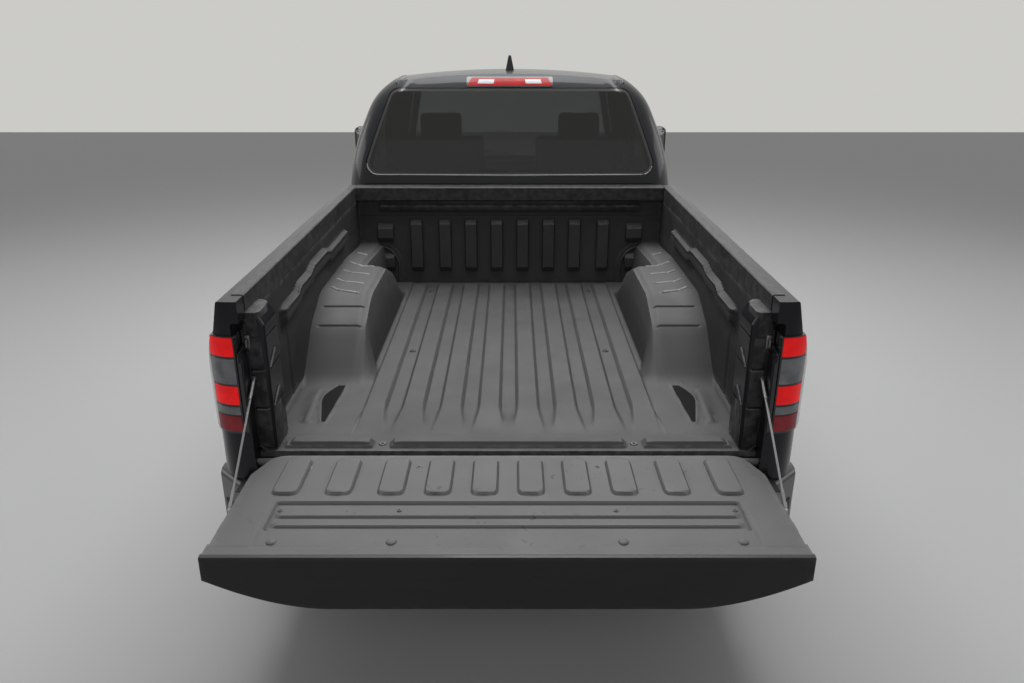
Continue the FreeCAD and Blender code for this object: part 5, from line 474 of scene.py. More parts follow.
class Paintshop:
    """Makes each finish's material once and puts it on pieces and CAD nodes."""

    dust_colour: Colour = (0.2, 0.19, 0.175)
    wear_colour: Colour = (0.16, 0.16, 0.16)
    # Colour of the dark specks, and also of the painted shade laid in recesses
    speck_colour: Colour = (0.012, 0.012, 0.012)

    def __init__(self) -> None:
        """Builds the shared groups."""
        self.groups = NodeGroups()
        self.made: dict[str, bpy.types.Material] = {}

    def _placed(self, tree: Tree, group: Tree, **values: object) -> Node:
        """Places a group in a material with its own values.

        Args:
            tree: The material's tree.
            group: The group.
            **values: Values of its inputs, by name.

        Returns:
            The group node.
        """
        node = tree.nodes.new("ShaderNodeGroup")
        node.node_tree = group
        for label, value in values.items():
            node.inputs[label].default_value = value
        return node

    def _over(
        self, tree: Tree, under: Socket, colour: Colour, mask: Socket
    ) -> Socket:
        """Lays a colour over another where a mask says.

        Args:
            tree: The material's tree.
            under: The colour below.
            colour: The colour on top.
            mask: Where it shows.

        Returns:
            The mixed colour's socket.
        """
        mix = tree.nodes.new("ShaderNodeMix")
        mix.data_type = "RGBA"
        mix.inputs["B"].default_value = (*colour, 1.0)
        tree.links.new(mask, mix.inputs["Factor"])
        tree.links.new(under, mix.inputs["A"])
        return mix.outputs["Result"]

    def material(self, finish: Finish) -> bpy.types.Material:
        """The material of a finish.

        Args:
            finish: The finish.

        Returns:
            Its material, made on first use.
        """
        if finish.name in self.made:
            return self.made[finish.name]
        material = bpy.data.materials.new(finish.name)
        material.use_nodes = True
        tree = material.node_tree
        shader = tree.nodes["Principled BSDF"]
        labels = ("Metallic", "Coat Weight", "Coat Roughness", "Specular IOR Level")
        for label, value in zip(labels, finish.gloss.value):
            shader.inputs[label].default_value = value
        shader.inputs["Transmission Weight"].default_value = finish.transmission
        colours = {"First": (*finish.colour, 1.0), "Second": (*finish.second, 1.0), "Scale": finish.drift}
        drift = self._placed(tree, self.groups.drift, **colours)
        colour = drift.outputs["Colour"]
        layers = (
            (self.groups.specks, finish.specks, self.speck_colour, {"Scale": finish.speck_scale}),
            (self.groups.wear, finish.wear, self.wear_colour, {}),
            # Painted shade in concave places, laid in the speck colour
            (self.groups.grime, finish.grime, self.speck_colour, {}),
            (self.groups.dust, finish.dust, self.dust_colour, {}),
        )
        for group, amount, over, values in layers:
            if amount:
                mask = self._placed(tree, group, Amount=amount, **values)
                colour = self._over(tree, colour, over, mask.outputs["Mask"])
        tree.links.new(colour, shader.inputs["Base Color"])
        if finish.relief:
            values = {"Scale": finish.grain, "Strength": finish.relief, "Height": finish.relief_height}
            grain = self._placed(tree, self.groups.grain, **values)
            tree.links.new(grain.outputs["Normal"], shader.inputs["Normal"])
        if finish.roughness:
            rough = tree.nodes.new("ShaderNodeMapRange")
            rough.inputs["To Min"].default_value = finish.roughness * 0.9
            rough.inputs["To Max"].default_value = min(finish.roughness * 1.12, 1.0)
            tree.links.new(drift.outputs["Mask"], rough.inputs["Value"])
            tree.links.new(rough.outputs["Result"], shader.inputs["Roughness"])
        else:
            shader.inputs["Roughness"].default_value = 0.0
        if finish.glow:
            shader.inputs["Emission Color"].default_value = (*finish.glow_colour, 1.0)
            shader.inputs["Emission Strength"].default_value = finish.glow
        self.made[finish.name] = material
        return material

    def dress(self, piece: Piece, finish: Finish) -> None:
        """Puts one finish on a piece's every face.

        Args:
            piece: The piece or CAD node.
            finish: The finish.
        """
        material = self.material(finish)
        slots = piece.data.materials
        if not slots:
            slots.append(material)
        for i in range(len(slots)):
            slots[i] = material


def smooth(low: float, high: float, x: float) -> float:
    """Rises from 0 at low to 1 at high with soft ends."""
    t = min(max((x - low) / (high - low), 0.0), 1.0)
    return t * t * (3 - 2 * t)


def plateau(x: float, low: float, high: float, edge: float) -> float:
    """1 between low and high, falling to 0 over an edge's width outside them."""
    return smooth(low - edge, low, x) * (1 - smooth(high, high + edge, x))


def spread(low: float, high: float, step: float) -> list[float]:
    """Even places from low to high, about a step apart."""
    count = max(int(round((high - low) / step)), 1)
    return [low + (high - low) * i / count for i in range(count + 1)]


def lines(
    low: float, high: float, coarse: float, fine: float, zones: Sequence[Flat],
    edges: Sequence[Flat] = (),
) -> list[float]:
    """Grid lines that are close together only where the surface changes.

    Args:
        low: The first line.
        high: The last line.
        coarse: The distance elsewhere.
        fine: The distance in the zones.
        zones: Stretches with fine lines.
        edges: Where each sloping edge starts and ends; lines fall on both, between them and just outside.

    Returns:
        The sorted places.
    """
    places = [low]
    while places[-1] < high - fine / 2:
        here = places[-1] + fine / 2
        inside = any(a <= here <= b for a, b in zones)
        places.append(min(places[-1] + (fine if inside else coarse), high))
    shares = (-0.3, 0.0, 0.33, 0.67, 1.0, 1.3)
    keys = [a + (b - a) * share for a, b in edges for share in shares]
    keys = [low, high] + [key for key in keys if low < key < high]
    kept = [place for place in places if all(abs(place - key) > fine * 0.3 for key in keys)]
    merged: list[float] = []
    for place in sorted(keys + kept):
        if not merged or place - merged[-1] > 0.0005:
            merged.append(place)
    return merged


def chamfered(x: float, low: float, high: float, run: float) -> float:
    """1 between two straight slopes that start at low and at high and are each a run wide."""
    return min(max((x - low) / run, 0.0), 1.0) * min(max((high - x) / run, 0.0), 1.0)


def both_ways(positive: Sequence[float]) -> list[float]:
    """Places from 0 up, and the same places below 0."""
    return [-x for x in reversed(positive[1:])] + list(positive)


def new_piece(
    name: str, verts: Sequence[Point], faces: Sequence[Sequence[int]], angle: float = 35.0
) -> Piece:
    """Makes a mesh object, smooth apart from its sharp edges.

    Args:
        name: The piece's name.
        verts: Corner places in the frame, in metres.
        faces: Corner numbers of each face.
        angle: The edge angle in degrees above which an edge stays sharp.

    Returns:
        The object, linked to the scene.
    """
    mesh = bpy.data.meshes.new(name)
    mesh.from_pydata([tuple(p) for p in verts], [], [tuple(f) for f in faces])
    return finished(name, mesh, angle)


def finished(name: str, mesh: bpy.types.Mesh, angle: float = 35.0) -> Piece:
    """Cleans a mesh, turns its faces outward and links it.

    Args:
        name: The piece's name.
        mesh: The mesh.
        angle: The edge angle in degrees above which an edge stays sharp.

    Returns:
        The object.
    """
    shape = bmesh.new()
    shape.from_mesh(mesh)
    bmesh.ops.remove_doubles(shape, verts=shape.verts, dist=1e-6)
    bmesh.ops.recalc_face_normals(shape, faces=shape.faces)
    limit = math.radians(angle)
    for face in shape.faces:
        face.smooth = True
    for edge in shape.edges:
        edge.smooth = len(edge.link_faces) == 2 and edge.calc_face_angle(0.0) < limit
    shape.to_mesh(mesh)
    shape.free()
    mesh.name = name
    piece = bpy.data.objects.new(name, mesh)
    bpy.context.scene.collection.objects.link(piece)
    return piece


def from_shape(name: str, shape: bmesh.types.BMesh, angle: float = 35.0) -> Piece:
    """Turns a worked shape into a finished piece, and frees the shape.

    Args:
        name: The piece's name.
        shape: The shape.
        angle: The edge angle in degrees above which an edge stays sharp.

    Returns:
        The object.
    """
    mesh = bpy.data.meshes.new(name)
    shape.to_mesh(mesh)
    shape.free()
    return finished(name, mesh, angle)


def soften(shape: bmesh.types.BMesh, edges: Sequence[object], radius: float, segments: int) -> None:
    """Rounds a shape's edges with a radius, in so many faces."""
    bmesh.ops.bevel(
        shape, geom=edges, offset=radius, offset_type="OFFSET", segments=segments, profile=0.5, affect="EDGES"
    )


def joined(name: str, pieces: Sequence[Piece]) -> Piece:
    """Joins pieces into one mesh object.

    Args:
        name: The new piece's name.
        pieces: The pieces, which are used up.

    Returns:
        The joined object.
    """
    shape = bmesh.new()
    for piece in pieces:
        shape.from_mesh(piece.data)
        mesh = piece.data
        bpy.data.objects.remove(piece)
        bpy.data.meshes.remove(mesh)
    mesh = bpy.data.meshes.new(name)
    shape.to_mesh(mesh)
    shape.free()
    piece = bpy.data.objects.new(name, mesh)
    bpy.context.scene.collection.objects.link(piece)
    return piece


def pressed_sheet(
    name: str, us: Sequence[float], vs: Sequence[float], place: Callable[[float, float], Point], back: Point
) -> Piece:
    """A pressed panel as a closed sheet.

    Args:
        name: The piece's name.
        us: Grid lines one way.
        vs: Grid lines the other way.
        place: Gives the front's place at u and v.
        back: The way from front to back, as long as the sheet is thick.

    Returns:
        The panel.
    """
    wide = len(vs)
    front = [place(u, v) for u in us for v in vs]
    count = len(front)
    rear = [(x + back[0], y + back[1], z + back[2]) for x, y, z in front]
    faces = []
    for i in range(len(us) - 1):
        for j in range(wide - 1):
            a = i * wide + j
            faces.append((a, a + 1, a + wide + 1, a + wide))
            faces.append((a + count, a + wide + count, a + wide + 1 + count, a + 1 + count))
    rim = [i * wide for i in range(len(us))]
    rim += [(len(us) - 1) * wide + j for j in range(1, wide)]
    rim += [i * wide + wide - 1 for i in range(len(us) - 2, -1, -1)]
    rim += [j for j in range(wide - 2, 0, -1)]
    for a, b in zip(rim, rim[1:] + rim[:1]):
        faces.append((a, b, b + count, a + count))
    return new_piece(name, front + rear, faces)


def rounded_box(name: str, low: Point, high: Point, radius: float, segments: int = 3) -> Piece:
    """A block with rounded edges.

    Args:
        name: The piece's name.
        low: Its lowest corner.
        high: Its highest corner.
        radius: The edges' radius.
        segments: Faces round an edge.

    Returns:
        The block.
    """
    shape = bmesh.new()
    bmesh.ops.create_cube(shape, size=1.0)
    size = Vector(high) - Vector(low)
    middle = (Vector(high) + Vector(low)) / 2
    placing = Matrix.Translation(middle) @ Matrix.Diagonal((*size, 1.0))
    bmesh.ops.transform(shape, matrix=placing, verts=shape.verts)
    soften(shape, list(shape.edges), min(radius, min(size) * 0.49), segments)
    return from_shape(name, shape)


def prism(
    name: str, outline: Sequence[Flat], place: Callable[[float, float, float], Point],
    low: float, high: float, bevel: float = 0.0,
) -> Piece:
    """An outline pushed from low to high, with softened edges.

    Args:
        name: The piece's name.
        outline: Corners in the plane.
        place: Gives a frame place from the two plane numbers and the depth.
        low: The depth of one end.
        high: The depth of the other end.
        bevel: The edges' radius.

    Returns:
        The solid.
    """
    count = len(outline)
    verts = [place(a, b, low) for a, b in outline] + [place(a, b, high) for a, b in outline]
    faces: list[Sequence[int]] = [tuple(range(count - 1, -1, -1)), tuple(range(count, 2 * count))]
    faces += [(i, (i + 1) % count, (i + 1) % count + count, i + count) for i in range(count)]
    shape = bmesh.new()
    made = [shape.verts.new(v) for v in verts]
    for f in faces:
        shape.faces.new([made[i] for i in f])
    bmesh.ops.recalc_face_normals(shape, faces=shape.faces)
    if bevel:
        soften(shape, [e for e in shape.edges if e.calc_face_angle(0.0) > 0.4], bevel, 2)
    return from_shape(name, shape)


def turned(
    name: str, profile: Sequence[Flat], centre: Point, axis: Point, segments: int = 48
) -> Piece:
    """A profile of radius and height turned about an axis.

    Args:
        name: The piece's name.
        profile: Radius and height pairs, closed through the axis or as a loop.
        centre: The place where the height is 0.
        axis: The way that the height counts.
        segments: Faces round the axis.

    Returns:
        The turned solid.
    """
    aim = Vector(axis).normalized()
    across = aim.orthogonal().normalized()
    up = aim.cross(across)
    ring = len(profile)
    verts: list[Point] = []
    for k in range(segments):
        turn = 2 * math.pi * k / segments
        out = across * math.cos(turn) + up * math.sin(turn)
        verts += [tuple(Vector(centre) + out * r + aim * h) for r, h in profile]
    faces = []
    for k in range(segments):
        onward = (k + 1) % segments
        for i in range(ring):
            j = (i + 1) % ring
            if profile[i][0] == 0 and profile[j][0] == 0:
                continue
            faces.append((k * ring + i, k * ring + j, onward * ring + j, onward * ring + i))
    mesh = bpy.data.meshes.new(name)
    mesh.from_pydata(verts, [], faces)
    mesh.validate()
    shape = bmesh.new()
    shape.from_mesh(mesh)
    bmesh.ops.remove_doubles(shape, verts=shape.verts, dist=1e-6)
    bmesh.ops.dissolve_degenerate(shape, edges=shape.edges, dist=1e-7)
    shape.to_mesh(mesh)
    shape.free()
    return finished(name, mesh, 30.0)


def bar(name: str, points: Sequence[Point], radius: float, sides: int = 12) -> Piece:
    """A round bar along points, with closed ends.

    Args:
        name: The piece's name.
        points: The places it runs through.
        radius: Its radius.
        sides: Faces round it.

    Returns:
        The bar.
    """
    path = [Vector(p) for p in points]
    verts: list[Point] = []
    for i, here in enumerate(path):
        before = path[max(i - 1, 0)]
        after = path[min(i + 1, len(path) - 1)]
        aim = (after - before).normalized()
        helper = Vector((1, 0, 0)) if abs(aim.x) < 0.9 else Vector((0, 0, 1))
        across = aim.cross(helper).normalized()
        up = aim.cross(across)
        for k in range(sides):
            turn = 2 * math.pi * k / sides
            verts.append(tuple(here + (across * math.cos(turn) + up * math.sin(turn)) * radius))
    faces: list[Sequence[int]] = []
    for i in range(len(path) - 1):
        for k in range(sides):
            a, b = i * sides + k, i * sides + (k + 1) % sides
            faces.append((a, b, b + sides, a + sides))
    faces.append(tuple(range(sides)))
    faces.append(tuple(range((len(path) - 1) * sides, len(path) * sides)))
    return new_piece(name, verts, faces)


def bolt_heads(
    name: str, places: Iterable[Ray], radius: float, height: float, domed: bool = False
) -> Piece:
    """Round bolt heads, joined into one piece.

    Args:
        name: The piece's name.
        places: Foot and outward way of each head.
        radius: The heads' radius.
        height: How far they stand out.
        domed: Whether they are plain domes, with no recess.

    Returns:
        The joined heads.
    """
    profile = (
        (0.0, -height * 0.3), (radius, -height * 0.3), (radius, height * 0.45), (radius * 0.8, height),
        (radius * 0.42, height), (radius * 0.38, height * 0.35), (0.0, height * 0.35),
    )
    if domed:
        profile = ((0.0, -height * 0.3),) + tuple(
            (radius * math.cos(a), height * math.sin(a)) for a in spread(0.0, math.pi / 2, math.pi / 12)
        )
    heads = [turned(f"{name}_{i}", profile, foot, way, 20) for i, (foot, way) in enumerate(places)]
    return joined(name, heads)


def hull(points: Iterable[Flat]) -> list[Flat]:
    """The convex outline round flat points.

    Args:
        points: The points.

    Returns:
        Its corners, counter-clockwise.
    """
    ordered = sorted(set(points))
    chains = []
    for row in (ordered, ordered[::-1]):
        chain: list[Flat] = []
        for p in row:
            while len(chain) > 1:
                (ax, ay), (bx, by) = chain[-2], chain[-1]
                if (bx - ax) * (p[1] - ay) - (by - ay) * (p[0] - ax) > 1e-12:
                    break
                chain.pop()
            chain.append(p)
        chains += chain[:-1]
    return chains


def resampled(points: Sequence[Flat], count: int) -> list[Flat]:
    """The same closed outline with evenly spaced points.

    Args:
        points: Its corners.
        count: How many points to place.

    Returns:
        The points.
    """
    closed = list(points) + [points[0]]
    lengths = [math.dist(a, b) for a, b in zip(closed, closed[1:])]
    step = sum(lengths) / count
    places = []
    at, k, walked = 0.0, 0, 0.0
    for _ in range(count):
        while walked + lengths[k] < at:
            walked += lengths[k]
            k += 1
        share = (at - walked) / lengths[k]
        (ax, ay), (bx, by) = closed[k], closed[k + 1]
        places.append((ax + (bx - ax) * share, ay + (by - ay) * share))
        at += step
    return places


def drawn_in(points: Sequence[Flat], by: float) -> list[Flat]:
    """A closed outline with each point moved inward.

    Args:
        points: Its points, counter-clockwise.
        by: How far they move.

    Returns:
        The smaller outline.
    """
    count = len(points)
    moved = []
    for i, (x, y) in enumerate(points):
        (ax, ay), (bx, by_) = points[i - 1], points[(i + 1) % count]
        length = max(math.hypot(bx - ax, by_ - ay), 1e-9)
        moved.append((x - (by_ - ay) / length * by, y + (bx - ax) / length * by))
    return moved


def rounded_outline(low: Flat, high: Flat, radius: float) -> list[Flat]:
    """A rectangle's outline with round corners.

    Args:
        low: Its lowest corner.
        high: Its highest corner.
        radius: The corners' radius.

    Returns:
        The outline's points, counter-clockwise.
    """
    centres = (
        (high[0] - radius, low[1] + radius, -90.0), (high[0] - radius, high[1] - radius, 0.0),
        (low[0] + radius, high[1] - radius, 90.0), (low[0] + radius, low[1] + radius, 180.0),
    )
    points = []
    for x, y, start in centres:
        for turn in spread(start, start + 90.0, 15.0):
            a = math.radians(turn)
            points.append((x + radius * math.cos(a), y + radius * math.sin(a)))
    return points


def facing(look: Point, a: float, b: float, away: float = 3.4) -> Ray:
    """A ray along an axis of the frame.

    Args:
        look: The way it looks.
        a: Its place along the first axis that it crosses.
        b: Its place along the second.
        away: How far from the middle it starts.

    Returns:
        Its start and its way.
    """
    if abs(look[0]) > 0.5:
        return (-look[0] * away, a, b), look
    if abs(look[1]) > 0.5:
        return (a, -look[1] * away, b), look
    return (a, b, -look[2] * away), look


def honeycomb(name: str, centres: Iterable[Point], size: float, wall: float, depth: float) -> Piece:
    """Upright six-sided cells that open along Y.

    Args:
        name: The piece's name.
        centres: The middle of each cell's back.
        size: A cell's outer radius.
        wall: The thickness of its walls.
        depth: How far it reaches forward.

    Returns:
        The cells as one piece.
    """
    verts: list[Point] = []
    faces: list[Sequence[int]] = []
    for x, y, z in centres:
        base = len(verts)
        for forward in (0.0, depth):
            for radius in (size, size - wall):
                for k in range(6):
                    a = math.radians(60 * k + 30)
                    verts.append((x + radius * math.cos(a), y + forward, z + radius * math.sin(a)))
        for k in range(6):
            j = (k + 1) % 6
            back_out, back_in, out, inside = (base + 6 * ring for ring in range(4))
            faces.append((out + k, out + j, inside + j, inside + k))
            faces.append((back_out + k, back_out + j, out + j, out + k))
            faces.append((inside + k, inside + j, back_in + j, back_in + k))
            faces.append((back_in + k, back_in + j, back_out + j, back_out + k))
    return new_piece(name, verts, faces, 20.0)


def stuffed(
    name: str, centre: Point, size: Point, radius: float, crown: float, tilt: float = 0.0,
    channels: Sequence[float] = (), cuts: int = 18,
) -> Piece:
    """A crowned cushion whose sides pull in between its corners, with sewn channels.

    Args:
        name: The piece's name.
        centre: Its middle.
        size: Its width, its length and its thickness.
        radius: The round of its edges.
        crown: How far its faces rise in the middle.
        tilt: How far it is turned back about X, in degrees.
        channels: Places across the width, from -1 to 1, of sewn channels along it.
        cuts: Faces along each side.

    Returns:
        The cushion.
    """
    shape = bmesh.new()
    bmesh.ops.create_cube(shape, size=2.0)
    bmesh.ops.subdivide_edges(shape, edges=list(shape.edges), cuts=cuts, use_grid_fill=True)
    half = Vector(size) / 2 - Vector((0.0, 0.0, crown))
    turn = Matrix.Translation(Vector(centre)) @ Matrix.Rotation(math.radians(tilt), 4, "X")
    for vert in shape.verts:
        u, v, w = vert.co
        q = Vector((u * half.x, v * half.y, w * half.z))
        core = Vector([max(min(q[i], half[i] - radius), radius - half[i]) for i in range(3)])
        off = q - core
        place = core + off.normalized() * min(radius, off.length * 1.2) if off.length > 1e-9 else q
        swell = max(1 - u * u, 0.0) ** 0.6 * max(1 - v * v, 0.0) ** 0.6
        place.z += (1 if w > 0 else -1) * crown * swell * (abs(w) > 0.99)
        place.x -= math.copysign(0.006, u) * (1 - v * v) * (abs(u) > 0.99)
        place.y -= math.copysign(0.006, v) * (1 - u * u) * (abs(v) > 0.99)
        for at in channels:
            place.z -= 0.007 * math.exp(-(((u - at) / 0.035) ** 2)) * (w > 0.99) * max(1 - v**6, 0.0)
        vert.co = turn @ place
    return from_shape(name, shape, 80.0)


def patch_rays(outline: Sequence[Flat], look: Point, rings: int = 8) -> list[list[Ray]]:
    """Rays that fill an outline, ring by ring.

    Args:
        outline: Its points.
        look: The way the rays go.
        rings: How many rings there are.

    Returns:
        Rows of rays.
    """
    a0 = sum(a for a, _ in outline) / len(outline)
    b0 = sum(b for _, b in outline) / len(outline)
    closed = list(outline) + [outline[0]]
    rows = []
    for k in range(rings + 1):
        share = k / rings
        rows.append([facing(look, a0 + (a - a0) * share, b0 + (b - b0) * share) for a, b in closed])
    return rows


def band_rays(outline: Sequence[Flat], width: float, look: Point) -> list[list[Ray]]:
    """Rays in a band inside an outline.

    Args:
        outline: Its points, counter-clockwise.
        width: The band's width.
        look: The way the rays go.

    Returns:
        Rows of rays.
    """
    rows = []
    for share in (0.0, 0.5, 1.0):
        ring = drawn_in(outline, width * share)
        rows.append([facing(look, a, b) for a, b in ring + ring[:1]])
    return rows


class Workshop:
    """Dresses pieces, hangs them on their bodies and lays sheets on the frame's surfaces."""

    def __init__(self, frame: dict) -> None:
        """Takes the loaded frame.
        """
        self.nodes = frame["nodes"]
        self.paint = Paintshop()
        self.trees: dict[str, BVHTree] = {}

    def fit(
        self, piece: Piece, body: str, finish: Finish, replaced: Sequence[str] = ()
    ) -> Piece:
        """Finishes a piece and hangs it on a body.

        Args:
            piece: The piece, in place.
            body: The CAD body it moves with.
            finish: Its finish.
            replaced: CAD nodes that it stands for.

        Returns:
            The piece.
        """
        self.paint.dress(piece, finish)
        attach(piece, body)
        if replaced:
            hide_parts(*replaced)
        LOG.info("%s on %s, %s", piece.name, body, finish.name)
        return piece

    def tree(self, node: str) -> BVHTree:
        """The search tree of a CAD node's surface.

        Args:
            node: The node's name.

        Returns:
            Its tree, made on first use.
        """
        if node not in self.trees:
            shape = bmesh.new()
            shape.from_mesh(self.nodes[node].data)
            self.trees[node] = BVHTree.FromBMesh(shape)
            shape.free()
        return self.trees[node]

    def hit(self, node: str, start: Point, aim: Point) -> tuple[Vector, Vector] | None:
        """Where a ray meets a node.

        Args:
            node: The node's name.
            start: The ray's start.
            aim: Its way.

        Returns:
            The place and the outward normal there, or None.
        """
        place, normal, _, _ = self.tree(node).ray_cast(Vector(start), Vector(aim).normalized())
        if place is None:
            return None
        if normal.dot(Vector(aim)) > 0:
            normal = -normal
        return place, normal

    def outline(self, node: str, look: Point, count: int = 120) -> list[Flat]:
        """A node's convex outline as seen along an axis.

        Args:
            node: The node's name.
            look: The way it is looked at.
            count: How many points to place.

        Returns:
            Its points, counter-clockwise.
        """
        keep = [i for i in range(3) if abs(look[i]) < 0.5]
        flat = [(v.co[keep[0]], v.co[keep[1]]) for v in self.nodes[node].data.vertices]
        return resampled(hull((round(a, 5), round(b, 5)) for a, b in flat), count)

    def border(
        self, name: str, node: str, look: Point, width: float, proud: float, thick: float
    ) -> Piece:
        """A band along a node's edge.

        Args:
            name: The piece's name.
            node: The node that it lies on.
            look: The way that its face is looked at.
            width: The band's width.
            proud: How far it stands off the surface.
            thick: Its thickness.

        Returns:
            The band.
        """
        outline = drawn_in(self.outline(node, look), 0.003)
        return self.skin(name, node, band_rays(outline, width, look), proud, thick)

    def patch(self, name: str, node: str, look: Point, inset: float, proud: float, thick: float) -> Piece:
        """A filled sheet within a node's outline.

        Args:
            name: The piece's name.
            node: The node that it lies on.
            look: The way that its face is looked at.
            inset: How far it stays inside the outline.
            proud: How far it stands off the surface.
            thick: Its thickness.

        Returns:
            The sheet.
        """
        outline = drawn_in(self.outline(node, look, 64), inset)
        return self.skin(name, node, patch_rays(outline, look), proud, thick)

    def skin(
        self, name: str, node: str, rays: Sequence[Sequence[Ray]], proud: float, thick: float
    ) -> Piece:
        """A thin sheet laid on a node's surface, from a grid of rays.

        Args:
            name: The piece's name.
            node: The node that it lies on.
            rays: Rows of rays, each a start and a way.
            proud: How far its face stands off the surface.
            thick: Its thickness, counted inward from its face.

        Returns:
            The sheet; cells whose rays miss are left out.
        """
        verts: list[Point] = []
        index: dict[tuple[int, int], int] = {}
        inner: dict[tuple[int, int], int] = {}
        for i, row in enumerate(rays):
            for j, (start, aim) in enumerate(row):
                found = self.hit(node, start, aim)
                if found is None:
                    continue
                place, normal = found
                index[i, j] = len(verts)
                verts.append(tuple(place + normal * proud))
                inner[i, j] = len(verts)
                verts.append(tuple(place + normal * (proud - thick)))
        faces: list[Sequence[int]] = []
        cells = set()
        for i in range(len(rays) - 1):
            for j in range(len(rays[0]) - 1):
                corners = ((i, j), (i, j + 1), (i + 1, j + 1), (i + 1, j))
                if all(c in index for c in corners):
                    cells.add((i, j))
                    faces.append(tuple(index[c] for c in corners))
                    faces.append(tuple(inner[c] for c in reversed(corners)))
        steps = (
            ((0, -1), (0, 0), (1, 0)), ((0, 1), (0, 1), (1, 1)),
            ((-1, 0), (0, 0), (0, 1)), ((1, 0), (1, 0), (1, 1)),
        )
        for i, j in cells:
            for (di, dj), (ai, aj), (bi, bj) in steps:
                if (i + di, j + dj) not in cells:
                    a, b = (i + ai, j + aj), (i + bi, j + bj)
                    faces.append((index[a], index[b], inner[b], inner[a]))
        return new_piece(name, verts, faces)


@dataclass
class Studio:
    """The camera, the soft lamps, the floor and the world."""

    lens: float = 28.23
    pitch: float = 20.76
    side: float = 0.012
    back: float = -4.557
    height: float = 2.0
    sensor: float = 36.0
    floor_half: float = 14.0
    floor_colour: Colour = (0.3, 0.301, 0.302)
    background: Colour = (0.6, 0.597, 0.575)
    world_strength: float = 0.3

    def camera(self) -> None:
        """Places the camera as the photograph's."""
        data = bpy.data.cameras.new("camera")
        data.lens = self.lens
        data.sensor_width = self.sensor
        data.clip_end = 60.0
        camera = bpy.data.objects.new("camera", data)
        camera.location = (self.side, self.back, self.height)
        camera.rotation_euler = (math.radians(90 - self.pitch), 0.0, 0.0)
        bpy.context.scene.collection.objects.link(camera)
        bpy.context.scene.camera = camera

    def lamp(
        self, name: str, place: Point, aim: Point, size: Flat, power: float, mirrored: bool = True
    ) -> None:
        """Hangs a soft rectangular lamp.

        Args:
            name: The lamp's name.
            place: Where it hangs.
            aim: The point that it faces.
            size: Its width and length.
            power: Its power in watts.
            mirrored: Whether shiny surfaces show it.
        """
        data = bpy.data.lights.new(name, "AREA")
        data.shape = "RECTANGLE"
        data.size, data.size_y = size
        data.energy = power
        lamp = bpy.data.objects.new(name, data)
        lamp.location = place
        lamp.visible_glossy = mirrored
        lamp.rotation_euler = (Vector(aim) - Vector(place)).to_track_quat("-Z", "Y").to_euler()
        bpy.context.scene.collection.objects.link(lamp)

    def lamps(self) -> None:
        """Hangs the overhead light box and two side fills."""
        self.lamp("overhead", (0.0, 0.4, 4.6), (0.0, -0.6, 0.0), (3.6, 5.0), 420.0)
        self.lamp("rear_fill", (0.0, -6.8, 3.4), (0.0, -1.5, 0.6), (5.0, 2.2), 60.0, False)
        self.lamp("left_fill", (-6.0, 0.5, 2.8), (0.0, 0.0, 0.8), (5.0, 2.0), 55.0)
        self.lamp("right_fill", (6.0, 0.5, 2.8), (0.0, 0.0, 0.8), (5.0, 2.0), 55.0)

    def floor(self) -> None:
        """Lays the plain pale floor."""
        half = self.floor_half
        mesh = bpy.data.meshes.new("floor")
        corners = [(-half, -half, 0.0), (half, -half, 0.0), (half, half, 0.0), (-half, half, 0.0)]
        mesh.from_pydata(corners, [], [(0, 1, 2, 3)])
        floor = bpy.data.objects.new("floor", mesh)
        bpy.context.scene.collection.objects.link(floor)
        material = bpy.data.materials.new("studio_floor")
        material.use_nodes = True
        shader = material.node_tree.nodes["Principled BSDF"]
        shader.inputs["Base Color"].default_value = (*self.floor_colour, 1.0)
        shader.inputs["Roughness"].default_value = 0.45
        mesh.materials.append(material)

    def world(self) -> None:
        """Sets an even light and the plain background that cameras, gloss and glass see."""
        world = bpy.data.worlds.new("studio")
        world.use_nodes = True
        tree = world.node_tree
        lit = tree.nodes["Background"]
        lit.inputs["Color"].default_value = (0.95, 0.96, 1.0, 1.0)
        lit.inputs["Strength"].default_value = self.world_strength
        seen = tree.nodes.new("ShaderNodeBackground")
        seen.inputs["Color"].default_value = (*self.background, 1.0)
        seen.inputs["Strength"].default_value = 1.0
        path = tree.nodes.new("ShaderNodeLightPath")
        mix = tree.nodes.new("ShaderNodeMixShader")
        shows = path.outputs["Is Camera Ray"]
        for kind in ("Is Glossy Ray", "Is Transmission Ray"):
            either = tree.nodes.new("ShaderNodeMath")
            either.operation = "MAXIMUM"
            tree.links.new(shows, either.inputs[0])
            tree.links.new(path.outputs[kind], either.inputs[1])
            shows = either.outputs["Value"]
        tree.links.new(shows, mix.inputs["Fac"])
        tree.links.new(lit.outputs["Background"], mix.inputs[1])
        tree.links.new(seen.outputs["Background"], mix.inputs[2])
        tree.links.new(mix.outputs["Shader"], tree.nodes["World Output"].inputs["Surface"])
        bpy.context.scene.world = world

    def build(self) -> None:
        """Sets up the whole studio."""
        bpy.context.scene.view_settings.view_transform = "Standard"
        self.camera()
        self.lamps()
        self.floor()
        self.world()


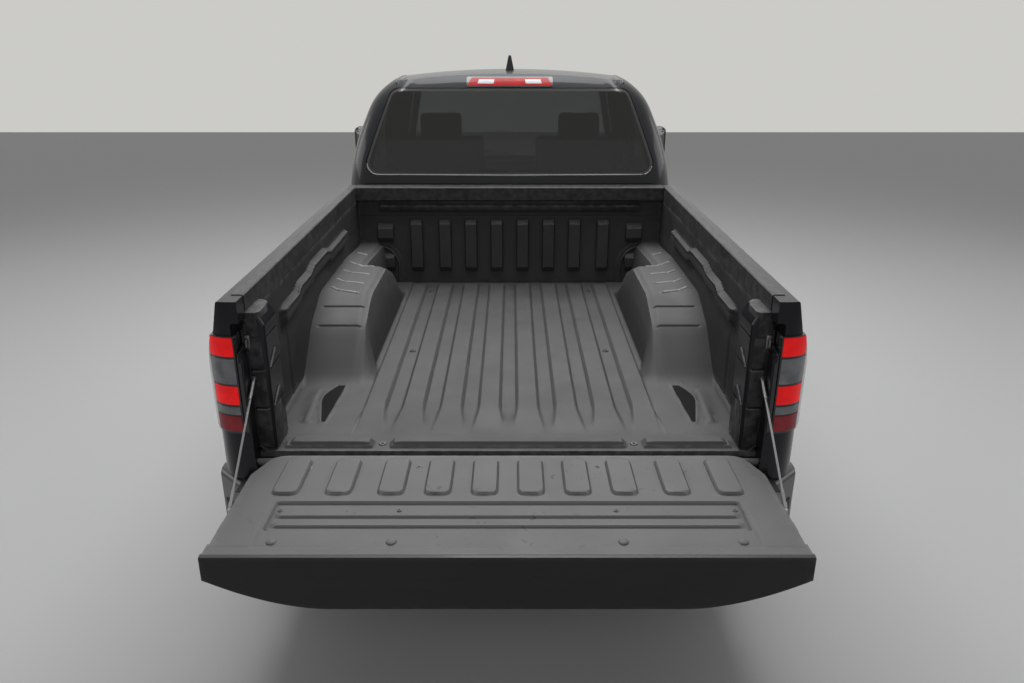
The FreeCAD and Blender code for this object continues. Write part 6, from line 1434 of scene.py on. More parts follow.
@dataclass
class LoadBed:
    """The pressed liner of the load bed: floor, wheelhouses, walls, bulkhead, pillars and rails."""

    shop: Workshop
    liner_gap: float = 0.0015
    rib_pitch: float = 0.134
    rib_half: float = 0.031
    rib_slope: float = 0.012
    rib_height: float = 0.012
    sill_height: float = 0.018
    ramp_start: float = -2.004
    ramp_end: float = -2.196
    crease_side: float = 0.512
    sill_gap_at: float = 0.402
    house_inner: float = 0.565
    house_points: tuple[Flat, ...] = ((0.57, 0.0), (0.54, 0.03), (0.39, 0.161), (0.205, 0.2375))
    house_beads: tuple[float, ...] = (-1.4, -1.28, -1.14, -1.0, -0.79)
    house_steps: tuple[float, ...] = (-1.497, -1.6)
    shelf_inner: float = 0.662
    shelf_height: float = 0.2495
    pad_centres: tuple[float, ...] = (0.067, 0.201, 0.335, 0.4824)
    pad_half: float = 0.0265
    pad_edge: float = 0.006
    pad_span: Flat = (0.8435, 1.1245)
    block_span: Flat = (0.605, 0.68)
    blocks: tuple[Flat, ...] = ((0.8435, 0.946), (0.9995, 1.102))
    pad_run: float = 0.0275
    pad_depth: float = 0.0225
    wall_route: tuple[Flat, ...] = (
        (-1.95, 1.112), (-1.79, 1.114), (-1.72, 1.133), (-1.6, 1.133),
        (-1.51, 1.149), (-1.3, 1.149), (-1.21, 1.13), (-0.86, 1.13),
    )
    axle: float = field(init=False)
    front: float = field(init=False)
    rear: float = field(init=False)
    deck: float = field(init=False)
    rail_top: float = field(init=False)
    half: float = 0.779
    striker_x: float = 0.7802

    def __post_init__(self) -> None:
        """Reads the bed's places from the frame."""
        low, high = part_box("bed_floor")
        self.front, self.rear, self.deck = high[1], low[1], high[2]
        self.rail_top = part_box("bed_side_left")[1][2]
        wheel_low, wheel_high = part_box("tyre_rear_left")
        self.axle = (wheel_low[1] + wheel_high[1]) / 2

    def house_height(self, y: float) -> float:
        """How high the wheelhouse stands above the floor's low level at a place along the bed.

        Args:
            y: The place.

        Returns:
            The height in metres.
        """

        def raw(d: float) -> float:
            """The polygon's height at a distance from the axle."""
            if d >= self.house_points[0][0]:
                return 0.0
            for (a, ha), (b, hb) in zip(self.house_points, self.house_points[1:]):
                if d >= b:
                    return ha + (hb - ha) * (a - d) / (a - b)
            return self.house_points[-1][1] + 0.002

        soft = 0.028
        shares = (-1.0, -0.5, 0.0, 0.5, 1.0)
        return sum(raw(abs(y - self.axle + soft * s)) for s in shares) / len(shares)

    def floor_height(self, x: float, y: float) -> float:
        """The liner's height on the floor and over the wheelhouses.

        Args:
            x: The place across.
            y: The place along.

        Returns:
            Z in metres.
        """
        a = abs(x)
        base = self.deck - self.rib_height + self.liner_gap
        # Ribs: every second pitch from the middle, with long ramps at the rear
        nearest = (math.floor(a / self.rib_pitch) + 0.5) * self.rib_pitch
        run_out = min(max((y - self.ramp_end) / (self.ramp_start - self.ramp_end), 0.0), 1.0)
        ramp = run_out * (1 - smooth(self.front - 0.062, self.front - 0.045, y))
        flare = 0.02 * (1 - ramp)
        off = abs(a - nearest)
        rib = 0.0
        if nearest < self.rib_pitch * 3.6:
            fall = smooth(self.rib_half + flare, self.rib_half + self.rib_slope + flare, off)
            rib = self.rib_height * ramp * (1 - fall)
        pan = 0.004 * smooth(self.crease_side - 0.003, self.crease_side + 0.003, a) if y > -2.19 else 0.0
        seam = -0.003 * plateau(a, self.crease_side - 0.0045, self.crease_side - 0.0035, 0.003) * ramp
        z = base + max(rib, pan) + seam
        # The raised sill in three runs, with a bolt between them
        start = self.rear + 0.014
        crest = plateau(y, start + 0.016, start + 0.046, 0.012)
        gap = 1 - plateau(a, self.sill_gap_at - 0.022, self.sill_gap_at + 0.022, 0.022)
        end = 1 - smooth(0.68, 0.712, a)
        swell = 0.002 * plateau(y, start, start + 0.08, 0.03)
        z = max(z, base + self.sill_height * crest * gap * end + swell)
        # A tie-down pocket beside a raised bead, at each rear corner
        inner, outer = self.pocket_edges(y)
        outside = plateau(y, -2.125, -1.755, 0.01) * plateau(a, inner - 0.004, outer + 0.004, 0.006)
        pocket_rim = outside - plateau(y, -2.115, -1.765, 0.004) * plateau(a, inner, outer, 0.003)
        z += 0.0035 * max(pocket_rim, 0.0)
        bead_at = 0.681 + (y + 2.123) * 0.068
        z += 0.008 * plateau(y, -2.11, -1.87, 0.02) * plateau(a, bead_at - 0.006, bead_at + 0.006, 0.012)
        # Wheelhouses
        house = self.house_height(y)
        if house > 0:
            lean = 0.024 + 0.05 * smooth(0.3, 0.55, abs(y - self.axle)) * (1 if y < self.axle else 0.3)
            rise = smooth(self.house_inner - 0.003 - lean, self.house_inner - 0.0025, a)
            brow = 0.012 * (1 - smooth(self.house_inner, self.house_inner + 0.03, a)) * min(house / 0.2, 1.0)
            z = max(z, base - 0.004 + (house + 0.0105) * rise - brow * rise)
            for at in self.house_steps:
                deep = plateau(a, self.house_inner + 0.02, 0.74, 0.01)
                z -= 0.0055 * deep * plateau(y, at - 0.003, at + 0.002, 0.004)
        # The wheelhouse's outer part runs on to the bulkhead
        along = smooth(-1.2, -1.1, y)
        if along > 0:
            top = (self.shelf_height - 0.028 * smooth(-0.95, self.front, y)) * along
            brow = 0.014 * (1 - smooth(self.shelf_inner, self.shelf_inner + 0.03, a))
            rise = smooth(self.shelf_inner - 0.034, self.shelf_inner, a)
            z = max(z, base - 0.004 + (top - brow) * rise)
        # The round cove where floor meets side wall
        cove = smooth(0.745, 0.779, a)
        z = max(z, base + 0.02 * cove * cove)
        return z

    def pocket_edges(self, y: float) -> Flat:
        """The inner and outer edge of the tie-down pocket at a place along the bed.

        Args:
            y: The place.

        Returns:
            The two places across, both positive.
        """
        line = (y + 2.136) / 0.39
        inner = 0.622 - 0.0174 * line
        outer = inner + 0.1 * min(max(line, 0.0), 1.0) * (1 - smooth(0.45, 1.0, line)) + 0.006
        return inner, max(outer, inner + 0.008)

    def build_pockets(self) -> None:
        """Painted shade in the tie-down pockets at the floor's rear corners: flat near-black patches that
        stand in for the shade in the openings.
        """
        places = spread(-2.112, -1.768, 0.02)
        inner = [(self.pocket_edges(y)[0], y) for y in places]
        outer = [(self.pocket_edges(y)[1], y) for y in reversed(places)]
        base = self.deck - self.rib_height + self.liner_gap
        for side in Side:
            shade_patch = prism(
                f"floor_pocket_{side.word}", inner + outer, lambda a, y, z, s=side.value: (s * a, y, z),
                base + 0.0046, base + 0.0059,
            )
            self.shop.fit(shade_patch, "chassis", POCKET_SHADE)

    def build_beads(self) -> None:
        """Beads that cross each wheelhouse's top, in a light liner colour that paints the highlight on their
        tops.
        """
        for side in Side:
            beads = []
            for at in self.house_beads:
                inner = 0.612 if at < -0.9 else 0.685
                points = []
                for a in spread(inner, 0.748, 0.01):
                    y = at + (a - 0.66) * 0.3 + max(a - 0.705, 0.0) * 0.9
                    points.append((side.value * a, y, self.floor_height(a, y) - 0.0035))
                ends = [points[0], points[-1]]
                points[0], points[-1] = ((x, y, z - 0.007) for x, y, z in ends)
                beads.append(bar(f"house_bead_{side.word}_{at}", points, 0.008, 16))
            # The beads' light colour is a painted highlight
            self.shop.fit(joined(f"house_beads_{side.word}", beads), "chassis", BEAD_HIGHLIGHT_LINER)

    def build_floor(self) -> None:
        """The pressed floor with its wheelhouses, as one sheet."""
        zones = [(0.54, 0.7), (0.735, 0.78)]
        for i in range(4):
            centre = (i + 0.5) * self.rib_pitch
            zones += [(centre - 0.064, centre - 0.029), (centre + 0.029, centre + 0.064)]
        zones += [(0.372, 0.432), (self.crease_side - 0.012, self.crease_side + 0.006)]
        edges = []
        for i in range(4):
            centre = (i + 0.5) * self.rib_pitch
            for sign in (-1, 1):
                foot, top = centre + sign * (self.rib_half + self.rib_slope), centre + sign * self.rib_half
                edges.append((min(foot, top), max(foot, top)))
        positive = lines(0.0, self.half, 0.02, 0.0055, zones, edges)
        us = both_ways(positive)
        along_zones = [(self.rear, self.rear + 0.11), (-0.53, self.front), (-2.14, -2.08), (-1.08, -0.92)]
        edges = [(self.rear + 0.018, self.rear + 0.03), (self.rear + 0.06, self.rear + 0.072)]
        for at in self.house_steps:
            edges += [(at - 0.007, at - 0.003), (at + 0.002, at + 0.006)]
        vs = lines(self.rear + 0.001, self.front - 0.002, 0.021, 0.0075, along_zones, edges)
        sheet = pressed_sheet(
            "bed_liner_floor", us, vs, lambda x, y: (x, y, self.floor_height(x, y)), (0.0, 0.0, -0.0035)
        )
        self.shop.fit(sheet, "chassis", LINER)
        self.build_pockets()
        self.build_beads()

    def wall_depth(self, y: float, z: float) -> float:
        """How far the side wall's liner stands in from the wall.

        Args:
            y: The place along.
            z: The height.

        Returns:
            The depth in metres.
        """
        route = self.wall_route
        centre = route[0][1] if y < route[0][0] else route[-1][1]
        for (a, ha), (b, hb) in zip(route, route[1:]):
            if a <= y <= b:
                centre = ha + (hb - ha) * smooth(a, b, y)
        along = plateau(y, route[0][0], route[-1][0], 0.03)
        ledge = plateau(z, centre - 0.022, centre + 0.018, 0.011)
        groove = plateau(z, centre + 0.002, centre + 0.006, 0.006)
        depth = along * (0.0225 * ledge - 0.003 * groove)
        # Shallow steps below the ledge, and a lip above it
        lower = 0.006 * (1 - smooth(centre - 0.09, centre - 0.06, z)) * plateau(y, -2.1, -0.52, 0.03)
        for at in (-1.93, -0.8):
            lower -= 0.004 * plateau(y, at - 0.006, at + 0.006, 0.01) * (1 - smooth(1.05, 1.09, z))
        return depth + max(lower, 0.0)

    def build_walls(self) -> None:
        """The liner on both side walls, with its stepped ledge."""
        knots = [y for y, _ in self.wall_route]
        us = lines(self.rear + 0.14, self.front - 0.002, 0.03, 0.009, [(y - 0.05, y + 0.05) for y in knots])
        low = self.deck + 0.012
        vs = lines(low, 1.222, 0.024, 0.006, [(1.08, 1.18)])
        for side in Side:
            def place(y: float, z: float, sign: int = side.value) -> Point:
                """The liner's place on the wall."""
                return (sign * (self.half - 0.0005 - self.wall_depth(y, z)), y, z)

            wall = pressed_sheet(f"wall_liner_{side.word}", us, vs, place, (side.value * 0.004, 0.0, 0.0))
            # The side walls take a darker copy of the liner: painted shade
            self.shop.fit(wall, "chassis", DEEP_SHADED_SIDE_LINER)

    def bulkhead_depth(self, x: float, z: float) -> float:
        """How far the bulkhead's liner stands out towards the tail.

        Args:
            x: The place across.
            z: The height.

        Returns:
            The depth in metres.
        """
        a = abs(x)
        depth = 0.0
        for centre in self.pad_centres:
            pad = plateau(a, centre - self.pad_half, centre + self.pad_half, self.pad_edge)
            depth = max(depth, self.pad_depth * (pad * chamfered(z, *self.pad_span, self.pad_run)))
        for low, high in self.blocks:
            block = plateau(a, *self.block_span, self.pad_edge) * chamfered(z, low, high, self.pad_run)
            depth = max(depth, self.pad_depth * block)
        # Arched beads round the wheelhouse's end, as pressed panels have
        reach = math.hypot(max(0.69 - a, 0.0), max(z - 0.87, 0.0))
        bead = 0.0085 * plateau(reach, 0.107, 0.111, 0.006)
        depth = max(depth, bead, 0.003 * (1 - smooth(0.13, 0.133, reach)))
        depth -= 0.0015 * plateau(z, 1.135, 1.139, 0.003)
        return depth

    def build_bulkhead(self) -> None:
        """The bulkhead's liner, its utility track and the track's bolts."""
        edges = [(0.599, 0.605), (0.68, 0.686)]
        for centre in self.pad_centres:
            edges += [(centre - 0.0325, centre - self.pad_half), (centre + self.pad_half, centre + 0.0325)]
        positive = lines(0.0, self.half - 0.002, 0.024, 0.004, [(0.55, 0.72)], edges)
        us = both_ways(positive)
        edges = [(1.132, 1.135), (1.139, 1.142)]
        for low, high in (self.pad_span, *self.blocks):
            edges += [(low, low + self.pad_run), (high - self.pad_run, high)]
        vs = lines(self.deck + 0.003, 1.226, 0.024, 0.0045, [(self.deck, 1.01)], edges)
        face = self.front - 0.0018
        sheet = pressed_sheet(
            "bulkhead_liner", us, vs, lambda x, z: (x, face - self.bulkhead_depth(x, z), z), (0.0, 0.004, 0.0)
        )
        # The bulkhead takes a darker copy of the liner: painted shade
        self.shop.fit(sheet, "chassis", SHADED_WALL_LINER)
        top, low, proud, half = 1.219, 1.169, 0.0275, 0.6615
        lip, gap, deep = 0.009, 0.0115, 0.016
        outline = (
            (0.0, low), (proud, low), (proud, low + lip + gap), (proud - deep, low + lip + gap),
            (proud - deep, top - lip - gap), (proud, top - lip - gap), (proud, top), (0.0, top),
        )
        channel = prism(
            "utility_track", outline, lambda d, z, x: (x, self.front - d, z), -half, half, 0.0015
        )
        self.shop.fit(channel, "chassis", CAP_PLASTIC)
        middle = (top + low) / 2
        across = (-0.62, -0.31, 0.0, 0.31, 0.62)
        places = [((x, self.front - proud + deep, middle), BACKWARD) for x in across]
        self.shop.fit(bolt_heads("track_bolts", places, 0.0085, 0.006), "chassis", STEEL)

    def build_pillars(self) -> None:
        """Stacked, creased blocks on the tail pillars, with striker, bump stop and seal."""
        levels = ((0.792, 0.926, 0.0), (0.929, 1.054, 0.002), (1.057, 1.158, 0.0035), (1.161, 1.2395, 0.012))
        for side in Side:
            sign = side.value
            blocks = []
            for k, (low, high, back) in enumerate(levels):
                inner = 0.7245 + back
                outline = (
                    (0.79, -2.309), (inner + 0.012, -2.309), (inner, -2.295), (inner, -2.225),
                    (inner + 0.022, -2.172), (0.79, -2.172),
                )
                name = f"pillar_block_{side.word}_{k}"
                blocks.append(prism(name, outline, lambda x, y, z, s=sign: (s * x, y, z), low, high, 0.006))
            # The pillar blocks take the side walls' darker copy of the liner: painted shade
            self.shop.fit(joined(f"pillar_trim_{side.word}", blocks), "chassis", DEEP_SHADED_SIDE_LINER)
            creases = []
            for z in (0.927, 1.055):
                x0 = 0.7235
                points = [(sign * 0.775, -2.3105, z - 0.004), (sign * 0.742, -2.3105, z - 0.004),
                          (sign * (x0 + 0.001), -2.296, z + 0.004), (sign * x0, -2.235, z + 0.045)]
                creases.append(bar(f"crease_{side.word}_{z}", points, 0.0035, 8))
            self.shop.fit(joined(f"pillar_creases_{side.word}", creases), "chassis", LINER)
            runs = []
            for low, high in ((0.83, 1.118), (1.175, 1.205)):
                points = [(sign * 0.7835, -2.3125, z) for z in spread(low, high, 0.04)]
                runs.append(bar(f"seal_run_{side.word}_{low}", points, 0.0045, 10))
            self.shop.fit(joined(f"gate_seal_{side.word}", runs), "chassis", BLACK_TRIM)
            self.build_striker(side)

    def build_striker(self, side: Side) -> None:
        """The latch striker and the square bump stop on a pillar.

        Args:
            side: The side.
        """
        sign = side.value
        plate_low, plate_high = sorted((sign * 0.7725, sign * 0.7885))
        box_piece = rounded_box(
            f"striker_plate_{side.word}", (plate_low, -2.3125, 1.125), (plate_high, -2.3085, 1.168), 0.0018
        )
        pin = bar(
            f"striker_pin_{side.word}",
            [(sign * self.striker_x, y, z)
             for y, z in ((-2.3105, 1.134), (-2.325, 1.137), (-2.325, 1.156), (-2.3105, 1.159))], 0.003, 10,
        )
        self.shop.fit(joined(f"gate_striker_{side.word}", [box_piece, pin]), "chassis", STEEL)
        stop_low, stop_high = sorted((sign * 0.736, sign * 0.762))
        stop = rounded_box(
            f"bump_stop_{side.word}", (stop_low, -2.3135, 0.828), (stop_high, -2.3085, 0.856), 0.002
        )
        self.shop.fit(stop, "chassis", BLACK_TRIM)

    def build_rails(self) -> None:
        """Grained caps on the side rails and on the bulkhead."""
        top = self.rail_top
        for side in Side:
            sign = side.value
            outline = (
                (0.8165, top - 0.001), (0.8145, top + 0.0022), (0.7815, top + 0.0022), (0.7783, top - 0.001),
                (0.7783, 1.2235), (0.7845, 1.2235), (0.7845, top - 0.006), (0.8165, top - 0.006),
            )
            cap = prism(
                f"rail_cap_{side.word}", outline, lambda x, z, y, s=sign: (s * x, y, z),
                -2.30, self.front + 0.02,
            )
            self.shop.fit(cap, "chassis", CAP_PLASTIC)
        low = 1.2265
        outline = (
            (0.0465, low), (0.0465, top - 0.001), (0.043, top + 0.0022), (-0.03, top + 0.0022),
            (-0.03, top - 0.004), (0.0, top - 0.004), (0.038, low),
        )
        cap = prism("bulkhead_cap", outline, lambda d, z, x: (x, self.front - d, z), -0.7775, 0.7775)
        self.shop.fit(cap, "chassis", CAP_PLASTIC)

    def build_fixings(self) -> None:
        """Bolts in the floor and the sill, and the strip that closes the floor's rear edge."""
        spots = ((self.sill_gap_at, self.rear + 0.045), (0.4, -0.62), (0.4, -1.45))
        places = [((sign * x, y, self.deck - 0.0105), UP) for x, y in spots for sign in (-1, 1)]
        self.shop.fit(bolt_heads("floor_bolts", places, 0.0125, 0.005), "chassis", DARK_STEEL)
        low, high = (-0.775, self.rear + 0.0025, 0.706), (0.775, self.rear + 0.015, 0.7625)
        sill = rounded_box("bed_rear_sill", low, high, 0.003)
        self.shop.fit(sill, "chassis", CHASSIS)

    def build(self) -> None:
        """Builds the whole bed."""
        self.build_floor()
        self.build_walls()
        self.build_bulkhead()
        self.build_pillars()
        self.build_rails()
        self.build_fixings()


@dataclass
class Tailgate:
    """The lowered tailgate's liner, its deep cap, its bolts and its latches."""

    shop: Workshop
    face: float = 0.780
    start: float = -2.344
    tip: float = -2.872
    narrow: float = 0.722
    wide: float = 0.767
    taper: float = 0.118
    pad_half: float = 0.032
    pad_round: float = 0.017
    knee: float = 0.682
    pad_shares: tuple[float, ...] = (0.5, 1.5, 2.5, 3.62, 4.75)
    pitch: float = 0.134
    panel_half: float = 0.648
    cap_half: float = 0.772
    pad_middle: float = 0.1305
    pad_reach: float = 0.0975
    bead_places: tuple[float, ...] = (0.325, 0.372)
    corner: float = 0.046

    def half_width(self, d: float) -> float:
        """The gate's half width at a distance from its hinge edge.

        Args:
            d: The distance.

        Returns:
            The half width in metres.
        """
        return self.narrow + (self.wide - self.narrow) * min(d / self.taper, 1.0)

    def height(self, x: float, d: float) -> float:
        """The liner's height over the gate's face.

        Args:
            x: The place across.
            d: The distance from the hinge edge.

        Returns:
            The height in metres.
        """
        a = abs(x)
        z = 0.0015
        for share in self.pad_shares:
            centre = share * self.pitch
            past_side = max(abs(a - centre) - (self.pad_half + 0.001 - self.pad_round), 0.0)
            past_end = max(abs(d - self.pad_middle) - (self.pad_reach - self.pad_round), 0.0)
            off = math.hypot(past_side, past_end) - self.pad_round
            z = max(z, 0.0015 + 0.0095 * (1 - smooth(0.0, 0.0065, off)))
        recess = plateau(a, 0.0, self.panel_half - 0.006, 0.008) * plateau(d, 0.2705, 0.3995, 0.008)
        z -= 0.0085 * recess
        for at in self.bead_places:
            bead = plateau(a, 0.0, 0.622, 0.01) * plateau(d, at - 0.007, at + 0.007, 0.006)
            z = max(z, -0.007 + 0.0065 * bead) if bead > 0 else z
        border = max(
            plateau(a, self.panel_half + 0.008, self.panel_half + 0.012, 0.006)
            * plateau(d, 0.262, 0.476, 0.004),
            plateau(d, 0.4745, 0.4775, 0.004) * (1 - smooth(0.66, 0.668, a)),
        )
        z -= 0.0012 * border
        band = plateau(d, 0.49, 0.516, 0.008)
        z += 0.004 * band
        z -= 0.002 * plateau(d, 0.481, 0.484, 0.003)
        return z

    def build_face(self) -> None:
        """The pressed inner face, as one sheet."""
        zones = []
        for share in self.pad_shares:
            centre = share * self.pitch
            zones += [(centre - 0.044, centre - 0.028), (centre + 0.028, centre + 0.044)]
        zones += [(0.6, 0.67)]
        edges = []
        for share in self.pad_shares:
            for sign in (-1, 1):
                foot, top = (share * self.pitch + sign * (self.pad_half + by) for by in (0.0075, 0.001))
                edges.append((min(foot, top), max(foot, top)))
        positive = lines(0.0, self.wide - 0.001, 0.022, 0.0055, zones, edges)
        us = both_ways(positive)
        edges = [
            (0.0265, 0.033), (0.228, 0.2345), (0.2625, 0.2705),
            (0.3995, 0.4075), (0.482, 0.49), (0.516, 0.5189),
        ]
        for at in self.bead_places:
            edges += [(at - 0.013, at - 0.007), (at + 0.007, at + 0.013)]
        zones = [(0.02, 0.055), (0.205, 0.24), (0.255, 0.42), (0.468, 0.52)]
        ds = lines(0.001, 0.519, 0.02, 0.005, zones, edges)

        def place(u: float, d: float) -> Point:
            """A grid point on the face, drawn in where the gate narrows."""
            half = self.half_width(d) - 0.001
            if d < self.corner:
                half -= self.corner - math.sqrt(max(self.corner**2 - (self.corner - d) ** 2, 0.0))
            knee = min(self.knee, half - 0.02)
            if abs(u) <= self.knee:
                x = u / self.knee * knee
            else:
                x = knee + (abs(u) - self.knee) / (self.wide - 0.001 - self.knee) * (half - knee)
                x = math.copysign(x, u)
            return (x, self.start - d, self.face + self.height(x, d))

        sheet = pressed_sheet("gate_liner", us, ds, place, (0.0, 0.0, -0.0025))
        # The gate's face takes a lighter copy of the liner: painted light
        self.shop.fit(sheet, "tailgate", LIT_GATE_LINER)

    def cap_depth(self, x: float) -> float:
        """How deep the cap's rear face reaches at a place across.

        Args:
            x: The place across.

        Returns:
            The depth below the gate's face in metres.
        """
        a = abs(x)
        t = min(max((a - 0.46) / (self.cap_half - 0.46), 0.0), 1.0)
        return 0.152 - 0.088 * t**1.8

    def build_cap(self) -> None:
        """The grained cap: a strip on the top edge and the deep rear face with its creases."""
        us = spread(-1.0, 1.0, 0.03)
        profile = spread(0.0, 1.0, 0.045)

        def place(u: float, v: float) -> Point:
            """A point on the cap, from its front lip over the edge and down the rear face."""
            x = u * (self.cap_half + 0.0012)
            depth = self.cap_depth(x)
            if v < 0.25:
                t = v / 0.25
                return (x, self.tip + 0.012 - 0.0125 * t, self.face + 0.0045 - 0.0015 * t)
            t = (v - 0.25) / 0.75
            z = self.face + 0.001 - (depth + 0.0015) * t
            crease = 0.0016 * plateau(t, 0.33, 0.36, 0.05) + 0.0014 * plateau(t, 0.6, 0.63, 0.05)
            fold = crease * (1 - smooth(0.5, 0.6, abs(x)))
            return (x, self.tip - 0.0018 - fold, z)

        sheet = pressed_sheet("gate_cap", us, profile, place, (0.0, 0.004, -0.001))
        self.shop.fit(sheet, "tailgate", CAP_PLASTIC)

    def spots(self, back: float, lift: float, across: Sequence[float]) -> list[Ray]:
        """Upright places on the gate's face.

        Args:
            back: Their distance from the hinge edge.
            lift: Their height over the face.
            across: Their distances from the middle, on both sides.

        Returns:
            The foot and the outward way of each.
        """
        y, z = self.start - back, self.face + lift
        return [((s * x, y, z), UP) for s in (-1, 1) for x in across]

    def build_fixings(self) -> None:
        """Panel bolts, clips, drain plugs and edge latches."""
        bolts = bolt_heads("gate_bolts", self.spots(0.458, 0.001, (0.3, 0.61)), 0.0145, 0.0065, True)
        # The bolts and clips share the gate's lighter copy of the liner: painted light
        self.shop.fit(bolts, "tailgate", LIT_GATE_LINER)
        clips = bolt_heads("gate_clips", self.spots(0.3, -0.0075, (0.3, 0.63)), 0.007, 0.004)
        self.shop.fit(clips, "tailgate", LIT_GATE_LINER)
        plugs = bolt_heads("gate_plugs", self.spots(0.071, 0.0008, (0.27, 0.6)), 0.0085, 0.002)
        self.shop.fit(plugs, "tailgate", DARK_STEEL)
        for side in Side:
            sign = side.value
            y = self.start - 0.382
            low, high = sorted((sign * (self.wide + 0.0015), sign * (self.wide + 0.0045)))
            plate = rounded_box(
                f"latch_plate_{side.word}", (low, y - 0.024, 0.734), (high, y + 0.024, 0.776), 0.001
            )
            outline = (
                (y - 0.016, 0.742), (y + 0.012, 0.742), (y + 0.016, 0.752), (y - 0.002, 0.756),
                (y - 0.002, 0.768), (y - 0.012, 0.772), (y - 0.018, 0.764),
            )
            hook = prism(
                f"latch_hook_{side.word}", outline, lambda a, b, x: (x, a, b),
                sign * (self.wide + 0.004), sign * (self.wide + 0.0065), 0.0008,
            )
            self.shop.fit(joined(f"gate_latch_{side.word}", [plate, hook]), "tailgate", STEEL)

    def build(self) -> None:
        """Builds the tailgate's pieces."""
        self.build_face()
        self.build_cap()
        self.build_fixings()


@dataclass
class TailLamps:
    """The stacked lenses of the wrap-round tail lamps and the high stop lamp's lenses."""

    shop: Workshop
    inner: float = 0.803
    centre_x: float = 0.80
    centre_y: float = -2.30
    wrap: float = 0.05
    reach: float = 0.4
    edge_turn: float = 40.0
    rows: tuple[tuple[float, float, Finish], ...] = (
        (1.124, 1.182, RED_LENS), (1.036, 1.116, SMOKE_LENS), (0.969, 1.028, RED_LENS),
        (0.936, 0.961, SMOKE_LENS), (0.88, 0.93, DIM_RED_LENS),
    )

    def rays(
        self, side: Side, low: float, high: float, turns: Flat, flat: bool
    ) -> list[list[Ray]]:
        """Rays that meet the lamp from behind and from beside it.

        Args:
            side: The side.
            low: The lowest height.
            high: The highest height.
            turns: From where to where it turns round the corner, in degrees.
            flat: Whether the rear face counts too.

        Returns:
            Rows of rays.
        """
        sign = side.value
        grid = []
        for z in spread(low, high, 0.0045):
            row = []
            cx, cy = self.centre_x + self.wrap, self.centre_y
            if flat:
                for x in spread(self.inner, cx, 0.006):
                    row.append(((sign * x, -2.9, z), FORWARD))
            for turn in spread(*turns, 4.0):
                a = math.radians(turn)
                out = (sign * math.sin(a), -math.cos(a))
                start = (sign * cx + out[0] * self.reach, cy + out[1] * self.reach, z)
                row.append((start, (-out[0], -out[1], 0.0)))
            grid.append(row)
        return grid

    def build(self) -> None:
        """Lays the lenses on both lamps and on the stop lamp."""
        for side in Side:
            for k, (low, high, finish) in enumerate(self.rows):
                name = f"tail_lens_{side.word}_{k}"
                grid = self.rays(side, low, high, (5.0, self.edge_turn - 3.0), True)
                self.shop.fit(self.shop.skin(name, "tail_lamps", grid, 0.0022, 0.0018), "chassis", finish)
            grid = self.rays(side, self.rows[-1][0], self.rows[0][1], (self.edge_turn, 82.0), False)
            edge = self.shop.skin(f"tail_lens_edge_{side.word}", "tail_lamps", grid, 0.0022, 0.0018)
            self.shop.fit(edge, "chassis", CLEAR_LENS)
            rows = [
                [((side.value * x, -FAR, z), FORWARD) for x in spread(0.7865, 0.8005, 0.0035)]
                for z in spread(0.874, 1.184, 0.02)
            ]
            strip = self.shop.skin(f"lamp_strip_{side.word}", f"bed_side_{side.word}", rows, 0.002, 0.0018)
            self.shop.fit(strip, "chassis", PIANO_BLACK)
        self.build_stop_lamp()

    def build_stop_lamp(self) -> None:
        """One red lens that widens downward, with two clear windows in it."""
        low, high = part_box("stop_lamp")
        bottom, top = low[2] + 0.005, high[2] - 0.005

        def rows(left: float, right: float, inset: float) -> list[list[Ray]]:
            """Rays over a stretch of the lamp, drawn in towards its top."""
            grid = []
            for z in spread(bottom + inset, top - inset, 0.004):
                taper = 1.0 - 0.1 * (z - bottom) / (top - bottom)
                grid.append([((x * taper, -0.8, z), FORWARD) for x in spread(left, right, 0.006)])
            return grid

        whole = self.shop.skin("stop_lens", "stop_lamp", rows(-0.218, 0.218, 0.0), 0.0014, 0.0012)
        self.shop.fit(whole, "chassis", STOP_LENS)
        for k, (left, right) in enumerate(((-0.17, -0.085), (0.085, 0.17))):
            window = self.shop.skin(f"stop_window_{k}", "stop_lamp", rows(left, right, 0.009), 0.0024, 0.0008)
            self.shop.fit(window, "chassis", CLEAR_LENS)


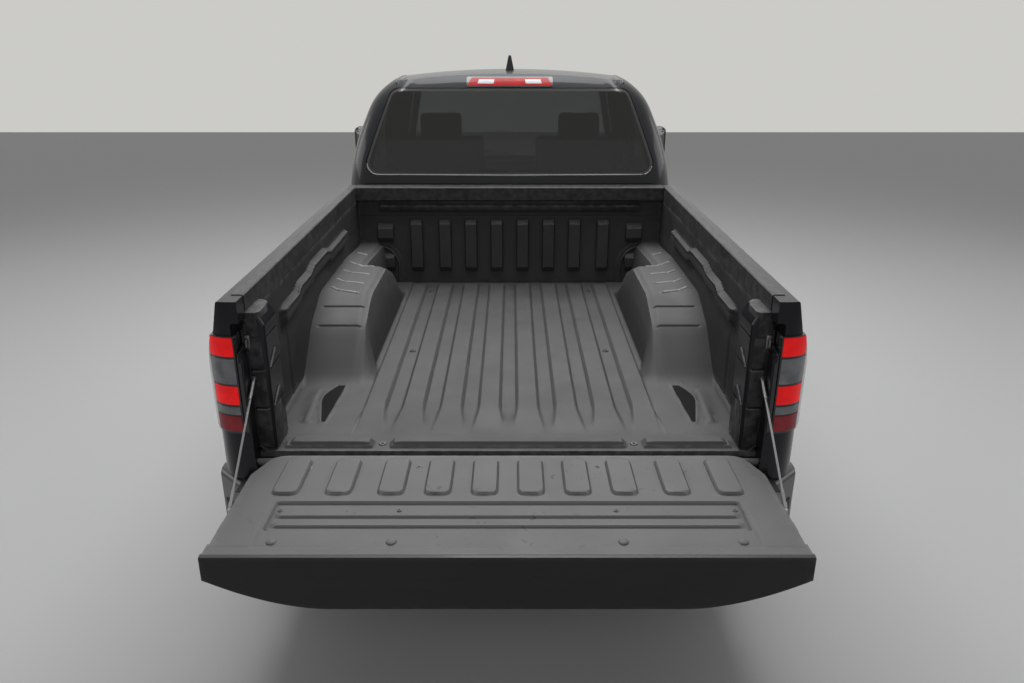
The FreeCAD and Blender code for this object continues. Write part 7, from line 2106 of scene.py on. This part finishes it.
@dataclass
class RearBumper:
    """Black lower cladding and step pads on the rear bumper, and a blank plate recess."""

    shop: Workshop
    half: float = 0.918
    split: float = 0.612
    low: float = 0.506
    step_half: float = 0.474

    def build(self) -> None:
        """Builds the bumper's pieces."""
        node_low, node_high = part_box("rear_bumper")
        for side in Side:
            sign = side.value
            rows = []
            for z in spread(self.low, self.split, 0.02):
                row = [((sign * x, -FAR, z), FORWARD) for x in spread(0.3, 0.74, 0.04)]
                for turn in spread(10.0, 84.0, 6.0):
                    a = math.radians(turn)
                    cx, cy = 0.70, -2.29
                    out = (sign * math.sin(a), -math.cos(a))
                    row.append(((sign * cx + out[0] * 0.5, cy + out[1] * 0.5, z), (-out[0], -out[1], 0.0)))
                rows.append(row)
            cladding = self.shop.skin(f"bumper_cladding_{side.word}", "rear_bumper", rows, 0.003, 0.0025)
            self.shop.fit(cladding, "chassis", BLACK_TRIM)
            low, high = sorted((sign * 0.5, sign * 0.83))
            pad = rounded_box(
                f"bumper_step_{side.word}", (low, node_low[1] + 0.03, node_high[2] + 0.0004),
                (high, node_high[1] - 0.1, node_high[2] + 0.0044), 0.002,
            )
            self.shop.fit(pad, "chassis", BLACK_TRIM)
        top = node_high[2] - 0.03
        tread = [rounded_box("step_pad", (-self.step_half, node_low[1] + 0.012, top + 0.0004),
                             (self.step_half, node_low[1] + 0.09, top + 0.0036), 0.0014)]
        for x in spread(-0.44, 0.44, 0.055):
            tread.append(rounded_box(f"step_rib_{x:.3f}", (x - 0.018, node_low[1] + 0.022, top + 0.003),
                                     (x + 0.018, node_low[1] + 0.08, top + 0.0064), 0.0016, 2))
        self.shop.fit(joined("step_tread", tread), "chassis", BLACK_TRIM)
        low, high = (-0.152, node_low[1] - 0.003, 0.536), (0.152, node_low[1] - 0.0004, 0.646)
        plate = rounded_box("plate_blank", low, high, 0.0012)
        self.shop.fit(plate, "chassis", PIANO_BLACK)


@dataclass
class Cab:
    """The cab's glass borders, seals, mouldings, mirror glass, wipers and handle cups."""

    shop: Workshop
    belt_low: float = 1.1
    belt_high: float = 1.12
    mirror_inset: float = 0.017

    def build_glass(self) -> None:
        """Printed borders on every pane, and the light seal round the rear window's foot."""
        panes = [
            ("rear_window", FORWARD, 0.014, "chassis"), ("windscreen", BACKWARD, 0.042, "chassis"),
        ]
        for side in Side:
            look = side.inward
            for place in ("front", "rear"):
                panes.append((f"glass_{place}_{side.word}", look, 0.014, f"door_{place}_{side.word}"))
        for node, look, width, body in panes:
            border = self.shop.border(f"{node}_border", node, look, width, 0.0006, 0.0012)
            self.shop.fit(border, body, PIANO_BLACK)
        look = FORWARD
        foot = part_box("rear_window")[0][2]
        outline = drawn_in(self.shop.outline("rear_window", look, 200), 0.005)
        points = []
        for x, z in sorted(spot for spot in outline if spot[1] < foot + 0.062):
            found = self.shop.hit("rear_window", *facing(look, x, z))
            if found and (not points or x - points[-1][0] > 0.002):
                points.append(tuple(found[0] + found[1] * 0.0015))
        self.shop.fit(bar("rear_window_seal", points, 0.0034, 8), "chassis", STEEL)

    def build_mouldings(self) -> None:
        """Belt mouldings below the side glass, and strips in the roof's ditches."""
        for side in Side:
            look = side.inward
            for place in ("front", "rear"):
                low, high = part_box(f"glass_{place}_{side.word}")
                rows = [
                    [facing(look, y, z) for y in spread(low[1] - 0.01, high[1] + 0.01, 0.025)]
                    for z in spread(self.belt_low, self.belt_high, 0.005)
                ]
                node = f"door_{place}_{side.word}"
                strip = self.shop.skin(f"belt_moulding_{place}_{side.word}", node, rows, 0.0035, 0.003)
                self.shop.fit(strip, node, BLACK_TRIM)
            low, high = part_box("cab_roof")
            points = []
            for y in spread(low[1] + 0.06, high[1] - 0.05, 0.04):
                found = self.shop.hit("cab_roof", (side.value * (high[0] - 0.006), y, FAR), DOWN)
                if found:
                    points.append((side.value * (high[0] + 0.0025), y, found[0].z - 0.003))
            self.shop.fit(bar(f"roof_ditch_{side.word}", points, 0.0045, 8), "chassis", BLACK_TRIM)
            self.build_header_seams(side)

    def build_header_seams(self, side: Side) -> None:
        """The two dark seams that run down behind the roof's edge to the rear window.

        Args:
            side: The side.
        """
        nodes = ("cab_roof", "cab_back", f"cab_side_{side.word}")
        seams = []
        for k, x in enumerate((0.548, 0.577)):
            points = []
            for z in spread(1.768, 1.812, 0.006):
                found = [self.shop.hit(node, (side.value * x, -FAR, z), FORWARD) for node in nodes]
                met = [spot for spot in found if spot and spot[0].y < 0.0]
                if met:
                    place, normal = min(met, key=lambda spot: spot[0].y)
                    points.append(tuple(place + normal * 0.0006))
            if len(points) > 2:
                seams.append(bar(f"header_seam_{side.word}_{k}", points, 0.0022, 8))
        if seams:
            self.shop.fit(joined(f"header_seams_{side.word}", seams), "chassis", BLACK_TRIM)

    def build_mirrors(self) -> None:
        """Mirror glass, seen from behind."""
        for side in Side:
            node = f"mirror_{side.word}"
            name = f"mirror_glass_{side.word}"
            glass = self.shop.patch(name, node, FORWARD, self.mirror_inset, 0.0012, 0.001)
            self.shop.fit(glass, f"door_front_{side.word}", MIRROR_GLASS)

    def build_handles(self) -> None:
        """Dark cups behind the front door grips, and the left lock."""
        for side in Side:
            node = f"door_front_{side.word}"
            look = side.inward
            outline = rounded_outline((0.372, 0.972), (0.492, 1.024), 0.024)
            cup = self.shop.skin(f"handle_cup_{side.word}", node, patch_rays(outline, look), 0.0008, 0.0008)
            self.shop.fit(cup, node, PIANO_BLACK)
        found = self.shop.hit("door_front_left", (-FAR, 0.325, 1.0), RIGHTWARD)
        if found:
            lock = bolt_heads("door_lock", [(tuple(found[0]), tuple(found[1]))], 0.0085, 0.003)
            self.shop.fit(lock, "door_front_left", STEEL)

    def on_screen(self, x: float, rise: float) -> Vector | None:
        """A place on the windscreen, so far up from its lower edge.

        Args:
            x: The place across.
            rise: The distance back from the lower edge, along the truck.

        Returns:
            The place, a little off the glass, or None past the glass.
        """
        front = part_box("windscreen")[1][1]
        for back in spread(0.0, 0.4, 0.005):
            if self.shop.hit("windscreen", (x, front - back, FAR), DOWN):
                found = self.shop.hit("windscreen", (x, front - back - rise, FAR), DOWN)
                return found[0] + found[1] * 0.008 if found else None
        return None

    def build_wipers(self) -> None:
        """Two wipers lying along the foot of the windscreen."""
        for k, (root_x, start, end) in enumerate(((0.5, 0.6, 0.1), (-0.08, 0.02, -0.5))):
            spots = [self.on_screen(x, 0.035 + 0.1 * i / 10) for i, x in enumerate(spread(start, end, -0.05))]
            blade = [tuple(spot) for spot in spots if spot]
            root = self.on_screen(root_x, 0.004)
            if len(blade) < 3 or root is None:
                continue
            middle = Vector(blade[len(blade) // 2]) + Vector((0.0, 0.0, 0.012))
            near = (root + middle) / 2 + Vector((0.0, 0.0, 0.008))
            arm = bar(f"wiper_arm_{k}", (tuple(root), tuple(near), tuple(middle)), 0.006, 8)
            wiper = joined(f"wiper_{k}", [bar(f"wiper_blade_{k}", blade, 0.0055, 8), arm])
            self.shop.fit(wiper, "chassis", BLACK_TRIM)

    def build_fuel_door(self) -> None:
        """The fuel door in the left bed side."""
        outline = rounded_outline((-0.79, 0.915), (-0.63, 1.065), 0.028)
        look = RIGHTWARD
        rays = band_rays(outline, 0.0035, look)
        ring = self.shop.skin("fuel_door_gap", "bed_side_left", rays, 0.0004, 0.0006)
        self.shop.fit(ring, "chassis", PIANO_BLACK)

    def build(self) -> None:
        """Builds the cab's pieces."""
        self.build_glass()
        self.build_mouldings()
        self.build_mirrors()
        self.build_handles()
        self.build_wipers()
        self.build_fuel_door()


@dataclass
class Nose:
    """Mesh behind the grille's bars and in the intake, lamp insides and fog lamps."""

    shop: Workshop
    cell: float = 0.0098
    wall: float = 0.0018
    depth: float = 0.006
    lamp_z: float = 0.912
    fog_ring: tuple[Flat, ...] = (
        (0.043, 0.002), (0.046, 0.009), (0.056, 0.009), (0.06, 0.0), (0.06, -0.002), (0.043, -0.002),
    )
    fog_lens: tuple[Flat, ...] = (
        (0.0, 0.007), (0.02, 0.0062), (0.036, 0.0042), (0.0425, 0.002), (0.0425, 0.0), (0.0, 0.0),
    )

    def mesh(self, name: str, node: str, low: Flat, high: Flat, behind: float) -> None:
        """Six-sided cells on the sunken part of a node's front.

        Args:
            name: The piece's name.
            node: The node.
            low: The area's lowest X and Z.
            high: Its highest X and Z.
            behind: How far behind the front a cell's seat has to be.
        """
        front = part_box(node)[1][1]
        centres = []
        across = self.cell * math.sqrt(3.0)
        for row, z in enumerate(spread(low[1] + self.cell, high[1] - self.cell, self.cell * 1.5)):
            for x in spread(low[0], high[0], across):
                x += across / 2 * (row % 2)
                found = self.shop.hit(node, (x, AHEAD, z), BACKWARD)
                if found and found[0].y < front - behind:
                    centres.append((x, found[0].y + 0.0005, z))
        if centres:
            self.shop.fit(honeycomb(name, centres, self.cell, self.wall, self.depth), "chassis", BLACK_TRIM)

    def build_lamps(self) -> None:
        """Bright bowls inside each clear headlamp, and round fog lamps."""
        for side in Side:
            sign = side.value
            bowls = []
            for x, radius in ((0.6, 0.05), (0.715, 0.046)):
                found = self.shop.hit("headlamps", (sign * x, AHEAD, self.lamp_z), BACKWARD)
                if found:
                    centre = (sign * x, found[0].y - 0.07, self.lamp_z)
                    profile = [(0.0, 0.0)] + [(radius * s, 0.042 * s * s) for s in spread(0.2, 1.0, 0.1)]
                    profile += [(radius + 0.003, 0.042), (radius * 0.5, -0.004), (0.0, -0.004)]
                    bowls.append(turned(f"bowl_{x}", profile, centre, FORWARD, 32))
                    bulb = [(0.0, 0.0), (0.007, 0.0), (0.007, 0.026), (0.004, 0.032), (0.0, 0.033)]
                    bowls.append(turned(f"bulb_{x}", bulb, centre, FORWARD, 16))
            if bowls:
                self.shop.fit(joined(f"headlamp_bowls_{side.word}", bowls), "chassis", REFLECTOR)
            found = self.shop.hit("front_bumper", (sign * 0.64, AHEAD, 0.53), BACKWARD)
            if found:
                foot, way = tuple(found[0]), tuple(found[1])
                ring = turned(f"fog_ring_{side.word}", self.fog_ring, foot, way, 40)
                self.shop.fit(ring, "chassis", BLACK_TRIM)
                lens = turned(f"fog_lens_{side.word}", self.fog_lens, foot, way, 40)
                self.shop.fit(lens, "chassis", CLEAR_LENS)

    def build(self) -> None:
        """Builds the nose's pieces."""
        low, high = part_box("grille")
        inner_low, inner_high = (low[0] + 0.05, low[2] + 0.03), (high[0] - 0.05, high[2] - 0.03)
        self.mesh("grille_mesh", "grille", inner_low, inner_high, 0.02)
        self.mesh("intake_mesh", "front_bumper", (-0.4, 0.475), (0.4, 0.575), 0.03)
        self.build_lamps()


@dataclass
class Wheels:
    """Tyres with tread blocks and sidewall rings, wheel nuts, caps and valves."""

    shop: Workshop
    pitches: int = 58
    steps: int = 10
    groove: float = 0.0088
    rib_places: tuple[float, ...] = (0.021, 0.06)
    side_profile: tuple[Flat, ...] = (
        (0.104, 0.2295), (0.113, 0.2305), (0.1185, 0.238), (0.1245, 0.253), (0.129, 0.27), (0.131, 0.288),
        (0.131, 0.306), (0.1298, 0.322), (0.1275, 0.336), (0.1235, 0.35), (0.1175, 0.3625), (0.1105, 0.373),
        (0.1035, 0.3815),
    )
    tread_radius: float = 0.388
    nut_circle: float = 0.0635
    nut_profile: tuple[Flat, ...] = (
        (0.0, -0.002), (0.0125, -0.002), (0.0125, 0.002), (0.0105, 0.004), (0.0098, 0.014), (0.007, 0.018),
        (0.0, 0.019),
    )
    cap_profile: tuple[Flat, ...] = (
        (0.0, 0.0055), (0.022, 0.005), (0.033, 0.0035), (0.0365, 0.001), (0.0365, -0.001), (0.0, -0.001),
    )

    def cut(self, a: float, phase: float) -> float:
        """How deep the tread is cut, from 0 to 1, at a place across and round.

        Args:
            a: The place across, from the middle.
            phase: The place round, in pitches.

        Returns:
            The share of the groove's depth.
        """
        deep = 0.0
        for k, at in enumerate(self.rib_places):
            sway = 0.0045 * math.sin(2 * math.pi * (phase + 0.5 * k + (0.25 if a < 0 else 0.0)))
            deep = max(deep, plateau(abs(a), at + sway - 0.003, at + sway + 0.003, 0.003))
        b = abs(a)
        if b > self.rib_places[1]:
            slant = phase + (0.15 if a > 0 else 0.65)
            width = 0.17
        elif b > self.rib_places[0]:
            slant = phase + 0.4 + 4.0 * (b - 0.04) * (1 if a > 0 else -1)
            width = 0.12
        else:
            slant = phase + 0.9 + 5.0 * a
            width = 0.1
        off = abs(slant - math.floor(slant) - 0.5)
        return max(deep, 1 - smooth(width / 2, width / 2 + 0.1, off))

    def surface(self) -> list[tuple[float, float, bool]]:
        """The tyre's outline from one bead over the tread to the other.

        Returns:
            Places across, radii, and whether the tread's pattern cuts there.
        """
        side = [(a, r, r > 0.36) for a, r in self.side_profile]
        across = [a for a in spread(0.098, -0.098, -0.0036) if abs(a) < 0.1]
        tread = [(a, self.tread_radius - 0.0035 * (a / 0.1) ** 4, True) for a in across]
        return side + tread + [(-a, r, c) for a, r, c in reversed(side)]

    def tyre(self, name: str, centre: Vector) -> Piece:
        """One tyre.

        Args:
            name: The piece's name.
            centre: The wheel's middle.

        Returns:
            The tyre.
        """
        outline = self.surface()
        around = self.pitches * self.steps
        ring = len(outline)
        verts: list[Point] = []
        for k in range(around):
            turn = 2 * math.pi * k / around
            c, s = math.cos(turn), math.sin(turn)
            phase = k / self.steps
            for a, r, patterned in outline:
                if patterned:
                    fade = 1.0 if abs(a) < 0.1 else smooth(0.355, 0.378, r) * 0.7
                    r -= self.groove * self.cut(a, phase) * fade
                else:
                    r += 0.0008 * plateau(abs(r - 0.336), 0.0, 0.003, 0.006)
                verts.append((centre.x + a, centre.y + r * c, centre.z + r * s))
        faces = []
        for k in range(around):
            onward = (k + 1) % around
            for i in range(ring):
                j = (i + 1) % ring
                faces.append((k * ring + i, k * ring + j, onward * ring + j, onward * ring + i))
        return new_piece(name, verts, faces, 28.0)

    def build_hub(self, centre: Vector, side: Side, place: str) -> None:
        """Wheel nuts, the cap and the valve of one wheel.

        Args:
            centre: The wheel's middle.
            side: The side.
            place: The axle's word.
        """
        body = f"wheel_{place}_{side.word}"
        sign = side.value
        outward = (float(sign), 0.0, 0.0)
        rim = f"rim_{place}_{side.word}"
        nuts = []
        for k in range(6):
            a = math.radians(60 * k + 30)
            y, z = centre.y + self.nut_circle * math.cos(a), centre.z + self.nut_circle * math.sin(a)
            found = self.shop.hit(rim, (centre.x + sign * 0.4, y, z), side.inward)
            if found:
                nuts.append(turned(f"nut_{k}", self.nut_profile, tuple(found[0]), outward, 6))
        self.shop.fit(joined(f"wheel_nuts_{place}_{side.word}", nuts), body, STEEL)
        found = self.shop.hit(rim, (centre.x + sign * 0.4, centre.y, centre.z), side.inward)
        if found:
            cap = turned(f"wheel_cap_{place}_{side.word}", self.cap_profile, tuple(found[0]), outward, 40)
            self.shop.fit(cap, body, PIANO_BLACK)
        foot = (centre.x + sign * 0.075, centre.y + 0.187, centre.z + 0.04)
        end = (centre.x + sign * 0.098, centre.y + 0.181, centre.z + 0.038)
        self.shop.fit(bar(f"valve_{place}_{side.word}", (foot, end), 0.0042, 8), body, BLACK_TRIM)

    def build(self) -> None:
        """Builds the four wheels' pieces."""
        for place in ("front", "rear"):
            for side in Side:
                node = f"tyre_{place}_{side.word}"
                low, high = (Vector(corner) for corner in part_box(node))
                centre = (low + high) / 2
                tyre = self.tyre(f"treaded_{node}", centre)
                self.shop.fit(tyre, f"wheel_{place}_{side.word}", TYRE_RUBBER, (node,))
                self.build_hub(centre, side, place)


@dataclass
class Cabin:
    """The padded seats, and what is on the dashboard and the console."""

    shop: Workshop
    seat_x: float = 0.392
    lean: float = -10.4
    seam: float = 0.0028
    fill: float = 0.8

    def pad(self, name: str, centre: Point, size: Point, tilt: float = 0.0, channels: Sequence[float] = (),
            replaced: Sequence[str] = (), radius: float = 0.034, crown: float = 0.012) -> None:
        """One padded piece of a seat.

        Args:
            name: The piece's name.
            centre: Its middle.
            size: Its width, its length and its thickness.
            tilt: How far it is turned about X, in degrees.
            channels: Sewn channels across its width.
            replaced: CAD nodes that it stands for.
            radius: The round of its edges.
            crown: How far its faces rise.
        """
        piece = stuffed(name, centre, size, radius, crown, tilt, channels)
        self.shop.fit(piece, "chassis", SEAT_CLOTH, replaced)

    def piping(self, name: str, centre: Point, size: Point, tilt: float) -> None:
        """A sewn cord round a pad's face.

        Args:
            name: The piece's name.
            centre: The pad's middle.
            size: The pad's width, length and thickness.
            tilt: The pad's tilt in degrees.
        """
        turn = Matrix.Translation(Vector(centre)) @ Matrix.Rotation(math.radians(tilt), 4, "X")
        half_x, half_y, high = size[0] / 2 - 0.018, size[1] / 2 - 0.018, size[2] / 2 - 0.017
        outline = rounded_outline((-half_x, -half_y), (half_x, half_y), 0.045)
        points = [tuple(turn @ Vector((x, y, high))) for x, y in outline + outline[:1]]
        self.shop.fit(bar(name, points, self.seam, 8), "chassis", BLACK_TRIM)

    def build_seats(self) -> None:
        """Two front seats with headrests, and the narrow rear bench."""
        for side in Side:
            x = side.value * self.seat_x
            word = side.word
            replaced = ("seats",) if side is Side.LEFT else ()
            base, base_size = (x, 0.592, 0.755), (0.49, 0.565, 0.14)
            self.pad(f"seat_cushion_{word}", base, base_size, 2.0, (-0.5, 0.5), replaced)
            self.piping(f"seat_piping_{word}", base, base_size, 2.0)
            back, back_size = (x, 0.252, 1.105), (0.49, 0.735, 0.128)
            self.pad(f"seat_back_{word}", back, back_size, 90.0 - self.lean, (-0.5, 0.5))
            self.pad(f"headrest_{word}", (x, 0.167, 1.528), (0.246, 0.15, 0.096), 84.0, (), (), 0.043, 0.008)
            posts = []
            for s in (-1, 1):
                ends = ((x + s * 0.059, 0.172, 1.43), (x + s * 0.059, 0.167, 1.5))
                posts.append(bar(f"post_{word}_{s}", ends, 0.0065, 10))
            self.shop.fit(joined(f"headrest_posts_{word}", posts), "chassis", STEEL)
            riser = rounded_box(f"seat_riser_{word}", (x - 0.2, 0.365, 0.6425), (x + 0.2, 0.8, 0.7), 0.012)
            self.shop.fit(riser, "chassis", BLACK_TRIM)
        box_piece = rounded_box("bench_box", (-0.618, -0.318, 0.6425), (0.618, -0.055, 0.72), 0.012)
        self.shop.fit(box_piece, "chassis", BLACK_TRIM)
        for side in Side:
            x = side.value * 0.31
            self.pad(f"bench_cushion_{side.word}", (x, -0.187, 0.753), (0.612, 0.262, 0.076), 0.0, (0.0,))
            self.pad(f"bench_back_{side.word}", (x, -0.272, 0.968), (0.612, 0.38, 0.088), 90.0, (0.0,))

    def build_dash(self) -> None:
        """Gauges, a blank screen and the vents."""
        look = FORWARD
        areas = (
            ("gauge_cluster", (-0.5, 0.99), (-0.275, 1.058), 0.02),
            ("dash_screen", (-0.115, 0.965), (0.115, 1.05), 0.012),
        )
        for name, low, high, radius in areas:
            filled = patch_rays(rounded_outline(low, high, radius), look)
            rays = [[((start[0], 0.2, start[2]), way) for start, way in row] for row in filled]
            self.shop.fit(self.shop.skin(name, "dashboard", rays, 0.003, 0.0028), "chassis", PIANO_BLACK)
        slats = []
        for x in (-0.66, -0.175, 0.175, 0.66):
            for z in spread(0.985, 1.04, 0.011):
                found = self.shop.hit("dashboard", (x, 0.2, z), look)
                if found:
                    y = found[0].y
                    low, high = (x - 0.045, y - 0.004, z - 0.002), (x + 0.045, y + 0.001, z + 0.002)
                    slats.append(rounded_box(f"slat_{x}_{z:.3f}", low, high, 0.001, 1))
        if slats:
            self.shop.fit(joined("vent_slats", slats), "chassis", BLACK_TRIM)

    def build(self) -> None:
        """Builds the cabin's pieces."""
        self.build_seats()
        self.build_dash()


@dataclass
class Stays:
    """Sleeves and pin heads on the tailgate's cables."""

    shop: Workshop
    sleeve: float = 0.0056
    across: float = 0.7736

    def build(self) -> None:
        """Builds both stays' pieces."""
        low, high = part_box("gate_stays")
        for side in Side:
            x = side.value * self.across
            head = Vector((x, high[1] - 0.006, high[2] - 0.008))
            foot = Vector((x, low[1] + 0.009, low[2] + 0.009))
            aim = (foot - head).normalized()
            ends = (("head", head, aim, 0.07, "chassis"), ("foot", foot, -aim, 0.024, "tailgate"))
            for end, start, way, length, body in ends:
                points = (tuple(start + way * 0.01), tuple(start + way * length))
                self.shop.fit(bar(f"stay_sleeve_{end}_{side.word}", points, self.sleeve, 12), body, STEEL)
            places = [((x + side.value * 0.003, high[1] - 0.012, head.z - 0.004), BACKWARD)]
            self.shop.fit(bolt_heads(f"stay_bolt_{side.word}", places, 0.0065, 0.004), "chassis", DARK_STEEL)


@dataclass
class Dressing:
    """The finish of each CAD node that shows as it is."""

    shop: Workshop
    by_slot: dict[str, Finish] = field(
        default_factory=lambda: {
            "paint": PAINT,
            "bed_liner": LINER,
            "glass": TINTED_GLASS,
            "clear_lamp": SMOKE_LENS,
            "red_lamp": PIANO_BLACK,
            "trim": BLACK_TRIM,
            "bumper": BUMPER,
            "seat_cloth": SEAT_CLOTH,
            "chassis_black": CHASSIS,
            "bare_metal": STEEL,
            "alloy": ALLOY,
            "tyre": TYRE_RUBBER,
        }
    )
    own: dict[str, Finish] = field(
        default_factory=lambda: {
            "windscreen": CLEAR_GLASS, "glass_front_left": CLEAR_GLASS, "glass_front_right": CLEAR_GLASS,
            # The bulkhead node takes the liner's darker copy: painted shade
            # The tailgate node takes the liner's lighter copy: painted light
            "bed_bulkhead": SHADED_WALL_LINER, "headlamps": CLEAR_GLASS, "tailgate": LIT_GATE_LINER,
        }
    )

    def build(self, record: dict) -> None:
        """Dresses every node by its slot.

        Args:
            record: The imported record.
        """
        slots = node_slots(record)
        for name, node in self.shop.nodes.items():
            finish = self.own.get(name) or self.by_slot[slots[name]]
            self.shop.paint.dress(node, finish)
            LOG.info("node %s, %s", name, finish.name)


def node_slots(record: dict) -> dict[str, str]:
    """Each CAD node's material slot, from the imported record.

    Args:
        record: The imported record.

    Returns:
        Slot names by node name.
    """
    return {row["node"]: row["material_slot"] for row in record["subparts"]}


def main() -> None:
    """Builds the looks of the whole truck."""
    logging.basicConfig(level=logging.INFO, format="%(name)s: %(message)s", stream=sys.stdout)
    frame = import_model()
    shop = Workshop(frame)
    Studio().build()
    Dressing(shop).build(frame["record"])
    parts = (
        LoadBed(shop), Tailgate(shop), TailLamps(shop), RearBumper(shop), Stays(shop), Cab(shop), Nose(shop),
        Wheels(shop), Cabin(shop),
    )
    for part in parts:
        part.build()


if __name__ == "__main__":
    main()
